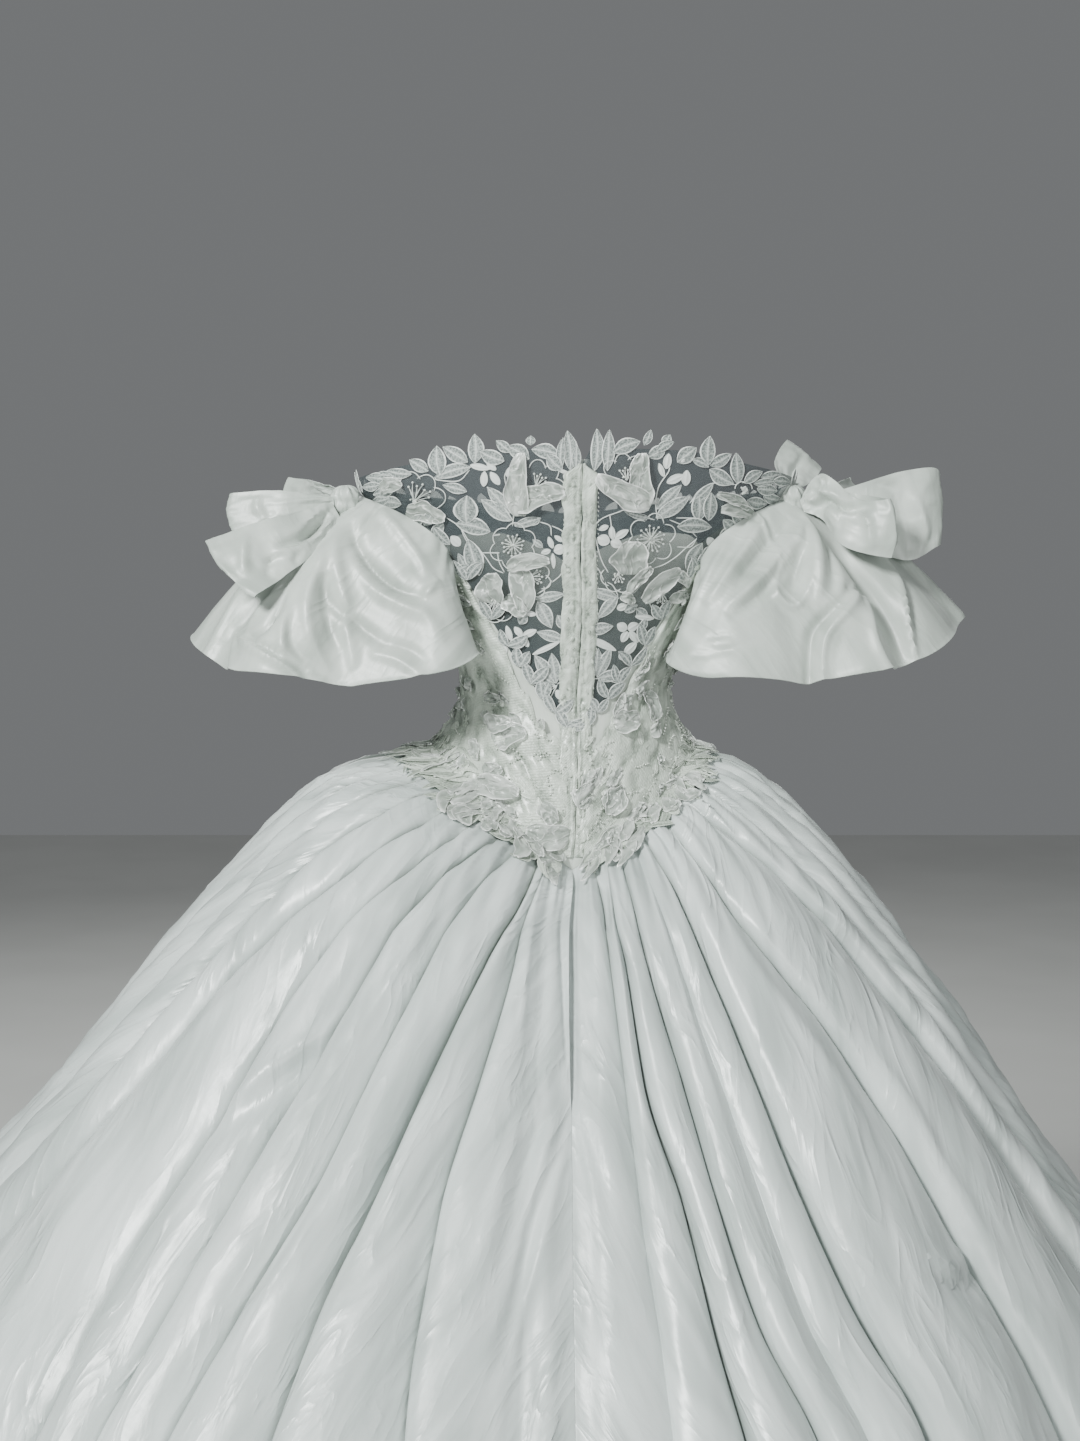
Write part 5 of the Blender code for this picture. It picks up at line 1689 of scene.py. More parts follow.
# ---- shoulder bows ------------------------------------------------------------------------------
@dataclass(frozen=True)
class Loop:
    """One ribbon loop of a bow, out from the knot and back behind it.

    Station columns, in millimetres: the ribbon's upper edge x, y, z and its lower edge x, y, z.
    """

    node: str
    stations: Table
    bulge: float = 5.0
    crumple: float = 1.0
    seed: int = 1
    creases: tuple[Crease, ...] = ()
    steps: int = 200
    columns: int = 81
    rows: int = 21
    wall: float = 0.0007

    def surface(self, along: np.ndarray, across: np.ndarray) -> np.ndarray:
        """Point of the ribbon.

        Args:
            along: Share of the way out and back, from 0 to 1.
            across: From -1 at the upper edge to 1 at the lower one.

        Returns:
            The points, three numbers each.
        """
        path = path_points(np.array(self.stations, float) * MM, self.steps + 1)
        place = np.clip(along, 0.0, 1.0) * self.steps
        rails = np.stack([np.interp(place, np.arange(self.steps + 1), path[:, k]) for k in range(6)], axis=-1)
        upper, lower = rails[..., :3], rails[..., 3:]
        middle = np.array(self.stations, float).reshape(-1, 3).mean(axis=0) * MM
        point = upper + (lower - upper) * ((across + 1.0) / 2.0)[..., None]
        away = unit((upper + lower) / 2.0 - middle)
        free = np.sin(math.pi * np.clip(along, 0.0, 1.0)) ** 0.6
        return point + away * (self.bulge * MM * (1.0 - across**2) * free)[..., None]

    def build(self, wardrobe: Wardrobe) -> bpy.types.Object:
        """Makes the loop.

        Args:
            wardrobe: Gives the finishes.

        Returns:
            The loop's object.
        """
        u, v = np.meshgrid(np.linspace(0.0, 1.0, self.columns), np.linspace(-1.0, 1.0, self.rows))
        base = self.surface(u, v)
        middle = base.reshape(-1, 3).mean(axis=0)
        normal = grid_normals(base)
        normal = normal * np.sign(np.sum(normal * (base - middle), axis=-1).mean())
        along = np.linalg.norm(np.gradient(base, axis=1), axis=-1) * (self.columns - 1)
        down = np.linalg.norm(np.gradient(base, axis=0), axis=-1) * ((self.rows - 1) / 2.0)
        ramp = ease(np.minimum(u, 1.0 - u) / 0.06)
        pleat = np.cos(v * 7.0 + 2.4 * noise(u * 3.0, v * 1.5, self.seed) + self.seed)
        lift = 0.0022 * pleat * np.exp(-np.minimum(u, 1.0 - u) / 0.16) * ramp
        lift += 0.0030 * self.crumple * ridges(u * 5.0, v * 1.1, self.seed + 3, 2) * ramp
        lift += 0.0012 * self.crumple * ridges(u * 13.0, v * 2.6, self.seed + 8, 2) * ramp
        lift += 1.5 * all_relief(self.creases, u, v, np.maximum(along, 0.01), np.maximum(down, 0.004))
        points = base + normal * lift[..., None]
        work = Stitchwork()
        work.add_sheet(points, self.wall, measured(base), away_from=middle)
        ribbon = work.to_object("ribbon_" + self.node, 60.0)
        return wardrobe.dress(ribbon, Finish.FLOUNCE, (self.node,))


@dataclass
class Bow:
    """A bow on one shoulder: loops of ribbon caught by a pleated, pinched knot."""

    side: Side
    centre: Row
    loops: tuple[Loop, ...]
    radii: Row = (0.0150, 0.0120, 0.0150)
    columns: int = 64
    rows: int = 26
    last_tilt: float = 86.0            # degrees up to the knot's small open ends
    wall: float = 0.0009

    def knot(self, wardrobe: Wardrobe) -> bpy.types.Object:
        """Wraps the pleated knot.

        Args:
            wardrobe: Gives the finishes.

        Returns:
            The knot's object.
        """
        turns = np.linspace(0.0, 2 * math.pi, self.columns, endpoint=False)
        tilts = np.radians(np.linspace(-self.last_tilt, self.last_tilt, self.rows))
        u, v = np.meshgrid(turns, tilts)
        ring = np.stack([np.cos(v) * np.cos(u), np.cos(v) * np.sin(u), np.sin(v)], axis=-1)
        swirl = np.cos(3.0 * u + 1.3 * np.sin(2.0 * v) + 1.2 * noise(np.cos(u) * 2.0, np.sin(u) * 2.0 + v,
                                                                     61))
        fold = ridges(np.cos(u) * 2.2 + v * 0.5, np.sin(u) * 2.2, 64, 2)
        pleat = 1.0 - np.abs(np.sin(4.5 * u + 1.1 * np.sin(1.6 * v)))
        pinch = 0.92 + 0.07 * swirl * np.cos(v) + 0.12 * fold + 0.13 * pleat * np.cos(v) ** 0.5
        pinch -= 0.16 * np.exp(-(((v + 0.15) / 0.30) ** 2))
        centre = np.array(self.centre)
        points = (centre + ring * np.array(self.radii) * pinch[..., None])[::-1]
        work = Stitchwork()
        work.add_sheet(points, self.wall, measured(points), closed=True, away_from=centre)
        node = "knot_" + self.side.word
        return wardrobe.dress(work.to_object("ribbon_" + node, 60.0), Finish.FLOUNCE, (node,))

    def build(self, wardrobe: Wardrobe) -> Pieces:
        """Makes the loops and the knot.

        Args:
            wardrobe: Gives the finishes.

        Returns:
            The bow's objects.
        """
        return [*(loop.build(wardrobe) for loop in self.loops), self.knot(wardrobe)]


# ---- bodice and net -----------------------------------------------------------------------------
@dataclass
class Bodice:
    """Five boned satin panels under a sheer net yoke."""

    figure: Figure
    satin_wall: float = 0.0014
    net_wall: float = 0.0004
    princess: float = 150.0            # bearing of the front's princess seams
    metre: float = 0.0021              # of arc to a degree of bearing

    def panel(self, name: str, start: float, end: float, columns: int, rows: int, satin: bool,
              wardrobe: Wardrobe) -> bpy.types.Object:
        """Makes one panel.

        Args:
            name: Its node in the frame.
            start: Bearing of its first edge.
            end: Bearing of its last edge.
            columns: Columns of its grid.
            rows: Rows of its grid.
            satin: True for satin below the edge, False for the net above it.
            wardrobe: Gives the finishes.

        Returns:
            The panel's object.
        """
        bearings = np.linspace(start, end, columns)
        share = np.linspace(0.0, 1.0, rows)[:, None]
        if satin:
            top, foot = self.figure.panel_top(bearings), self.figure.basque(bearings) - 0.001
        else:
            top, foot = self.figure.neckline(bearings), self.figure.net_foot(bearings)
            top = top - 0.018 * ease((2.2 - side_bearing(bearings)) / 1.4)
        heights = top + (foot - top) * share
        spread = np.broadcast_to(bearings, heights.shape)
        lift = np.zeros(heights.shape)
        if satin:
            u, v = spread * self.metre, heights
            lift += 0.0005 * noise(u / 0.030, v / 0.022, 71) + 0.0003 * ridges(u / 0.02, v / 0.012, 73, 2)
            seam = np.minimum(np.abs(spread - start), np.abs(spread - end)) * self.metre
            lift -= 0.0006 * np.exp(-((seam / 0.0016) ** 2))
        points = self.figure.point(spread, heights, lift)
        work = Stitchwork()
        away = np.array([0.0, 0.0, 0.05])
        work.add_sheet(points, self.satin_wall if satin else self.net_wall, measured(points), away_from=away)
        finish = Finish.SATIN if satin else Finish.NET
        slot = "satin" if satin else "net"
        return wardrobe.dress(work.to_object(slot + "_" + name), finish, (name,))

    def build(self, wardrobe: Wardrobe) -> Pieces:
        """Makes every panel of the bodice and the net.

        Args:
            wardrobe: Gives the finishes.

        Returns:
            The panels' objects.
        """
        mid = self.princess
        return [
            self.panel("back_left", 0.0, 90.0, 60, 30, True, wardrobe),
            self.panel("back_right", -90.0, 0.0, 60, 30, True, wardrobe),
            self.panel("side_front_left", 90.0, mid, 40, 28, True, wardrobe),
            self.panel("side_front_right", -mid, -90.0, 40, 28, True, wardrobe),
            self.panel("centre_front", mid, 360.0 - mid, 40, 28, True, wardrobe),
            self.panel("back_net_left", 0.0, 90.0, 44, 22, False, wardrobe),
            self.panel("back_net_right", -90.0, 0.0, 44, 22, False, wardrobe),
            self.panel("front_net", 90.0, 270.0, 88, 14, False, wardrobe),
        ]


# ---- lace ---------------------------------------------------------------------------------------
class Leaf(Enum):
    """A worked shape: its filling's density, how round its ends are, and its dome in metres."""

    LACY = (0.0, 0.80, 0.0005)
    VEINED = (0.10, 0.86, 0.0007)
    PLAIN = (0.80, 0.62, 0.0009)
    VEIL = (-1.0, 0.42, 0.0002)
    SHEER = (-0.42, 0.74, 0.0006)


@dataclass
class LaceMaker:
    """Works embroidery and organza petals on to a surface.

    A place is (across, height) in metres as seen on the surface; a lift is how far it stands off.
    """

    surface: Callable[..., np.ndarray]
    blades: list[tuple] = field(default_factory=list)
    petals: list[tuple] = field(default_factory=list)
    thread: Stitchwork = field(default_factory=Stitchwork)
    across: Row = (-1.0, -0.90, -0.79, -0.40, -0.09, 0.0, 0.09, 0.40, 0.79, 0.90, 1.0)
    rows: int = 8
    outlined: bool = True              # whether flowers are sheer petals inside a couched line
    per_row: int = 40                  # leaves cut side by side from the flat cloth

    def leaf(self, row: Row, kind: Leaf, lift: float = 0.0005, bend: float = 0.0) -> None:
        """Plans one leaf.

        Args:
            row: Base across and height, tip across and height, and width, in millimetres.
            kind: How it is filled.
            lift: How far its filling stands off.
            bend: Sideways bow of its midline, as a share of its length.
        """
        self.blades.append((*row[:5], *kind.value, lift, bend))

    def petal(self, row: Row, off: float = 0.0012, bend: float = 0.06) -> None:
        """Plans one organza petal.

        Args:
            row: Base across and height, tip across and height, width, how far its edges and its
                tip stand up, all in millimetres.
            off: How far its base stands off the lace.
            bend: Sideways bow of its midline, as a share of its length.
        """
        self.petals.append((*row[:7], off, bend))

    def cord(self, line: np.ndarray, radius: float, lift: float = 0.0007, density: float = 0.95) -> None:
        """Lays a couched cord.

        Args:
            line: Places along it.
            radius: Half its thickness, drawn down at its ends.
            lift: How far its middle stands off.
            density: How light its thread is.
        """
        middle = self.surface(line[:, 0], line[:, 1], lift)
        along = unit(np.gradient(middle, axis=0))
        up = unit(self.surface(line[:, 0], line[:, 1], lift + 0.001) - middle)
        side = np.cross(along, up)
        half = radius * np.where((np.arange(len(line)) % (len(line) - 1)) == 0, 0.45, 1.0)[:, None]
        corners = ((1, 0), (0, 1), (-1, 0), (0, -1))
        points = np.stack([middle + (side * x + up * y * 0.8) * half for x, y in corners], axis=1)
        number = np.arange(len(line) * 4).reshape(-1, 4)
        after = np.roll(number, -1, axis=1)
        faces = np.stack([number[:-1], number[1:], after[1:], after[:-1]], axis=-1).reshape(-1, 4)
        faces = np.concatenate([faces, number[:1, ::-1], number[-1:]])
        corner = points.reshape(-1, 3)[faces[0]]
        if np.dot(np.cross(corner[1] - corner[0], corner[2] - corner[0]), corner[0] - middle[0]) < 0:
            faces = faces[:, ::-1]
        self.thread.add(points, faces, np.repeat(line, 4, axis=0), density)

    def stem(self, row: Table, radius: float = 0.00055) -> None:
        """Couches a stem through its places, given in millimetres."""
        self.cord(path_points(np.array(row, float) * MM, 4 * len(row)), radius)

    def flower(self, row: Row) -> None:
        """Plans a flower of scalloped petals with a fan of stamens.

        Args:
            row: Centre across and height, reach, petal radius, first petal's angle, step, petal
                count, stamen length, first stamen's angle, span and stamen count.  Lengths are in
                millimetres and angles in degrees anticlockwise as seen, from the wearer's right.
        """
        x, z, span, radius, start, step, petals, stamen, first, fan, stamens = row
        kind = Leaf.VEIL if self.outlined else Leaf.LACY
        for k in range(petals):
            angle = math.radians(start + step * k)
            dx, dz = -math.cos(angle), math.sin(angle)
            inner, reach = 0.06 * span, span * (1.0 + 0.04 * math.sin(5.0 * k + x))
            self.leaf((x + dx * inner, z + dz * inner, x + dx * reach, z + dz * reach, radius * 2.3), kind,
                      0.0004 + 0.0003 * (k % 2))
            if self.outlined:
                t = 1.0 - 0.34 * np.linspace(1.0, 0.0, 8) ** 1.8      # past the neighbouring petals
                half = radius * 1.15 * np.maximum(np.sin(math.pi * t**0.92), 0.0) ** 0.42
                t, half = np.concatenate([t, t[-2::-1]]), np.concatenate([half, -half[-2::-1]])
                far = inner + (reach - inner) * t
                line = np.stack([x + dx * far + dz * half, z + dz * far - dx * half], axis=1)
                self.cord(line * MM, 0.00050, 0.0013)
        for k in range(stamens):
            share = k / max(stamens - (0 if fan >= 359 else 1), 1)
            angle = math.radians(first + fan * share)
            dx, dz = -math.cos(angle), math.sin(angle)
            end = stamen * (0.86 + 0.2 * (k % 2))
            low, high = end - 0.8, end + 1.7
            self.leaf((x + dx, z + dz, x + dx * end, z + dz * end, 1.0), Leaf.PLAIN, 0.0018,
                      0.05 * math.sin(2.7 * k))
            self.leaf((x + dx * low, z + dz * low, x + dx * high, z + dz * high, 2.2), Leaf.PLAIN, 0.0022)
        if stamens:
            self.leaf((x - 1.8, z, x + 1.8, z, 3.4), Leaf.PLAIN, 0.0020)

    def work_leaves(self) -> None:
        """Embroiders every planned leaf: a low closed shape with a raised edge and midrib."""
        plan = np.array(self.blades, float)
        base, tip, width = plan[:, 0:2] * MM, plan[:, 2:4] * MM, plan[:, 4] * MM
        fill, round_ends, dome, lift, bend = (plan[:, k][:, None, None] for k in range(5, 10))
        length = np.maximum(np.linalg.norm(tip - base, axis=1), 0.001)
        along = (tip - base) / length[:, None]
        side = np.stack([along[:, 1], -along[:, 0]], axis=1)
        t = np.linspace(0.05, 0.955, self.rows)[None, :, None]
        s = np.array(self.across)[None, None, :]
        half = width[:, None, None] / 2.0 * np.sin(math.pi * t**0.92) ** round_ends
        bow = bend * length[:, None, None] * np.sin(math.pi * t)
        places = base[:, None, None] + along[:, None, None] * (t * length[:, None, None])[..., None]
        places = places + side[:, None, None] * (bow + half * s)[..., None]
        worked = fill > -0.5                                  # all but the bare veils
        edge = np.clip((np.abs(s) - 0.79) / 0.11, 0.0, 1.0) * worked
        rib = 0.8 * np.exp(-((s / 0.08) ** 2)) * worked * (width[:, None, None] > 0.003)
        top = lift + dome * (1.0 - s**2) * np.sin(math.pi * t)
        top = top + 0.0004 * edge * (1.0 - (np.abs(s) == 1.0)) + 0.0003 * rib
        density = fill + (1.0 - fill) * np.maximum(edge, rib) + 0.0 * t
        count, rows, columns = len(plan), self.rows, len(self.across)
        ends = self.surface(np.stack([base[:, 0], tip[:, 0]], 1), np.stack([base[:, 1], tip[:, 1]], 1),
                            lift[:, 0])
        grid = self.surface(places[..., 0], places[..., 1], top).reshape(count, rows * columns, 3)
        points = np.concatenate([ends[:, :1], grid, ends[:, 1:]], axis=1)
        own = np.arange(count)[:, None, None]
        flat = np.stack([own % self.per_row + half * s,
                         own // self.per_row + t * length[:, None, None] + 0.0 * s], axis=-1)
        flat = flat.reshape(count, -1, 2)
        near = np.stack([own[:, :, 0] % self.per_row + 0.0 * own[:, :, 0], own[:, :, 0] // self.per_row],
                        axis=-1)
        far = near + np.stack([0.0 * length, length], axis=-1)[:, None]
        flat = np.concatenate([near, flat, far], axis=1)
        closed = np.where(worked[:, 0], 1.0, fill[:, 0])
        density = np.concatenate([closed, density.reshape(count, -1), closed], axis=1)
        g = 1 + np.arange(rows * columns).reshape(rows, columns)
        last = rows * columns + 1
        quads = np.stack([g[:-1, :-1], g[:-1, 1:], g[1:, 1:], g[1:, :-1]], axis=-1).reshape(-1, 4)
        under = np.stack([g[:-1, 0], g[1:, 0], g[1:, -1], g[:-1, -1]], axis=-1)
        quads = np.concatenate([quads, under])
        tris = [(0, g[0, j + 1], g[0, j]) for j in range(columns - 1)] + [(0, g[0, 0], g[0, -1])]
        tris += [(last, g[-1, j], g[-1, j + 1]) for j in range(columns - 1)] + [(last, g[-1, -1], g[-1, 0])]
        first = points[0][quads[rows * columns // 3]]
        x, z = places[0, 3, 3]
        up = self.surface(x, z, 0.002) - self.surface(x, z, 0.0)
        order = 1 if np.dot(np.cross(first[1] - first[0], first[2] - first[0]), up) > 0 else -1
        shift = (np.arange(count) * (last + 1))[:, None, None]
        self.thread.add(points, (quads[None, :, ::order] + shift).reshape(-1, 4), flat.reshape(-1, 2),
                        density.reshape(-1), (np.array(tris)[None, :, ::order] + shift).reshape(-1, 3))

    def work_petals(self, rows: int = 15, columns: int = 13) -> Stitchwork:
        """Cuts every planned petal: cupped, crumpled organza with a bright rolled edge and painted highlights
        on its crumples' crests.

        Args:
            rows: Rows along each petal.
            columns: Columns across it.

        Returns:
            The organza.
        """
        work = Stitchwork()
        t = np.linspace(0.0, 1.0, rows)[:, None]
        s = np.sin(np.linspace(-1.0, 1.0, columns) * math.pi / 2.0)[None, :]
        for i, (*ends, width, stand, curl, off, bend) in enumerate(self.petals):
            base, tip = np.array(ends[0:2]) * MM, np.array(ends[2:4]) * MM
            width, stand, curl = width * MM, stand * MM, curl * MM
            length = np.linalg.norm(tip - base)
            along = (tip - base) / length
            side = np.array([along[1], -along[0]])
            seed = 11.3 * i
            ragged = 1.0 + 0.16 * noise(t * 3.2 + seed, np.sign(s) * 4.0, 5)
            ragged = ragged + 0.07 * noise(t * 8.0, np.sign(s) + seed, 6)
            half = width / 2.0 * np.maximum(np.sin(math.pi * (0.03 + 0.945 * t) ** 0.80),
                                            0.02) ** 0.42 * ragged
            middle = base + along * (t * length) + side * (bend * length * np.sin(math.pi * t))
            places = middle[:, None] + side * (half * s)[..., None]
            cup = 0.15 * np.sin(math.pi * t * 0.9) + 0.55 * np.abs(s) ** 2.2 * np.sin(math.pi * t) ** 0.6
            fold = ridges(t * 1.5 + seed, s * 0.9 + t * 0.8, 9, 2)
            lift = off + stand * cup + 0.7 * curl * t**2.2
            lift = lift + 0.0048 * fold * np.sin(math.pi * np.clip(t * 1.1, 0, 1)) ** 0.5
            lift = lift + 0.0020 * ridges(t * 4.0, s * 2.2 + seed, 12, 2)
            lift = np.maximum(lift, off * 0.6)
            bright = np.clip((np.abs(s) - 0.91) / 0.06, 0.0, 1.0) + np.clip((t - 0.95) / 0.04, 0.0, 1.0)
            # painted highlight: the crumples' crests are brightened towards the edge colour
            bright = np.minimum(bright + np.clip(fold - 0.25, 0.0, 1.0) * 0.8, 1.0)
            outer = self.surface(places[..., 0], places[..., 1], lift)
            flat = np.stack([half * s, t * length + 0.0 * s], axis=-1) + seed
            work.add_sheet(outer, 0.0003, flat, bright)
        return work


@dataclass(frozen=True)
class Setting:
    """A small shape that Geometry Nodes set at every planned place: a bead, a knot, a stitch or a tooth.

    Lengths are in metres, along the row, across it and off the cloth.
    """

    name: str
    finish: Finish
    slot: str
    length: float
    width: float
    height: float
    sides: int = 6
    rings: int = 4
    vary: float = 0.15
    seed: int = 5

    def tree(self, material: bpy.types.Material) -> bpy.types.NodeTree:
        """Builds the node tree.

        Args:
            material: What the shapes are made of.

        Returns:
            The tree, from places to one mesh.
        """
        tree = bpy.data.node_groups.new(self.name, "GeometryNodeTree")
        tree.interface.new_socket("Places", in_out="INPUT", socket_type="NodeSocketGeometry")
        for label in ("Length", "Width", "Height", "Vary"):
            tree.interface.new_socket(label, in_out="INPUT", socket_type="NodeSocketFloat")
        for label in ("Sides", "Rings", "Seed"):
            tree.interface.new_socket(label, in_out="INPUT", socket_type="NodeSocketInt")
        tree.interface.new_socket("Shapes", in_out="OUTPUT", socket_type="NodeSocketGeometry")
        given = add_node(tree, "NodeGroupInput").outputs
        ball = add_node(tree, "GeometryNodeMeshUVSphere",
                        {"Segments": given["Sides"], "Rings": given["Rings"], "Radius": 0.5})
        size = add_node(tree, "ShaderNodeCombineXYZ",
                        {"X": given["Length"], "Y": given["Width"], "Z": given["Height"]})
        least = add_node(tree, "ShaderNodeMath", {0: 1.0, 1: given["Vary"]}, operation="SUBTRACT")
        most = add_node(tree, "ShaderNodeMath", {0: 1.0, 1: given["Vary"]}, operation="ADD")
        chance = add_node(tree, "FunctionNodeRandomValue",
                          {2: least.outputs["Value"], 3: most.outputs["Value"], "Seed": given["Seed"]},
                          data_type="FLOAT")
        sized = add_node(tree, "ShaderNodeVectorMath",
                         {0: size.outputs["Vector"], "Scale": chance.outputs[1]}, operation="SCALE")
        facing = add_node(tree, "GeometryNodeInputNamedAttribute", {"Name": "facing"},
                          data_type="FLOAT_VECTOR")
        along = add_node(tree, "GeometryNodeInputNamedAttribute", {"Name": "along"}, data_type="FLOAT_VECTOR")
        upright = add_node(tree, "FunctionNodeAlignRotationToVector",
                           {"Vector": facing.outputs["Attribute"]}, axis="Z")
        turned = add_node(tree, "FunctionNodeAlignRotationToVector",
                          {"Rotation": upright.outputs["Rotation"], "Vector": along.outputs["Attribute"]},
                          axis="X", pivot_axis="Z")
        placed = add_node(tree, "GeometryNodeInstanceOnPoints",
                          {"Points": given["Places"], "Instance": ball.outputs["Mesh"],
                           "Rotation": turned.outputs["Rotation"], "Scale": sized.outputs["Vector"]})
        real = add_node(tree, "GeometryNodeRealizeInstances", {"Geometry": placed.outputs["Instances"]})
        soft = add_node(tree, "GeometryNodeSetShadeSmooth", {"Geometry": real.outputs["Geometry"]})
        made = add_node(tree, "GeometryNodeSetMaterial",
                        {"Geometry": soft.outputs["Geometry"], "Material": material})
        add_node(tree, "NodeGroupOutput", {"Shapes": made.outputs["Geometry"]})
        return tree

    def build(self, places: np.ndarray, facing: np.ndarray, along: np.ndarray,
              wardrobe: Wardrobe) -> bpy.types.Object:
        """Sets the shape at every place.

        Args:
            places: The places, three numbers each.
            facing: The way off the cloth at each.
            along: The way that the shape's length runs at each.
            wardrobe: Gives the finishes.

        Returns:
            One object of plain mesh.
        """
        mesh = bpy.data.meshes.new(self.name + "_places")
        mesh.vertices.add(len(places))
        mesh.vertices.foreach_set("co", places.astype(np.float32).reshape(-1))
        for label, values in (("facing", facing), ("along", along)):
            layer = mesh.attributes.new(label, "FLOAT_VECTOR", "POINT")
            layer.data.foreach_set("vector", values.astype(np.float32).reshape(-1))
        plan = bpy.data.objects.new(self.name + "_places", mesh)
        bpy.context.scene.collection.objects.link(plan)
        tree = self.tree(wardrobe.material(self.finish))
        sizes = {"Length": self.length, "Width": self.width, "Height": self.height, "Vary": self.vary,
                 "Sides": self.sides, "Rings": self.rings, "Seed": self.seed}
        modifier = plan.modifiers.new("setting", "NODES")
        modifier.node_group = tree
        for socket in tree.interface.items_tree:
            if socket.in_out == "INPUT" and socket.name in sizes:
                modifier[socket.identifier] = sizes[socket.name]
        evaluated = plan.evaluated_get(bpy.context.evaluated_depsgraph_get())
        thing = bpy.data.objects.new(self.name, bpy.data.meshes.new_from_object(evaluated))
        bpy.context.scene.collection.objects.link(thing)
        plan.modifiers.remove(modifier)
        bpy.data.objects.remove(plan)
        return wardrobe.dress(thing, self.finish)


@dataclass
class BackLace:
    """Sheer back: corded flowers and leaves on the net, with organza petals, on one side."""

    figure: Figure
    side: Side
    lacy: Table
    veined: Table
    plain: Table
    flowers: Table
    stems: tuple[Table, ...]
    petals: Table
    sprig_bearings: Row = (9.0, 64.0, 6.2)      # first, last and degrees between them
    sprig_foot: float = 9.0            # millimetres under the satin's edge
    sprig_lengths: Row = (17.0, 26.0)
    sprig_widths: Row = (9.0, 12.5)
    sprig_lift: float = 0.0034
    edge_height: float = 232.0

    def sprigs(self, maker: LaceMaker) -> None:
        """Works pairs of leaves up from the satin's edge on to the sheer back.

        Args:
            maker: Works them.
        """
        dice = np.random.default_rng(77 + self.side.value)
        for bearing in np.arange(*self.sprig_bearings):
            point = self.figure.point(np.array(bearing), self.figure.panel_top(np.array(bearing)), 0.0)
            across = self.side.value * abs(float(point[0])) / MM
            height = float(point[2]) / MM - self.sprig_foot
            for turn in (dice.uniform(40.0, 85.0), dice.uniform(100.0, 165.0)):
                angle, length = math.radians(turn), dice.uniform(*self.sprig_lengths)
                tip = (across + self.side.value * length * math.cos(angle), height + length * math.sin(angle))
                maker.leaf((across, height, *tip, dice.uniform(*self.sprig_widths)), Leaf.LACY,
                           self.sprig_lift, dice.uniform(-0.1, 0.1))

    def build(self, wardrobe: Wardrobe) -> Pieces:
        """Makes the edge leaves, the embroidery and the organza petals.

        Args:
            wardrobe: Gives the finishes.

        Returns:
            The pieces' objects.
        """
        word = self.side.word
        edge = LaceMaker(self.figure.onto_back)
        body = LaceMaker(self.figure.onto_back)
        for i, row in enumerate(self.lacy):
            maker = edge if row[1] > self.edge_height else body
            maker.leaf(row, Leaf.LACY, 0.0008 + 0.0004 * (i % 3), 0.05 * (i % 3 - 1))
        for row in self.veined:
            body.leaf(row, Leaf.VEINED, 0.0006)
        self.sprigs(body)
        for row in self.plain:
            body.leaf(row, Leaf.PLAIN, 0.0008)
        for row in self.flowers:
            body.flower(row)
        for row in self.stems:
            body.stem(row)
        for row in self.petals:
            body.petal(row)
        edge.work_leaves()
        body.work_leaves()
        petals = body.work_petals(17, 15)
        return [
            wardrobe.dress(edge.thread.to_object(f"edge_leaves_{word}", 70.0), Finish.EMBROIDERY,
                           (f"neck_lace_back_{word}",)),
            wardrobe.dress(body.thread.to_object(f"back_embroidery_{word}", 70.0), Finish.EMBROIDERY),
            wardrobe.dress(petals.to_object(f"organza_petals_{word}", 60.0), Finish.ORGANZA),
        ]


@dataclass
class HipCloth:
    """The surface that the waist lace lies on: down the bodice and out over the gathers.

    A place is metres round the body to the wearer's left, and metres above the waist seam.
    """

    figure: Figure
    skirt: Skirt
    metre: float = 0.0019             # of arc to a degree of bearing
    stand_left: float = 0.016
    stand_right: float = 0.007

    def at(self, arc: np.ndarray, above: np.ndarray, lift: np.ndarray | float) -> np.ndarray:
        """Point of the surface.

        Args:
            arc: Metres round.
            above: Metres above the waist seam.
            lift: How far the point stands off.

        Returns:
            The points, three numbers each.
        """
        arc, above, lift = np.broadcast_arrays(np.asarray(arc, float), np.asarray(above, float), lift)
        bearing = arc / self.metre
        over = np.clip(0.006 - above, 0.0, None)
        sideways = np.sin(np.radians(bearing))
        most = np.where(sideways > 0, self.stand_left, self.stand_right)
        near = np.clip(1.0 - np.abs(above - 0.004) / 0.040, 0.0, 1.0)
        stand = most * sideways**6 * ease(near)
        seam = self.figure.basque(bearing)
        on_bodice = self.figure.point(bearing, seam + np.maximum(above, 0.006), lift + 0.0012 + stand)
        steep = 0.26 + 0.30 * np.cos(np.radians(bearing)) ** 2
        share = over * steep / self.skirt.fall(bearing)
        on_skirt = self.skirt.form(bearing, share, stand + lift * 0.6)
        on_skirt[..., 2] += 0.0032 + 0.7 * lift
        return np.where((above >= 0.006)[..., None], on_bodice, on_skirt)


@dataclass(frozen=True)
class LaceLength:
    """One length of the waist lace, and how thickly it is worked."""

    word: str
    node: str
    side: int                          # 1 for the wearer's left and the front, -1 for the right
    span: Row                          # first and last bearing
    bare: Row                          # plain satin under the top edge, at the centre back and at the side
    ground: tuple[int, int]            # columns and rows of its ground
    leaves: int
    fringe: Row                        # first bearing, last bearing and degrees between its groups
    petal_grid: tuple[int, int]
    fronds: int = 0
    low: Table = ()                    # petals placed one by one


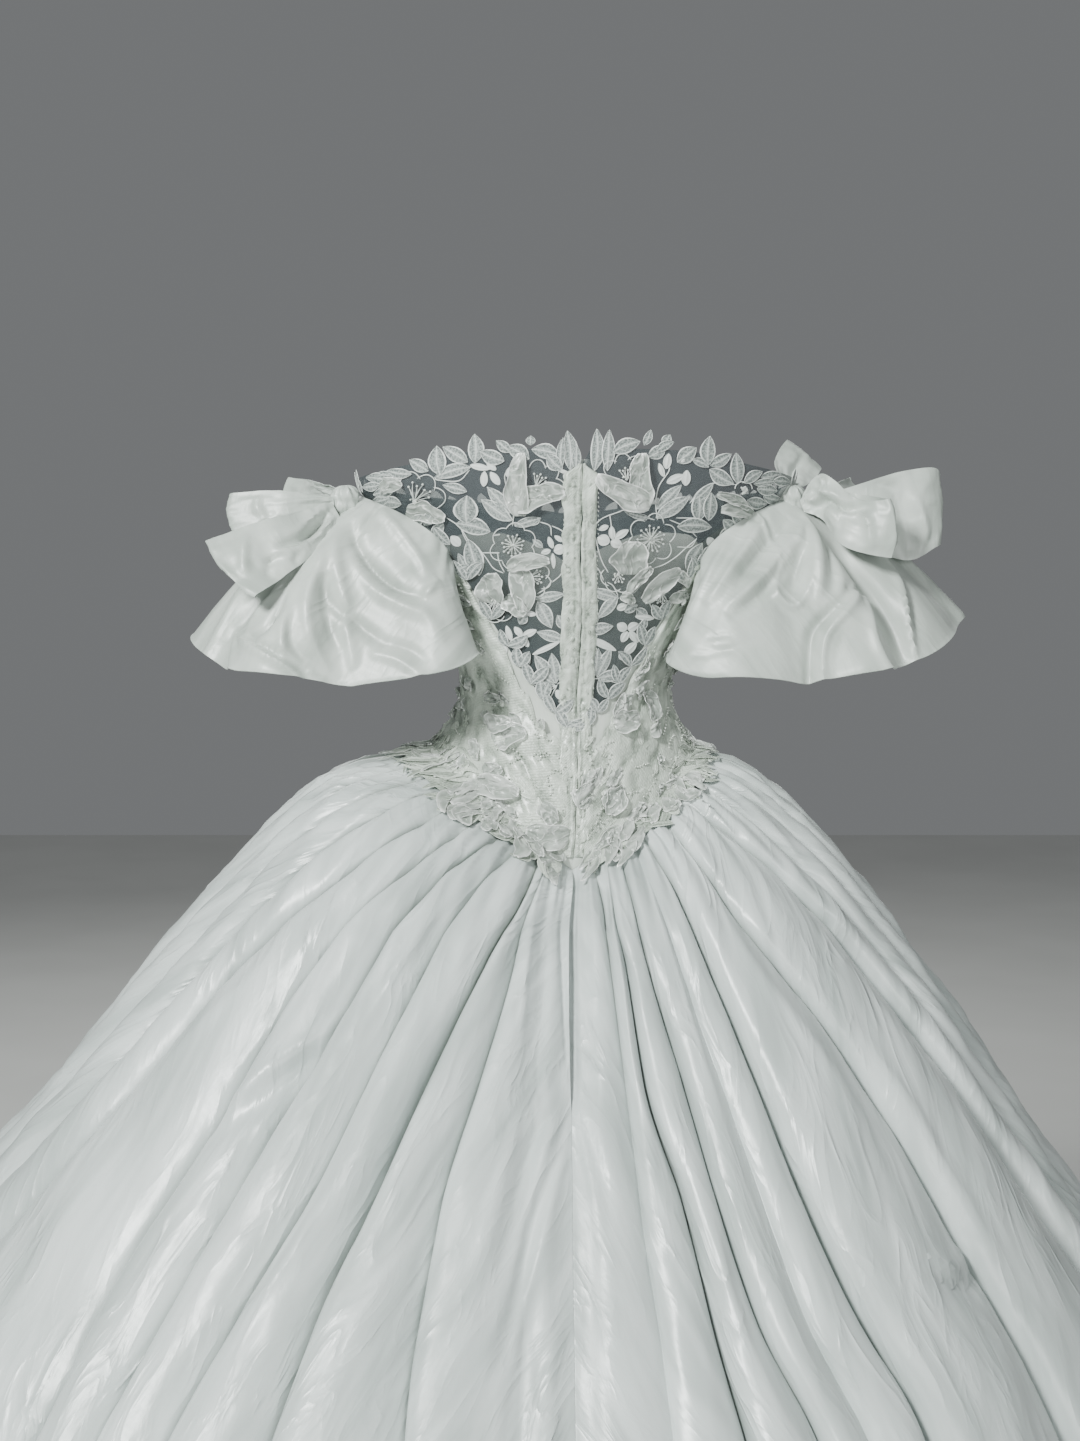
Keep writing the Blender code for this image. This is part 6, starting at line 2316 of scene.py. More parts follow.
@dataclass
class WaistLace:
    """Tone-on-tone lace over the lower bodice, with leaves and petals fringing the gathers."""

    figure: Figure
    skirt: Skirt
    left_low: Table
    right_low: Table
    bare_top: float = 0.014            # kept free of leaves under the top edge
    low_lift: float = 0.0042
    bare_over: float = 60.0            # degrees over which the bare depth changes
    ragged: Table = ((0.007, 5.0, 2.0), (0.003, 1.6, 5.0))      # metres, degrees to a wave, its pattern's row
    ground_foot: float = -0.010
    ground_wall: float = 0.0006
    ground_lift: float = 0.0008
    least_lift: float = 0.0004
    leaf_lengths: Row = (8.0, 16.0)    # ranges of the random draws, lengths and widths in millimetres
    leaf_shapes: Row = (0.38, 0.60)    # width as a share of the length
    leaf_lifts: Row = (0.0018, 0.0028)
    fringe_layers: int = 3
    spiky_from: float = 40.0           # bearing past which the fringe turns narrow, and over how many degrees
    spiky_over: float = 26.0
    spiky_to: float = 104.0            # bearing past which it is half as narrow
    frond_bearings: Row = (44.0, 82.0)
    frond_feet: Row = (0.0, 26.0)
    frond_angles: Row = (-80.0, 0.0)
    frond_lengths: Row = (16.0, 32.0)
    frond_widths: Row = (2.6, 5.2)
    frond_lifts: Row = (0.0030, 0.0052)

    def lengths(self) -> tuple[LaceLength, ...]:
        """Plans the lengths of lace.

        Returns:
            The lengths, in the order that they are worked.
        """
        return (
            LaceLength("left", "hip_lace_back_left", 1, (4.0, 91.0), (0.030, 0.002), (132, 52), 80,
                       (7.0, 91.0, 3.4), (11, 9), 34, self.left_low),
            LaceLength("right", "hip_lace_back_right", -1, (-91.0, -4.0), (0.030, 0.002), (132, 52), 80,
                       (7.0, 91.0, 3.4), (11, 9), 22, self.right_low),
            LaceLength("front", "hip_lace_front", 1, (91.5, 268.5), (0.012, 0.012), (80, 22), 44,
                       (93.0, 267.0, 7.0), (8, 7)),
        )

    def overlay(self, maker: LaceMaker, start: float, end: float, clear: Row, columns: int, rows: int,
                seed: int) -> None:
        """Lays the lumpy lace ground between two bearings.

        Args:
            maker: Its thread takes the ground.
            start: First bearing.
            end: Last bearing.
            clear: Depth of plain satin under the top edge, at the centre back and at the side.
            columns: Columns of its grid.
            rows: Rows of its grid.
            seed: Fixes its lumps.
        """
        cloth = HipCloth(self.figure, self.skirt)
        bearing = np.linspace(start, end, columns)[None, :]
        share = np.linspace(0.0, 1.0, rows)[:, None]
        seam = self.figure.basque(bearing)
        bare = clear[0] + (clear[1] - clear[0]) * ease(side_bearing(bearing) / self.bare_over)
        wide, narrow = (depth * noise(bearing / wave, row, seed) for depth, wave, row in self.ragged)
        top = self.figure.panel_top(bearing) - bare + (wide + narrow) - seam
        above = top + (self.ground_foot - top) * share
        arc = bearing * cloth.metre + 0.0 * above
        lump = noise(arc / 0.0085, above / 0.0080, seed + 1)
        petal = ridges(arc / 0.026 + 3.0, above / 0.022, seed + 4, 1)
        fine = noise(arc / 0.0034, above / 0.0034, seed + 7)
        fade = ease(share / 0.06) * ease((1.0 - share) / 0.05)
        lift = self.ground_lift + (0.0013 + 0.0012 * lump + 0.0010 * petal + 0.0003 * fine) * fade
        points = cloth.at(arc, above, np.maximum(lift, self.least_lift))
        density = np.clip(0.30 + 0.40 * lump + 0.30 * petal + 0.15 * fine, 0.0, 0.95)
        flat = np.stack([arc, above], axis=-1)
        maker.thread.add_sheet(points, self.ground_wall, flat, density, away_from=np.zeros(3))

    def scatter(self, maker: LaceMaker, start: float, end: float, clear: float, count: int,
                seed: int) -> None:
        """Works small leaves, blossoms and petals over the ground.

        Args:
            maker: Works them.
            start: First bearing.
            end: Last bearing.
            clear: Depth left bare under the top edge.
            count: How many leaves.
            seed: Fixes the arrangement.
        """
        dice = np.random.default_rng(seed)
        cloth = HipCloth(self.figure, self.skirt)
        for i in range(count):
            bearing = dice.uniform(start, end)
            seam = float(self.figure.basque(bearing))
            top = (float(self.figure.panel_top(bearing)) - clear - seam) / MM
            place = np.array([bearing * cloth.metre / MM, dice.uniform(4.0, max(top, 6.0))])
            angle, length = dice.uniform(0.0, 2 * math.pi), dice.uniform(*self.leaf_lengths)
            tip = place + length * np.array([math.cos(angle), math.sin(angle)])
            bend = dice.uniform(-0.15, 0.15)
            if i % 3 == 0:
                long_tip = place + 1.25 * (tip - place)
                maker.petal((*place, *long_tip, length * dice.uniform(0.8, 1.2), 3.0, 1.8), 0.0026, bend)
            elif i % 9 == 1:
                maker.flower((*place, length * 0.8, length * 0.30, math.degrees(angle), 72, 5, length * 0.4,
                              0, 360, 7))
            else:
                kind = Leaf.PLAIN if i % 3 else Leaf.LACY
                maker.leaf((*place, *tip, length * dice.uniform(*self.leaf_shapes)), kind,
                           dice.uniform(*self.leaf_lifts), bend)

    def fringe(self, maker: LaceMaker, side: int, start: float, end: float, step: float, seed: int) -> None:
        """Lays leaves and petals over the seam, their tips on the gathers.

        Args:
            maker: Works them.
            side: 1 for the wearer's left, -1 for the right.
            start: First bearing.
            end: Last bearing.
            step: Degrees between one group and the next.
            seed: Fixes the arrangement.
        """
        dice = np.random.default_rng(seed)
        cloth = HipCloth(self.figure, self.skirt)
        bearing = start
        while bearing < end:
            spiky = min(max((bearing - self.spiky_from) / self.spiky_over, 0.0), 1.0)
            spiky *= 1.0 if bearing < self.spiky_to else 0.5
            arc = bearing * cloth.metre / MM
            wave = 9.0 * math.sin(bearing / 6.1 + side) + 6.0 * math.sin(bearing / 2.3)
            for layer in range(self.fringe_layers):
                base = (side * (arc + dice.uniform(-7, 7)),
                        10.0 - 6.0 * layer + dice.uniform(-5, 6) + 9 * spiky)
                lean = dice.uniform(-11.0, 11.0) + 9.0 * spiky
                reach = 9.0 + 4.5 * layer + 0.6 * wave + dice.uniform(-4.0, 5.0) + 12.0 * spiky
                tip = (side * (arc + lean), base[1] - max(reach, 7.0))
                width = dice.uniform(6.0, 11.0) * (1.0 - 0.60 * spiky)
                off = 0.0008 + 0.0005 * (2 - layer) + dice.uniform(0.0, 0.0008)
                if dice.random() < 0.50 - 0.40 * spiky:
                    maker.petal((*base, *tip, width * 1.25, 1.6, 0.6 + 1.6 * dice.random()), off,
                                dice.uniform(-0.2, 0.2))
                else:
                    kind = (Leaf.SHEER, Leaf.SHEER, Leaf.LACY, Leaf.PLAIN)[int(dice.integers(4))]
                    maker.leaf((*base, *tip, width), kind, off, dice.uniform(-0.30, 0.30))
            bearing += step * dice.uniform(0.7, 1.3) * (1.0 - 0.45 * spiky)

    def fronds(self, maker: LaceMaker, side: int, count: int, seed: int) -> None:
        """Fans long narrow fronds out over the hip.

        Args:
            maker: Works them.
            side: 1 for the wearer's left, -1 for the right.
            count: How many fronds.
            seed: Fixes the arrangement.
        """
        dice = np.random.default_rng(seed)
        metre = HipCloth(self.figure, self.skirt).metre / MM
        for i in range(count):
            bearing = dice.uniform(*self.frond_bearings)
            base = (side * bearing * metre, dice.uniform(*self.frond_feet))
            angle, length = math.radians(dice.uniform(*self.frond_angles)), dice.uniform(*self.frond_lengths)
            tip = (base[0] + side * length * math.cos(angle), base[1] + length * math.sin(angle))
            kind = Leaf.PLAIN if i % 3 == 0 else Leaf.SHEER
            maker.leaf((*base, *tip, dice.uniform(*self.frond_widths)), kind,
                       dice.uniform(*self.frond_lifts), dice.uniform(-0.2, 0.2))

    def build(self, wardrobe: Wardrobe) -> Pieces:
        """Makes the lace of the left back, the right back and the front.

        Args:
            wardrobe: Gives the finishes.

        Returns:
            The pieces' objects.
        """
        pieces = []
        cloth = HipCloth(self.figure, self.skirt)
        for length in self.lengths():
            maker = LaceMaker(cloth.at, rows=6, outlined=False)
            seed = len(length.word)
            self.overlay(maker, *length.span, length.bare, *length.ground, 300 + seed)
            self.scatter(maker, *length.span, self.bare_top, length.leaves, 310 + seed)
            self.fringe(maker, length.side, *length.fringe, 320 + seed)
            if length.fronds:
                self.fronds(maker, length.side, length.fronds, 330 + length.side)
            maker.work_leaves()
            petals = maker.work_petals(*length.petal_grid)
            if length.low:
                free = LaceMaker(self.figure.onto_back)
                for row in length.low:
                    free.petal(row, self.low_lift)
                petals.merge(free.work_petals(19, 15))
            lace = maker.thread.to_object(f"waist_lace_{length.word}", 70.0)
            pieces.append(wardrobe.dress(lace, Finish.GUIPURE, (length.node,)))
            organza = petals.to_object(f"waist_petals_{length.word}", 60.0)
            pieces.append(wardrobe.dress(organza, Finish.ORGANZA))
        return pieces


@dataclass
class FrontLace:
    """Embroidery on the front of the yoke, and the leaves along the front neckline."""

    figure: Figure
    metre: float = 0.0036              # of arc to a degree of bearing
    edge_reach: float = 102.0          # degrees to either side of the centre front
    edge_pitch: float = 4.8
    edge_draws: Table = ((3.0, 11.0), (12.0, 16.0), (0.0008, 0.0016))     # a leaf's rise, width and lift
    flower_reach: float = 252.0        # millimetres to either side of it
    flower_pitch: float = 46.0
    flower_room: float = 26.0          # millimetres of net that a flower needs
    petal_places: Row = (-150.0, -62.0, 58.0, 140.0)

    def at(self, arc: np.ndarray, height: np.ndarray, lift: np.ndarray | float) -> np.ndarray:
        """Point of the yoke.

        Args:
            arc: Metres round from the centre front to the wearer's left.
            height: Height above the waist.
            lift: How far the point stands off.

        Returns:
            The points, three numbers each.
        """
        return self.figure.point(180.0 - arc / self.metre, height, lift)

    def edging(self, maker: LaceMaker, dice: np.random.Generator) -> None:
        """Works two ranks of leaves along the neck edge.

        Args:
            maker: Works them.
            dice: Gives the random draws.
        """
        for across in np.arange(-self.edge_reach, self.edge_reach, self.edge_pitch) * self.metre / MM:
            height = float(self.figure.neckline(180.0 - across * MM / self.metre)) / MM
            lean = dice.uniform(-7.0, 7.0)
            rise, width, lift = (dice.uniform(*limits) for limits in self.edge_draws)
            maker.leaf((across, height - 9.0, across + lean, height + rise, width), Leaf.LACY, lift)
            maker.leaf((across + 6.0, height - 15.0, across + 6.0 - lean, height - 1.0, dice.uniform(10, 14)),
                       Leaf.LACY, 0.0006)

    def bouquets(self, maker: LaceMaker, dice: np.random.Generator) -> None:
        """Works flowers, leaves and petals over the band of net.

        Args:
            maker: Works them.
            dice: Gives the random draws.
        """
        for across in np.arange(-self.flower_reach, self.flower_reach + 1.0, self.flower_pitch):
            bearing = 180.0 - across * MM / self.metre
            top = float(self.figure.neckline(bearing)) / MM
            foot = float(self.figure.net_foot(bearing)) / MM
            if top - foot < self.flower_room:
                continue
            middle = (top + foot) / 2.0 - 2.0
            maker.flower((across, middle, 15.0, 5.4, dice.uniform(0, 90), 72.0, 5, 7.0, 0.0, 360.0, 6))
            for k in range(2):
                angle = dice.uniform(0.0, 2 * math.pi)
                place = np.array([across + 15.0, middle + dice.uniform(-9, 9)])
                tip = place + 12.0 * np.array([math.cos(angle), math.sin(angle)])
                maker.leaf((*place, *tip, 6.5), Leaf.VEINED if k else Leaf.PLAIN)
        for across in self.petal_places:
            foot = float(self.figure.net_foot(180.0 - across * MM / self.metre)) / MM
            maker.petal((across, foot - 4.0, across + 16.0, foot + 16.0, 18.0, 5.0, 3.0))
            maker.petal((across, foot - 4.0, across - 18.0, foot + 8.0, 16.0, 5.0, 4.0))

    def build(self, wardrobe: Wardrobe) -> Pieces:
        """Makes the edge leaves, the embroidery and the petals.

        Args:
            wardrobe: Gives the finishes.

        Returns:
            The pieces' objects.
        """
        dice = np.random.default_rng(411)
        edge = LaceMaker(self.at, rows=6)
        body = LaceMaker(self.at, rows=6)
        self.edging(edge, dice)
        self.bouquets(body, dice)
        edge.work_leaves()
        body.work_leaves()
        return [
            wardrobe.dress(edge.thread.to_object("edge_leaves_front", 70.0), Finish.EMBROIDERY,
                           ("neck_lace_front",)),
            wardrobe.dress(body.thread.to_object("front_embroidery", 70.0), Finish.EMBROIDERY),
            wardrobe.dress(body.work_petals().to_object("organza_petals_front", 60.0), Finish.ORGANZA),
        ]


@dataclass
class BackClosing:
    """Lumpy lace strips down the centre back, with the closed zip under them."""

    figure: Figure
    top: float = 0.2535
    foot: float = -0.150
    tape_width: float = 0.013
    tape_top: float = 0.258
    tape_foot: float = -0.152
    tape_lift: float = -0.0034
    tape_wall: float = 0.0008
    columns: int = 15
    rows: int = 230
    wall: float = 0.0012
    stand: float = 0.0034              # how far the strip's face stands off the back
    leaves: int = 40
    leaf_lift: float = 0.0042
    leaf_lengths: Row = (4.0, 9.0)     # millimetres
    leaf_widths: Row = (2.4, 4.6)

    def strip(self, side: Side, near: float, far: float, seed: int, wardrobe: Wardrobe) -> bpy.types.Object:
        """Makes one strip.

        Args:
            side: The wearer's side that it lies on.
            near: Distance of its inner edge from the centre line.
            far: Distance of its outer edge.
            seed: Picks its lumps.
            wardrobe: Gives the finishes.

        Returns:
            The strip's object.
        """
        sign = side.value
        heights = np.linspace(self.top, self.foot, self.rows)[:, None]
        s = np.linspace(0.0, 1.0, self.columns)[None, :]
        wave = 0.0006 * noise(heights / 0.018, 3.0, seed) + 0.0004 * noise(heights / 0.006, 9.0, seed)
        point = ease((self.top - heights) / 0.012) * 0.75 + 0.25
        wide = (far - near) * point + 0.0020 * noise(heights / 0.012, 5.0, seed + 1)
        across = sign * (near + wave * (1.0 - s) + wide * s)
        u, v = np.broadcast_arrays(across, heights)
        lump = ridges(u / 0.0062, v / 0.0085, seed + 2, 2)
        puff = noise(u / 0.009, v / 0.020, seed + 9)
        seam = np.exp(-(((s - 0.30) / 0.07) ** 2))
        fine = noise(u / 0.002, v / 0.0026, seed + 5)
        lift = self.stand + 0.0011 * lump + 0.0011 * puff + 0.0004 * fine - 0.0008 * seam
        lift = lift - 0.0018 * np.clip(np.abs(2 * s - 1) - 0.7, 0, 1) / 0.3
        density = np.clip(0.42 + 0.35 * lump + 0.40 * puff - 0.3 * seam, 0.0, 0.95)
        maker = LaceMaker(self.figure.onto_back)
        outer = self.figure.onto_back(u, v, lift)
        maker.thread.add_sheet(outer, self.wall, np.stack([u, v], axis=-1), density, away_from=np.zeros(3))
        dice = np.random.default_rng(seed)
        for k in range(self.leaves):
            height = dice.uniform(self.foot + 0.005, self.top - 0.004) / MM
            place = sign * dice.uniform(near + 0.004, far - 0.003) / MM
            angle = dice.uniform(0, 2 * math.pi)
            length = dice.uniform(*self.leaf_lengths)
            tip = (place + length * math.cos(angle) * 0.5, height + length * math.sin(angle))
            kind = Leaf.PLAIN if k % 3 else Leaf.LACY
            maker.leaf((place, height, *tip, dice.uniform(*self.leaf_widths)), kind, self.leaf_lift)
        maker.work_leaves()
        strip = maker.thread.to_object("lace_strip_" + side.word, 60.0)
        return wardrobe.dress(strip, Finish.GUIPURE, ("placket_" + side.word,))

    def tape(self, side: Side, wardrobe: Wardrobe) -> bpy.types.Object:
        """Makes one tape of the zip.

        Args:
            side: The wearer's side that it lies on.
            wardrobe: Gives the finishes.

        Returns:
            The tape's object.
        """
        heights = np.linspace(self.tape_top, self.tape_foot, 60)[:, None]
        across = side.value * np.linspace(0.00015, self.tape_width, 6)[None, :]
        u, v = np.broadcast_arrays(across, heights)
        work = Stitchwork()
        points = self.figure.onto_back(u, v, self.tape_lift)
        work.add_sheet(points, self.tape_wall, np.stack([u, v], axis=-1), away_from=np.zeros(3))
        node = "zip_tape_" + side.word
        return wardrobe.dress(work.to_object("woven_" + node, 55.0), Finish.TAPE, (node,))

    def build(self, wardrobe: Wardrobe) -> Pieces:
        """Makes the strips and the tapes.

        Args:
            wardrobe: Gives the finishes.

        Returns:
            The pieces' objects.
        """
        return [
            self.strip(Side.LEFT, -0.0003, 0.0185, 701, wardrobe),
            self.strip(Side.RIGHT, 0.0009, 0.0165, 711, wardrobe),
            self.tape(Side.LEFT, wardrobe),
            self.tape(Side.RIGHT, wardrobe),
        ]


@dataclass
class FineWork:
    """What the needle sets one by one: beads, knots, tacking stitches and the zip's coil."""

    figure: Figure
    skirt: Skirt
    flowers: Table
    coil_run: Row = (-0.146, 0.252)
    stitch_run: Row = (-0.140, 0.246)
    stitch_rows: Row = (-0.0172, -0.0028, 0.0176, 0.0022)
    knots_each: int = 7
    spray: int = 6                     # beads in one spray
    spray_step: float = 0.0034
    tooth_pitch: float = 0.0026
    stitch_pitch: float = 0.0046
    beads: int = 380

    def on_back(self, across: np.ndarray, height: np.ndarray, lift: float, setting: Setting,
                wardrobe: Wardrobe, run: Row = (0.0, 0.001)) -> bpy.types.Object:
        """Sets a row or a scatter on the back.

        Args:
            across: Distances from the centre back line.
            height: Heights above the waist.
            lift: How far the middles stand off the figure.
            setting: What is set.
            wardrobe: Gives the finishes.
            run: The way that each shape runs, as a step across and a step up.

        Returns:
            The object.
        """
        places = self.figure.onto_back(across, height, lift)
        facing = unit(self.figure.onto_back(across, height, lift + 0.001) - places)
        along = unit(self.figure.onto_back(across + run[0], height + run[1], lift) - places)
        return setting.build(places, facing, along, wardrobe)

    def coil(self, wardrobe: Wardrobe) -> bpy.types.Object:
        """Lays the zip's closed coil, its teeth from either side in turn.

        Args:
            wardrobe: Gives the finishes.

        Returns:
            The coil's object.
        """
        heights = np.arange(*self.coil_run, self.tooth_pitch / 2.0)
        across = 0.0011 * np.where(np.arange(len(heights)) % 2 == 0, 1.0, -1.0)
        tooth = Setting("zip_coil", Finish.COIL, "tape", 0.0030, 0.0010, 0.0012, vary=0.0)
        return self.on_back(across, heights, -0.0036, tooth, wardrobe, (0.001, 0.0))

    def tacking(self, wardrobe: Wardrobe) -> bpy.types.Object:
        """Sews the stitches that hold the lace strips' edges down.

        Args:
            wardrobe: Gives the finishes.

        Returns:
            The stitches' object.
        """
        heights = np.arange(*self.stitch_run, self.stitch_pitch)
        across = np.concatenate([x + 0.0004 * np.sin(heights * 900.0 + x * 1e4) for x in self.stitch_rows])
        stitch = Setting("strip_stitches", Finish.BEAD, "lace", 0.0026, 0.0007, 0.0007, sides=5, vary=0.20)
        heights = np.tile(heights, len(self.stitch_rows))
        return self.on_back(across, heights, 0.0040, stitch, wardrobe, (0.0002, 0.001))

    def knots(self, wardrobe: Wardrobe) -> bpy.types.Object:
        """Works French knots at the flowers' centres on the sheer back.

        Args:
            wardrobe: Gives the finishes.

        Returns:
            The knots' object.
        """
        dice = np.random.default_rng(91)
        middles = np.array([row[:2] for row in self.flowers], float) * MM
        spots = np.concatenate([middles + dice.normal(0.0, 0.0022, middles.shape)
                                for _ in range(self.knots_each)])
        knot = Setting("flower_knots", Finish.BEAD, "lace", 0.0019, 0.0019, 0.0015, vary=0.25)
        return self.on_back(spots[:, 0], spots[:, 1], 0.0032, knot, wardrobe)

    def seed_beads(self, wardrobe: Wardrobe) -> bpy.types.Object:
        """Sews seed beads over the waist lace, in loose sprays.

        Args:
            wardrobe: Gives the finishes.

        Returns:
            The beads' object.
        """
        dice = np.random.default_rng(92)
        cloth = HipCloth(self.figure, self.skirt)
        places, facing = [], []
        while len(places) < self.beads:
            bearing = dice.uniform(-86.0, 86.0)
            seam = float(self.figure.basque(bearing))
            top = float(self.figure.panel_top(bearing)) - 0.020 - seam
            heart = np.array([bearing * cloth.metre, dice.uniform(-0.006, max(top, 0.01))])
            way = dice.uniform(0.0, 2 * math.pi)
            for _ in range(self.spray):
                way += dice.uniform(-0.5, 0.5)
                heart = heart + self.spray_step * np.array([math.cos(way), math.sin(way)])
                if -0.012 < heart[1] < top + 0.006 and abs(heart[0]) > 0.010:
                    low, high = (cloth.at(*heart, lift) for lift in (0.0040, 0.0050))
                    places.append(low)
                    facing.append(unit(high - low))
        places, facing = np.array(places), np.array(facing)
        bead = Setting("waist_seed_beads", Finish.BEAD, "lace", 0.0021, 0.0021, 0.0019, vary=0.25)
        return bead.build(places, facing, np.roll(facing, 1, axis=1), wardrobe)

    def build(self, wardrobe: Wardrobe) -> Pieces:
        """Makes all of it.

        Args:
            wardrobe: Gives the finishes.

        Returns:
            The objects.
        """
        return [self.coil(wardrobe), self.tacking(wardrobe), self.knots(wardrobe), self.seed_beads(wardrobe)]


@dataclass(frozen=True)
class Cut:
    """The flat cloth that one piece was cut to, in metres, and what holds it.

    Area is the cut's own, where it is less than the width by the length.
    """

    piece: str
    width: float
    length: float
    area: float
    held: str
    rests_on: tuple[str, ...] = ()
    carries: tuple[str, ...] = ()

    def declare(self) -> None:
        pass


# ---- studio -------------------------------------------------------------------------------------
@dataclass
class Studio:
    """Pale floor, soft light and the camera."""

    distance: float = 2.30
    across: float = 0.0302
    height: float = 0.22
    pitch_degrees: float = 6.0
    view_degrees: float = 37.36
    floor_height: float = -1.106

    def floor(self) -> None:
        """Lays the floor."""
        mesh = bpy.data.meshes.new("floor")
        s = 6.0
        z = self.floor_height
        mesh.from_pydata([(-s, -s, z), (s, -s, z), (s, s, z), (-s, s, z)], [], [(0, 1, 2, 3)])
        mesh.update()
        floor = bpy.data.objects.new("studio_floor", mesh)
        bpy.context.scene.collection.objects.link(floor)
        mesh.materials.append(StudioFinish().material())

    def light(self, name: str, place: Row, aim: Row, size: float, power: float) -> None:
        """Hangs one soft box.

        Args:
            name: Its name.
            place: Where it hangs.
            aim: The point that it faces.
            size: Length of its side.
            power: Its watts.
        """
        data = bpy.data.lights.new(name, "AREA")
        data.shape = "SQUARE"
        data.size = size
        data.energy = power
        data.color = linear("#FAFEFB")[:3]
        lamp = bpy.data.objects.new(name, data)
        lamp.location = place
        direction = mathutils.Vector(aim) - mathutils.Vector(place)
        lamp.rotation_euler = direction.to_track_quat("-Z", "Y").to_euler()
        bpy.context.scene.collection.objects.link(lamp)

    def build(self) -> None:
        """Sets the floor, the lights, the sky and the camera."""
        self.floor()
        world = bpy.data.worlds.new("studio_air")
        world.use_nodes = True
        world.node_tree.nodes["Background"].inputs["Color"].default_value = linear("#C8CBCD")
        world.node_tree.nodes["Background"].inputs["Strength"].default_value = 0.30
        bpy.context.scene.world = world
        self.light("key", (1.8, 2.5, 2.0), (0.0, 0.1, -0.3), 0.75, 230.0)
        self.light("fill", (-1.3, 3.2, 0.7), (0.0, 0.1, -0.3), 1.4, 42.0)
        self.light("front", (0.6, -2.8, 1.8), (0.0, 0.0, -0.3), 2.0, 60.0)
        data = bpy.data.cameras.new("camera")
        data.sensor_fit = "VERTICAL"
        data.angle = math.radians(self.view_degrees)
        camera = bpy.data.objects.new("camera", data)
        camera.location = (self.across, self.distance, self.height)
        camera.rotation_euler = (math.radians(90.0 - self.pitch_degrees), 0.0, math.radians(180.0))
        bpy.context.scene.collection.objects.link(camera)
        bpy.context.scene.camera = camera


# ---- the sheer back's motifs, in millimetres across from the centre back and above the waist ---
# leaf columns: base across, base height, tip across, tip height, width
LEFT_LACY = (
    (12, 247, 16, 287, 16), (6, 247, 6, 272, 10), (21, 249, 20, 280, 10), (24, 262, 52, 268, 16),
    (53, 272, 53, 282, 10), (20, 247, 36, 263, 15), (54, 258, 77, 271, 16), (73, 265, 88, 277, 11),
    (79, 256, 104, 266, 16), (109, 254, 110, 284, 17), (116, 255, 142, 271, 15), (144, 242, 148, 272, 19),
    (113, 250, 150, 239, 14), (156, 246, 176, 258, 13), (173, 243, 199, 247, 11), (190, 240, 214, 242, 9),
    (116, 225, 141, 232, 11), (116, 192, 116, 221, 26), (92, 184, 128, 192, 18), (102, 138, 114, 176, 20),
    (132, 170, 150, 189, 11), (115, 138, 124, 161, 10), (68, 190, 41, 198, 10), (61, 88, 54, 98, 11),
    (198, 236, 222, 240, 12), (192, 226, 214, 222, 12), (206, 232, 226, 230, 10), (184, 212, 206, 214, 13),
    (148, 206, 160, 190, 14), (160, 200, 178, 190, 13), (140, 192, 152, 176, 12), (196, 218, 218, 212, 11),
)
LEFT_VEINED = (
    (71, 203, 96, 230, 14), (71, 195, 102, 217, 16), (38, 168, 49, 176, 7), (46, 114, 16, 120, 11),
    (44, 112, 29, 84, 16), (15, 83, 24, 98, 11), (16, 72, 44, 80, 12), (49, 53, 59, 42, 11),
    (22, 26, 45, 56, 14), (21, 26, 28, 58, 13), (22, 24, 52, 30, 11),
)
LEFT_PLAIN = (
    (114, 252, 93, 248, 7), (87, 247, 97, 254, 6), (99, 230, 99, 246, 8), (83, 232, 93, 245, 8),
    (76, 240, 71, 251, 7), (19, 242, -2, 230, 11), (26, 248, 10, 242, 4), (122, 169, 132, 179, 10),
    (28, 167, 33, 179, 6), (30, 165, 40, 162, 6), (18, 174, 27, 180, 5), (27, 164, 15, 168, 11),
    (28, 162, 27, 146, 5), (47, 56, 20, 70, 6), (58, 75, 66, 85, 7), (58, 75, 44, 82, 8),
    (58, 73, 67, 62, 8), (58, 74, 51, 64, 7), (56, 100, 45, 98, 6), (68, 70, 74, 86, 6),
    (72, 56, 77, 70, 6), (21, 19, 12, 8, 9),
)
RIGHT_LACY = (
    (-13, 246, -14, 289, 15), (-26, 246, -27, 288, 14), (-31, 265, -59, 276, 16), (-63, 272, -70, 288, 9),
    (-83, 272, -90, 283, 11), (-76, 266, -94, 276, 10), (-68, 260, -86, 272, 14),
    (-98, 255, -118, 270, 17), (-131, 252, -132, 282, 17), (-133, 252, -156, 264, 13),
    (-165, 233, -161, 265, 16), (-171, 234, -191, 246, 12), (-133, 248, -160, 233, 16),
    (-182, 233, -208, 236, 9), (-114, 258, -132, 250, 9), (-123, 195, -122, 224, 19),
    (-134, 195, -136, 224, 16), (-100, 189, -138, 188, 16), (-116, 216, -138, 234, 11),
    (-150, 171, -159, 190, 12), (-46, 101, -60, 108, 11), (-59, 104, -73, 95, 11), (-67, 81, -70, 94, 9),
    (-71, 198, -43, 206, 7), (-190, 240, -214, 244, 12), (-186, 228, -210, 226, 13),
    (-204, 236, -226, 234, 11),
    (-176, 216, -200, 212, 13), (-160, 204, -176, 190, 13), (-150, 196, -166, 180, 12),
    (-194, 220, -218, 216, 11),
)
RIGHT_VEINED = (
    (-78, 207, -104, 232, 13), (-77, 198, -113, 220, 16), (-114, 143, -130, 172, 18),
    (-40, 115, -7, 124, 12), (-39, 118, -18, 94, 13), (-18, 90, -10, 106, 10), (-8, 81, -35, 86, 13),
    (-132, 155, -145, 168, 14), (-19, 34, -20, 63, 13), (-21, 32, -34, 64, 13), (-21, 31, -51, 36, 13),
)
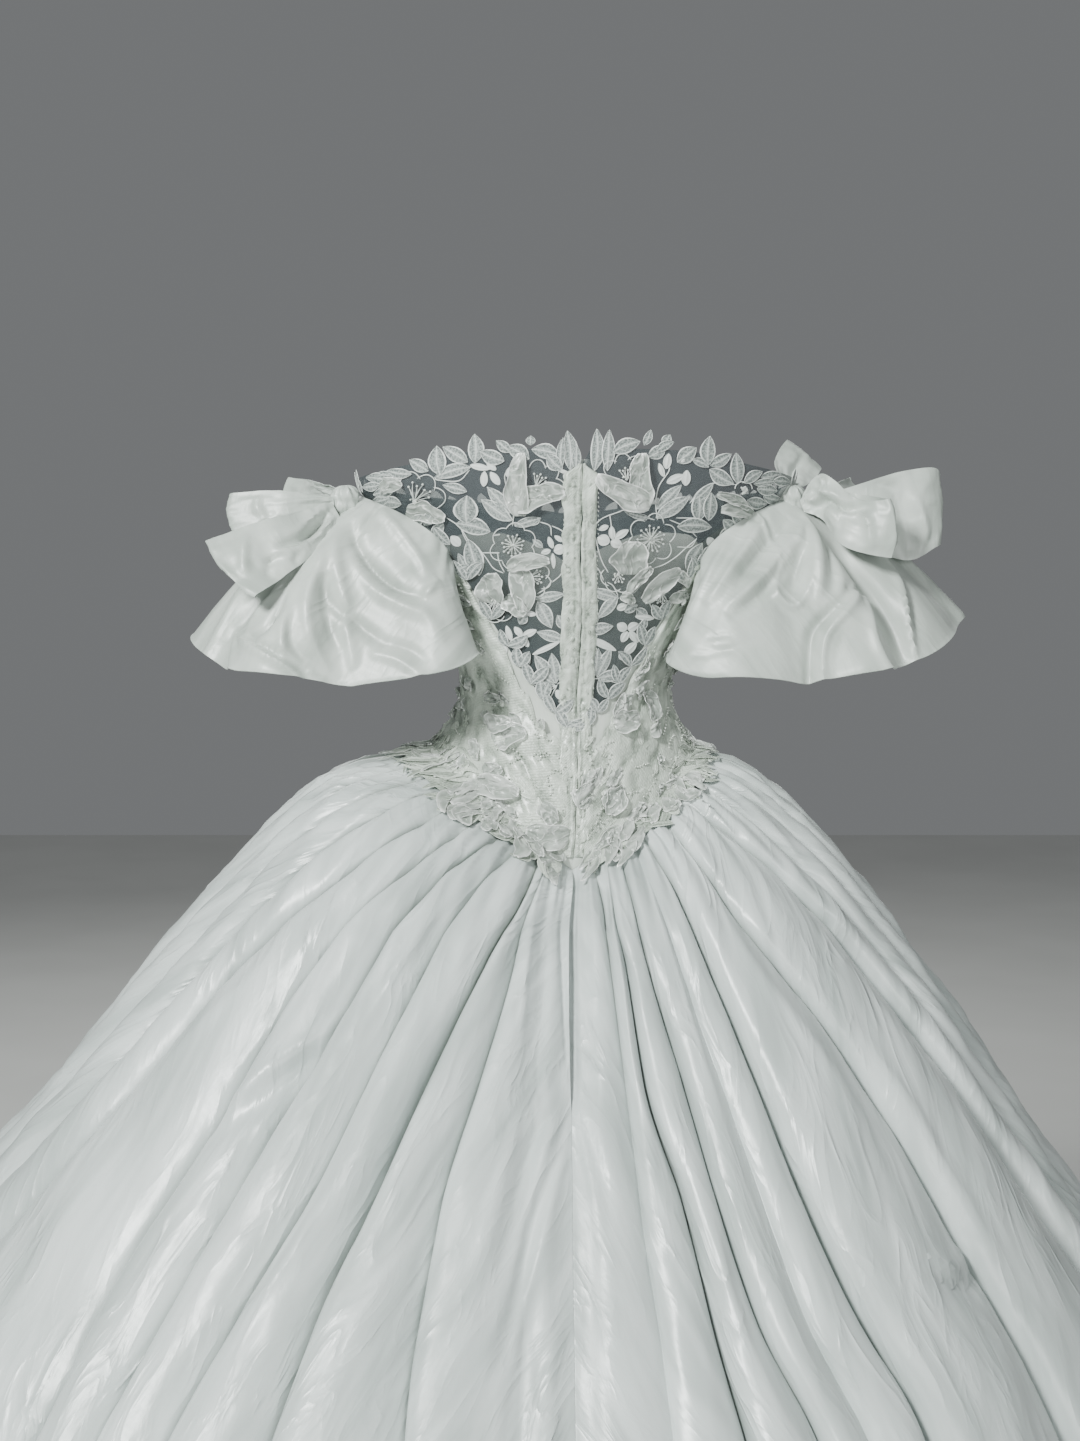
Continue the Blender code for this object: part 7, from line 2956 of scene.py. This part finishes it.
RIGHT_PLAIN = (
    (-101, 254, -108, 260, 7), (-85, 240, -79, 254, 6), (-87, 248, -89, 264, 9), (-88, 234, -106, 242, 9),
    (-108, 231, -109, 247, 10), (-28, 190, -18, 186, 6), (-33, 176, -31, 190, 7), (-35, 177, -49, 186, 8),
    (-30, 173, -17, 178, 12), (-31, 174, -43, 170, 10), (-9, 74, -40, 60, 8), (-143, 169, -135, 177, 9),
    (-38, 104, -49, 108, 8), (-58, 96, -80, 93, 7), (-50, 82, -39, 88, 10), (-51, 82, -62, 88, 10),
    (-51, 80, -45, 69, 9), (-53, 80, -64, 68, 8), (-49, 56, -62, 68, 10), (-44, 58, -51, 50, 9),
    (-8, 23, -13, 10, 10),
)
LEFT_PETALS = (
    (62, 200, 62, 264, 23, 5, 3), (70, 210, 17, 225, 26, 6, 5), (178, 205, 137, 198, 22, 5, 4),
    (206, 226, 182, 234, 16, 4, 3), (74, 147, 31, 154, 17, 5, 4), (63, 148, 56, 101, 26, 6, 4),
    (86, 110, 88, 141, 26, 7, 4), (76, 116, 55, 98, 19, 6, 4),
)
RIGHT_PETALS = (
    (-72, 212, -15, 240, 26, 6, 5), (-64, 209, -61, 264, 25, 5, 3), (-52, 140, -52, 174, 40, 7, 5),
    (-50, 120, -74, 147, 12, 4, 3), (-66, 112, -105, 144, 19, 6, 4), (-102, 142, -114, 125, 11, 4, 3),
    (-42, 118, -56, 110, 11, 4, 3), (-96, 112, -114, 120, 12, 5, 3), (-142, 222, -177, 207, 11, 4, 3),
    (-147, 206, -185, 200, 14, 4, 3),
)
LEFT_LOW_PETALS = (
    (86, -20, 62, -14, 20, 7, 5), (80, -36, 50, -22, 25, 6, 4), (87, 8, 72, 10, 14, 5, 3),
    (91, -68, 72, -62, 15, 6, 4), (98, -80, 56, -86, 24, 8, 5), (101, -84, 80, -104, 24, 6, 3),
    (6, -128, 48, -124, 26, 8, 5), (34, -96, 20, -116, 18, 6, 4),
)
RIGHT_LOW_PETALS = (
    (-40, -18, -66, -10, 24, 8, 4), (-76, 16, -83, -16, 18, 7, 5), (-42, -80, -36, -108, 22, 7, 3),
    (-96, -92, -122, -104, 22, 8, 5), (-96, -82, -120, -82, 12, 5, 3), (-30, -136, -44, -156, 18, 6, 3),
)
LEFT_FLOWERS = (
    (46, 230, 28, 8, 0, 44, 3, 12, 0, 100, 8), (170, 215, 32, 10, 10, 46, 3, 18, 15, 95, 7),
    (68, 170, 24, 9, 85, 60, 6, 10, 0, 360, 15), (52, 137, 22, 7, -58, 40, 3, 12, -36, 78, 7),
    (86, 111, 22, 9, -128, 38, 3, 11, -150, 120, 9),
)
RIGHT_FLOWERS = (
    (-46, 238, 26, 8, 62, 42, 3, 10, 52, 80, 6), (-73, 176, 26, 9, 20, 60, 6, 13, 0, 360, 18),
    (-39, 140, 19, 8, 195, 50, 3, 8, 225, 95, 5), (-86, 120, 18, 8, -112, 44, 2, 10, -128, 74, 6),
    (-171, 224, 12, 6, 60, 60, 2, 5, 60, 60, 4),
)
LEFT_STEMS = (
    ((70, 190), (69, 203), (71, 213), (76, 230), (78, 242), (71, 250)), ((70, 196), (86, 220)),
    ((69, 192), (57, 190), (45, 192), (42, 198)), ((137, 198), (123, 188), (112, 172), (100, 162)),
    ((123, 189), (118, 178), (114, 172)), ((102, 165), (95, 156), (88, 146), (78, 141)),
    ((89, 180), (82, 181)), ((16, 152), (20, 140), (29, 132)), ((42, 194), (32, 190), (30, 180)),
    ((30, 190), (21, 186), (17, 182)), ((84, 162), (82, 152), (77, 142)),
    ((99, 162), (86, 162), (82, 162)), ((149, 239), (146, 237), (125, 236), (114, 247)),
    ((20, 24), (39, 18)), ((20, 24), (34, 12)), ((20, 24), (27, 10)), ((20, 25), (14, 30)),
    ((44, 120), (35, 126), (29, 134)),
)
RIGHT_STEMS = (
    ((-13, 190), (-22, 198), (-38, 204), (-46, 206), (-62, 200), (-76, 196)),
    ((-79, 196), (-77, 213), (-80, 230), (-89, 244), (-91, 250)), ((-92, 196), (-111, 188), (-123, 178)),
    ((-102, 168), (-117, 168), (-123, 177)),
    ((-77, 146), (-89, 150), (-102, 158), (-111, 166), (-123, 176)), ((-29, 202), (-31, 190), (-33, 176)),
    ((-15, 179), (-22, 155), (-29, 142)), ((-10, 154), (-19, 145), (-24, 134)),
    ((-16, 31), (-28, 30), (-46, 25)), ((-27, 26), (-37, 16)),
    ((-113, 213), (-126, 228), (-140, 234), (-164, 232)), ((-99, 198), (-121, 197), (-137, 189)),
    ((-28, 132), (-34, 128), (-39, 118)),
)


# ---- the whole gown -----------------------------------------------------------------------------
LEFT_HEM = (
    (0.0, 0.225, 0.142, 0.030), (28.0, 0.300, 0.138, 0.039), (52.0, 0.362, 0.106, 0.044),
    (72.0, 0.386, 0.052, 0.058), (90.0, 0.396, 0.000, 0.072), (112.0, 0.380, -0.062, 0.062),
    (140.0, 0.330, -0.116, 0.040), (180.0, 0.236, -0.140, 0.026), (215.0, 0.160, -0.142, 0.034),
    (245.0, 0.120, -0.100, 0.050), (270.0, 0.112, 0.000, 0.062), (295.0, 0.096, 0.106, 0.058),
    (325.0, 0.132, 0.138, 0.038), (360.0, 0.225, 0.142, 0.030),
)
RIGHT_HEM = (
    (0.0, 0.240, 0.142, 0.034), (28.0, 0.318, 0.136, 0.042), (52.0, 0.366, 0.106, 0.054),
    (72.0, 0.398, 0.050, 0.076), (90.0, 0.428, 0.000, 0.090), (112.0, 0.392, -0.062, 0.074),
    (140.0, 0.340, -0.116, 0.048), (180.0, 0.246, -0.140, 0.032), (215.0, 0.166, -0.142, 0.038),
    (245.0, 0.124, -0.100, 0.052), (270.0, 0.114, 0.000, 0.060), (295.0, 0.104, 0.104, 0.048),
    (325.0, 0.150, 0.138, 0.034), (360.0, 0.240, 0.142, 0.034),
)
LEFT_FOLDS = (
    (8.0, -0.010, 12.0), (32.0, 0.010, 13.0), (56.0, -0.012, 12.0), (80.0, 0.010, 12.0),
    (106.0, -0.010, 13.0), (134.0, 0.012, 14.0), (164.0, -0.012, 14.0), (198.0, 0.010, 14.0),
    (326.0, 0.008, 14.0),
)
RIGHT_FOLDS = (
    (4.0, -0.014, 10.0), (24.0, 0.012, 11.0), (42.0, -0.014, 10.0), (66.0, 0.012, 12.0),
    (92.0, -0.008, 12.0), (118.0, 0.010, 13.0), (146.0, -0.012, 14.0), (178.0, 0.012, 14.0),
    (334.0, 0.008, 14.0),
)
LEFT_KNOT = (0.236, 0.027, 0.2165)
RIGHT_KNOT = (-0.238, 0.027, 0.2165)
LEFT_LOOPS = (
    Loop("loop_left_outer", ((249, 30, 220, 248, 34, 209), (275, 36, 223, 279, 42, 201),
                             (318, 34, 226, 317, 46, 191),
                             (360, 26, 223, 356, 40, 184), (327, 12, 223, 323, 26, 188),
                             (256, 16, 216, 256, 20, 208)),
         3.0, 0.5, 3, (Crease(((0.44, -0.7), (0.43, 0.1), (0.40, 0.7)), 2.6, 4.0),)),
    Loop("loop_left_lower", ((250, 36, 213, 239, 44, 195), (282, 56, 204, 258, 70, 166),
                             (327, 74, 192, 288, 100, 143), (377, 80, 174, 320, 124, 119),
                             (339, 60, 181, 299, 92, 145), (257, 34, 208, 248, 38, 198)), 8.0, 1.0, 7,
         (Crease(((0.06, -0.3), (0.16, -0.1), (0.27, 0.1), (0.36, 0.0)), -9.0, 6.0),
          Crease(((0.05, -0.6), (0.16, -0.5), (0.28, -0.3)), 4.0, 4.0, CreaseKind.CRISP),
          Crease(((0.04, 0.1), (0.17, 0.3), (0.28, 0.3), (0.38, 0.1)), 4.6, 4.0, CreaseKind.CRISP),
          Crease(((0.05, 0.6), (0.20, 0.8), (0.34, 0.7)), 3.0, 5.0),
          Crease(((0.38, 0.2), (0.44, 0.5), (0.47, 0.9)), -3.4, 3.0, CreaseKind.CRISP),
          Crease(((0.36, 0.4), (0.42, 0.3), (0.50, 0.1)), -3.2, 3.0, CreaseKind.CRISP),
          Crease(((0.30, 0.5), (0.35, 0.9)), -3.0, 2.6, CreaseKind.CRISP),
          Crease(((0.44, -0.8), (0.47, -0.2), (0.52, 0.4)), 4.0, 5.0))),
    Loop("loop_left_front", ((246, 8, 223, 246, 8, 212), (273, -40, 232, 268, -40, 214),
                             (292, -90, 238, 298, -84, 194),
                             (311, -112, 241, 322, -100, 194), (275, -80, 236, 272, -76, 211),
                             (245, -4, 225, 245, -4, 216)), 6.0, 1.0, 11),
)
RIGHT_LOOPS = (
    Loop("loop_right_near", ((-244, 38, 216, -248, 42, 204), (-265, 52, 244, -265, 58, 196),
                             (-298, 76, 218, -287, 82, 168), (-329, 92, 217, -332, 100, 157),
                             (-312, 66, 221, -311, 76, 167), (-258, 32, 229, -257, 38, 204)), 7.0, 0.7, 17,
         (Crease(((0.03, 0.3), (0.16, 0.6), (0.26, 0.1), (0.38, -0.6), (0.48, -0.9)), -8.0, 5.5),
          Crease(((0.04, 0.0), (0.16, 0.3), (0.26, -0.2), (0.38, -0.8)), 4.4, 4.0, CreaseKind.CRISP),
          Crease(((0.24, 0.4), (0.36, -0.3), (0.44, -0.5), (0.47, 0.2), (0.49, 0.8)), 3.6, 3.6,
                 CreaseKind.CRISP),
          Crease(((0.20, -0.9), (0.24, -0.4), (0.22, 0.0)), 3.0, 4.0),
          Crease(((0.08, -0.6), (0.14, -0.2), (0.20, 0.1)), -2.6, 3.4))),
    Loop("loop_right_far", ((-253, 24, 216, -255, 26, 202), (-298, 30, 230, -301, 34, 174),
                            (-351, 32, 246, -355, 44, 153),
                            (-389, 26, 250, -387, 38, 166), (-391, 13, 236, -390, 25, 173),
                            (-334, 3, 233, -334, 13, 184),
                            (-258, 12, 216, -258, 14, 206)), 1.5, 0.8, 21,
         (Crease(((0.30, -0.9), (0.33, 0.0), (0.36, 0.9)), -4.5, 9.0),
          Crease(((0.38, -0.5), (0.41, 0.1), (0.44, 0.7)), 3.0, 4.0, CreaseKind.CRISP),
          Crease(((0.24, -0.9), (0.31, -0.6)), -3.0, 3.0, CreaseKind.CRISP))),
    Loop("loop_right_standing", ((-230, 6, 233, -244, 4, 227), (-223, -22, 255, -264, -24, 236),
                                 (-238, -44, 280, -277, -46, 250), (-245, -62, 269, -269, -60, 245),
                                 (-239, -6, 231, -248, -8, 227)), 3.0, 0.6, 25,
         (Crease(((0.10, 0.2), (0.30, 0.1), (0.48, 0.0)), -3.6, 4.0, CreaseKind.CRISP),)),
    Loop("loop_right_front", ((-255, 6, 221, -255, 6, 210), (-288, -50, 232, -290, -48, 208),
                              (-317, -104, 241, -337, -96, 190), (-301, -80, 236, -309, -74, 203),
                              (-256, -6, 219, -256, -6, 212)), 5.0, 1.0, 29),
)
# creases run along (turn, share of the fall); heights and widths are in millimetres
LEFT_CREASES = (
    Crease(((29, 0.15), (18, 0.26), (9, 0.34), (-1, 0.40), (-12, 0.46), (-24, 0.48)), -9.0, 6.5,
           CreaseKind.CRISP),
    Crease(((20, 0.27), (8, 0.42), (-6, 0.51), (-18, 0.57), (-27, 0.62), (-36, 0.83)), 5.5, 8.0),
    Crease(((26, 0.03), (4, 0.09), (-14, 0.20), (-25, 0.34)), 3.6, 6.0),
    Crease(((-30, 0.31), (-26, 0.42), (-23, 0.48)), 5.0, 4.6, CreaseKind.CRISP),
    Crease(((34, 0.20), (22, 0.39), (12, 0.58), (5, 0.78), (0, 0.92)), 5.0, 7.0),
    Crease(((36, 0.30), (28, 0.42), (26, 0.58), (22, 0.72), (16, 0.86), (8, 0.99)), 5.0, 7.0),
    Crease(((27, 0.42), (16, 0.60), (-1, 0.71), (-12, 0.80)), -5.0, 7.0),
    Crease(((24, 0.46), (17, 0.66), (9, 0.84)), -5.0, 6.0),
    Crease(((40, 0.56), (46, 0.69), (51, 0.82)), 5.0, 4.6, CreaseKind.CRISP),
    Crease(((37, 0.58), (36, 0.70), (39, 0.80), (51, 0.84)), -6.0, 4.6, CreaseKind.CRISP),
    Crease(((32, 0.66), (28, 0.83), (24, 0.93), (12, 1.00)), 4.6, 4.6, CreaseKind.CRISP, (0.0, 0.8)),
    Crease(((29, 0.70), (25, 0.83), (18, 0.93)), -3.4, 4.0),
    Crease(((62, 0.83), (42, 0.86), (28, 0.93), (19, 1.00)), 6.0, 4.6, CreaseKind.CRISP, (0.3, 1.0)),
    Crease(((48, 0.82), (30, 0.89), (18, 0.97)), -7.0, 4.4, CreaseKind.ROUND, (0.0, 0.8)),
    Crease(((59, 0.84), (54, 0.91), (44, 1.00)), 4.0, 5.0, CreaseKind.ROUND, (0.2, 1.0)),
    Crease(((-6, 0.83), (-16, 0.88), (-22, 0.94), (-27, 1.00)), 4.0, 4.6, CreaseKind.ROUND, (0.2, 0.8)),
    Crease(((-8, 0.77), (-20, 0.82), (-29, 0.93)), -3.6, 6.0),
    Crease(((72, 0.55), (68, 0.78), (66, 0.98)), 6.0, 8.0, CreaseKind.ROUND, (0.1, 1.0)),
    Crease(((56, 0.50), (60, 0.74), (62, 0.92)), -6.0, 8.0),
    Crease(((100, 0.30), (104, 0.65), (102, 1.00)), 7.0, 9.0, CreaseKind.ROUND, (0.1, 1.0)),
    Crease(((128, 0.28), (132, 0.60), (126, 0.95)), -7.0, 8.0),
    Crease(((160, 0.20), (158, 0.55), (168, 0.98)), 6.0, 8.0, CreaseKind.ROUND, (0.1, 0.9)),
    Crease(((-160, 0.25), (-150, 0.60), (-155, 0.95)), -6.0, 8.0),
)
RIGHT_CREASES = (
    Crease(((18, 0.03), (-2, 0.13), (-18, 0.26), (-31, 0.39), (-40, 0.45)), 5.0, 7.0),
    Crease(((22, 0.12), (1, 0.22), (-12, 0.31), (-22, 0.41)), -7.0, 7.0),
    Crease(((22, 0.19), (4, 0.32), (-12, 0.43), (-28, 0.54)), 5.0, 5.5, CreaseKind.CRISP),
    Crease(((18, 0.28), (0, 0.43), (-18, 0.55), (-27, 0.61)), -5.0, 6.0),
    Crease(((25, 0.18), (12, 0.31), (3, 0.40), (-3, 0.50), (1, 0.58), (6, 0.60), (11, 0.55), (15, 0.47),
            (19, 0.37),
            (26, 0.22)), 4.6, 4.6, CreaseKind.CRISP, (0.6, 0.6)),
    Crease(((18, 0.28), (9, 0.42), (5, 0.53)), -7.0, 6.5),
    Crease(((34, 0.12), (23, 0.34), (17, 0.50), (12, 0.62)), 5.4, 5.0),
    Crease(((36, 0.26), (24, 0.46), (17, 0.60)), -3.6, 5.0),
    Crease(((32, 0.53), (17, 0.65), (9, 0.74), (6, 0.86), (4, 1.00)), -6.5, 5.5, CreaseKind.ROUND,
           (0.0, 1.0)),
    Crease(((36, 0.55), (20, 0.69), (13, 0.78), (10, 0.89), (9, 1.00)), 5.4, 4.6, CreaseKind.CRISP,
           (0.2, 1.0)),
    Crease(((28, 0.55), (44, 0.62)), -4.0, 4.6, CreaseKind.CRISP, (0.5, 0.0)),
    Crease(((42, 0.30), (43, 0.47), (46, 0.61), (47, 0.78), (46, 0.97)), -9.0, 9.5, CreaseKind.ROUND,
           (0.2, 0.6)),
    Crease(((64, 0.45), (58, 0.66), (53, 0.82), (50, 0.97)), 6.4, 6.0, CreaseKind.CRISP, (0.1, 0.8)),
    Crease(((43, 0.58), (32, 0.70), (27, 0.85), (28, 1.00)), 4.6, 4.6, CreaseKind.CRISP, (0.2, 0.9)),
    Crease(((61, 0.66), (56, 0.80), (52, 0.97)), -3.6, 4.6, CreaseKind.CRISP, (0.2, 0.6)),
    Crease(((-48, 0.84), (-34, 0.83), (-24, 0.84)), -1.6, 3.4),
    Crease(((-44, 0.77), (-30, 0.81), (-16, 0.79)), -1.6, 3.0),
    Crease(((-40, 0.70), (-25, 0.73)), -1.2, 3.0),
    Crease(((-12, 0.03), (-30, 0.19), (-48, 0.42), (-56, 0.70)), 3.6, 7.0),
    Crease(((78, 0.30), (80, 0.60), (84, 0.97)), 7.0, 9.0, CreaseKind.ROUND, (0.1, 1.0)),
    Crease(((104, 0.30), (108, 0.62), (104, 0.97)), -8.0, 8.0, CreaseKind.ROUND, (0.1, 0.8)),
    Crease(((136, 0.22), (132, 0.58), (138, 0.98)), 7.0, 8.0, CreaseKind.ROUND, (0.1, 1.0)),
    Crease(((166, 0.22), (170, 0.60), (166, 0.96)), -6.0, 8.0),
    Crease(((-158, 0.24), (-152, 0.62), (-156, 0.96)), 6.0, 8.0, CreaseKind.ROUND, (0.1, 0.9)),
)


CUTS = (
    Cut("satin_back_left", 0.325, 0.250, 0.0324, "stretched", (),
        ("waist_lace_left", "waist_petals_left", "waist_seed_beads")),
    Cut("satin_back_right", 0.322, 0.254, 0.0295, "stretched", (),
        ("waist_lace_right", "waist_petals_right")),
    Cut("satin_side_front_left", 0.150, 0.308, 0.0271, "stretched"),
    Cut("satin_side_front_right", 0.150, 0.312, 0.0277, "stretched"),
    Cut("satin_centre_front", 0.205, 0.322, 0.0443, "stretched", (),
        ("waist_lace_front", "waist_petals_front")),
    Cut("net_back_net_left", 0.385, 0.300, 0.0379, "stretched", ("satin_back_left",),
        ("edge_leaves_left", "back_embroidery_left", "organza_petals_left", "flower_knots")),
    Cut("net_back_net_right", 0.385, 0.300, 0.0368, "stretched", ("satin_back_right",),
        ("edge_leaves_right", "back_embroidery_right", "organza_petals_right")),
    Cut("net_front_net", 0.570, 0.075, 0.0195, "stretched", ("satin_centre_front",),
        ("edge_leaves_front", "front_embroidery", "organza_petals_front")),
    Cut("lace_strip_left", 0.019, 0.404, 0.0076, "laid", ("satin_back_left", "net_back_net_left"),
        ("strip_stitches",)),
    Cut("lace_strip_right", 0.016, 0.404, 0.0064, "laid", ("satin_back_right", "net_back_net_right")),
    Cut("woven_zip_tape_left", 0.013, 0.410, 0.0053, "laid", ("satin_back_left",), ("zip_coil",)),
    Cut("woven_zip_tape_right", 0.013, 0.410, 0.0053, "laid", ("satin_back_right",)),
    Cut("taffeta_skirt_back_left", 1.46, 1.40, 1.18, "gathered", ("satin_back_left",)),
    Cut("taffeta_skirt_side_left", 1.55, 1.42, 1.22, "gathered",
        ("satin_back_left", "satin_side_front_left")),
    Cut("taffeta_skirt_front", 1.36, 1.30, 0.99, "gathered", ("satin_centre_front",)),
    Cut("taffeta_skirt_side_right", 1.30, 1.30, 0.99, "gathered",
        ("satin_back_right", "satin_side_front_right")),
    Cut("taffeta_skirt_back_right", 1.41, 1.28, 1.07, "gathered", ("satin_back_right",)),
    Cut("taffeta_sleeve_left", 1.05, 0.24, 0.137, "gathered", ("net_back_net_left", "satin_back_left")),
    Cut("taffeta_sleeve_right", 1.06, 0.24, 0.140, "gathered", ("net_back_net_right", "satin_back_right")),
    Cut("ribbon_knot_left", 0.090, 0.048, 0.0029, "folded", ("taffeta_sleeve_left",)),
    Cut("ribbon_knot_right", 0.090, 0.048, 0.0029, "folded", ("taffeta_sleeve_right",)),
    Cut("ribbon_loop_left_outer", 0.230, 0.042, 0.0074, "folded", ("ribbon_knot_left",)),
    Cut("ribbon_loop_left_lower", 0.290, 0.092, 0.0180, "folded", ("ribbon_knot_left",)),
    Cut("ribbon_loop_left_front", 0.290, 0.053, 0.0090, "folded", ("ribbon_knot_left",)),
    Cut("ribbon_loop_right_near", 0.250, 0.062, 0.0118, "folded", ("ribbon_knot_right",)),
    Cut("ribbon_loop_right_far", 0.310, 0.095, 0.0174, "folded", ("ribbon_knot_right",)),
    Cut("ribbon_loop_right_standing", 0.170, 0.051, 0.0056, "folded", ("ribbon_knot_right",)),
    Cut("ribbon_loop_right_front", 0.265, 0.057, 0.0084, "folded", ("ribbon_knot_right",)),
)


def main() -> None:
    """Dresses the frame, in order from the skirt to the lace."""
    logging.basicConfig(level=logging.INFO, format="%(message)s")
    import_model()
    Studio().build()
    wardrobe = Wardrobe()
    figure = Figure()
    skirt = Skirt(figure)
    assemblies = (
        skirt,
        Bodice(figure),
        Sleeve(figure, Side.LEFT, LEFT_HEM, LEFT_FOLDS, LEFT_CREASES),
        Sleeve(figure, Side.RIGHT, RIGHT_HEM, RIGHT_FOLDS, RIGHT_CREASES),
        BackLace(figure, Side.LEFT, LEFT_LACY, LEFT_VEINED, LEFT_PLAIN, LEFT_FLOWERS, LEFT_STEMS,
                 LEFT_PETALS),
        BackLace(figure, Side.RIGHT, RIGHT_LACY, RIGHT_VEINED, RIGHT_PLAIN, RIGHT_FLOWERS, RIGHT_STEMS,
                 RIGHT_PETALS),
        FrontLace(figure),
        WaistLace(figure, skirt, LEFT_LOW_PETALS, RIGHT_LOW_PETALS),
        BackClosing(figure),
        Bow(Side.LEFT, LEFT_KNOT, LEFT_LOOPS),
        Bow(Side.RIGHT, RIGHT_KNOT, RIGHT_LOOPS),
        FineWork(figure, skirt, (*LEFT_FLOWERS, *RIGHT_FLOWERS)),
    )
    for assembly in assemblies:
        for piece in assembly.build(wardrobe):
            LOG.info("%s: %d faces", piece.name, len(piece.data.polygons))
    for cut in CUTS:
        cut.declare()


if __name__ == "__main__":
    main()
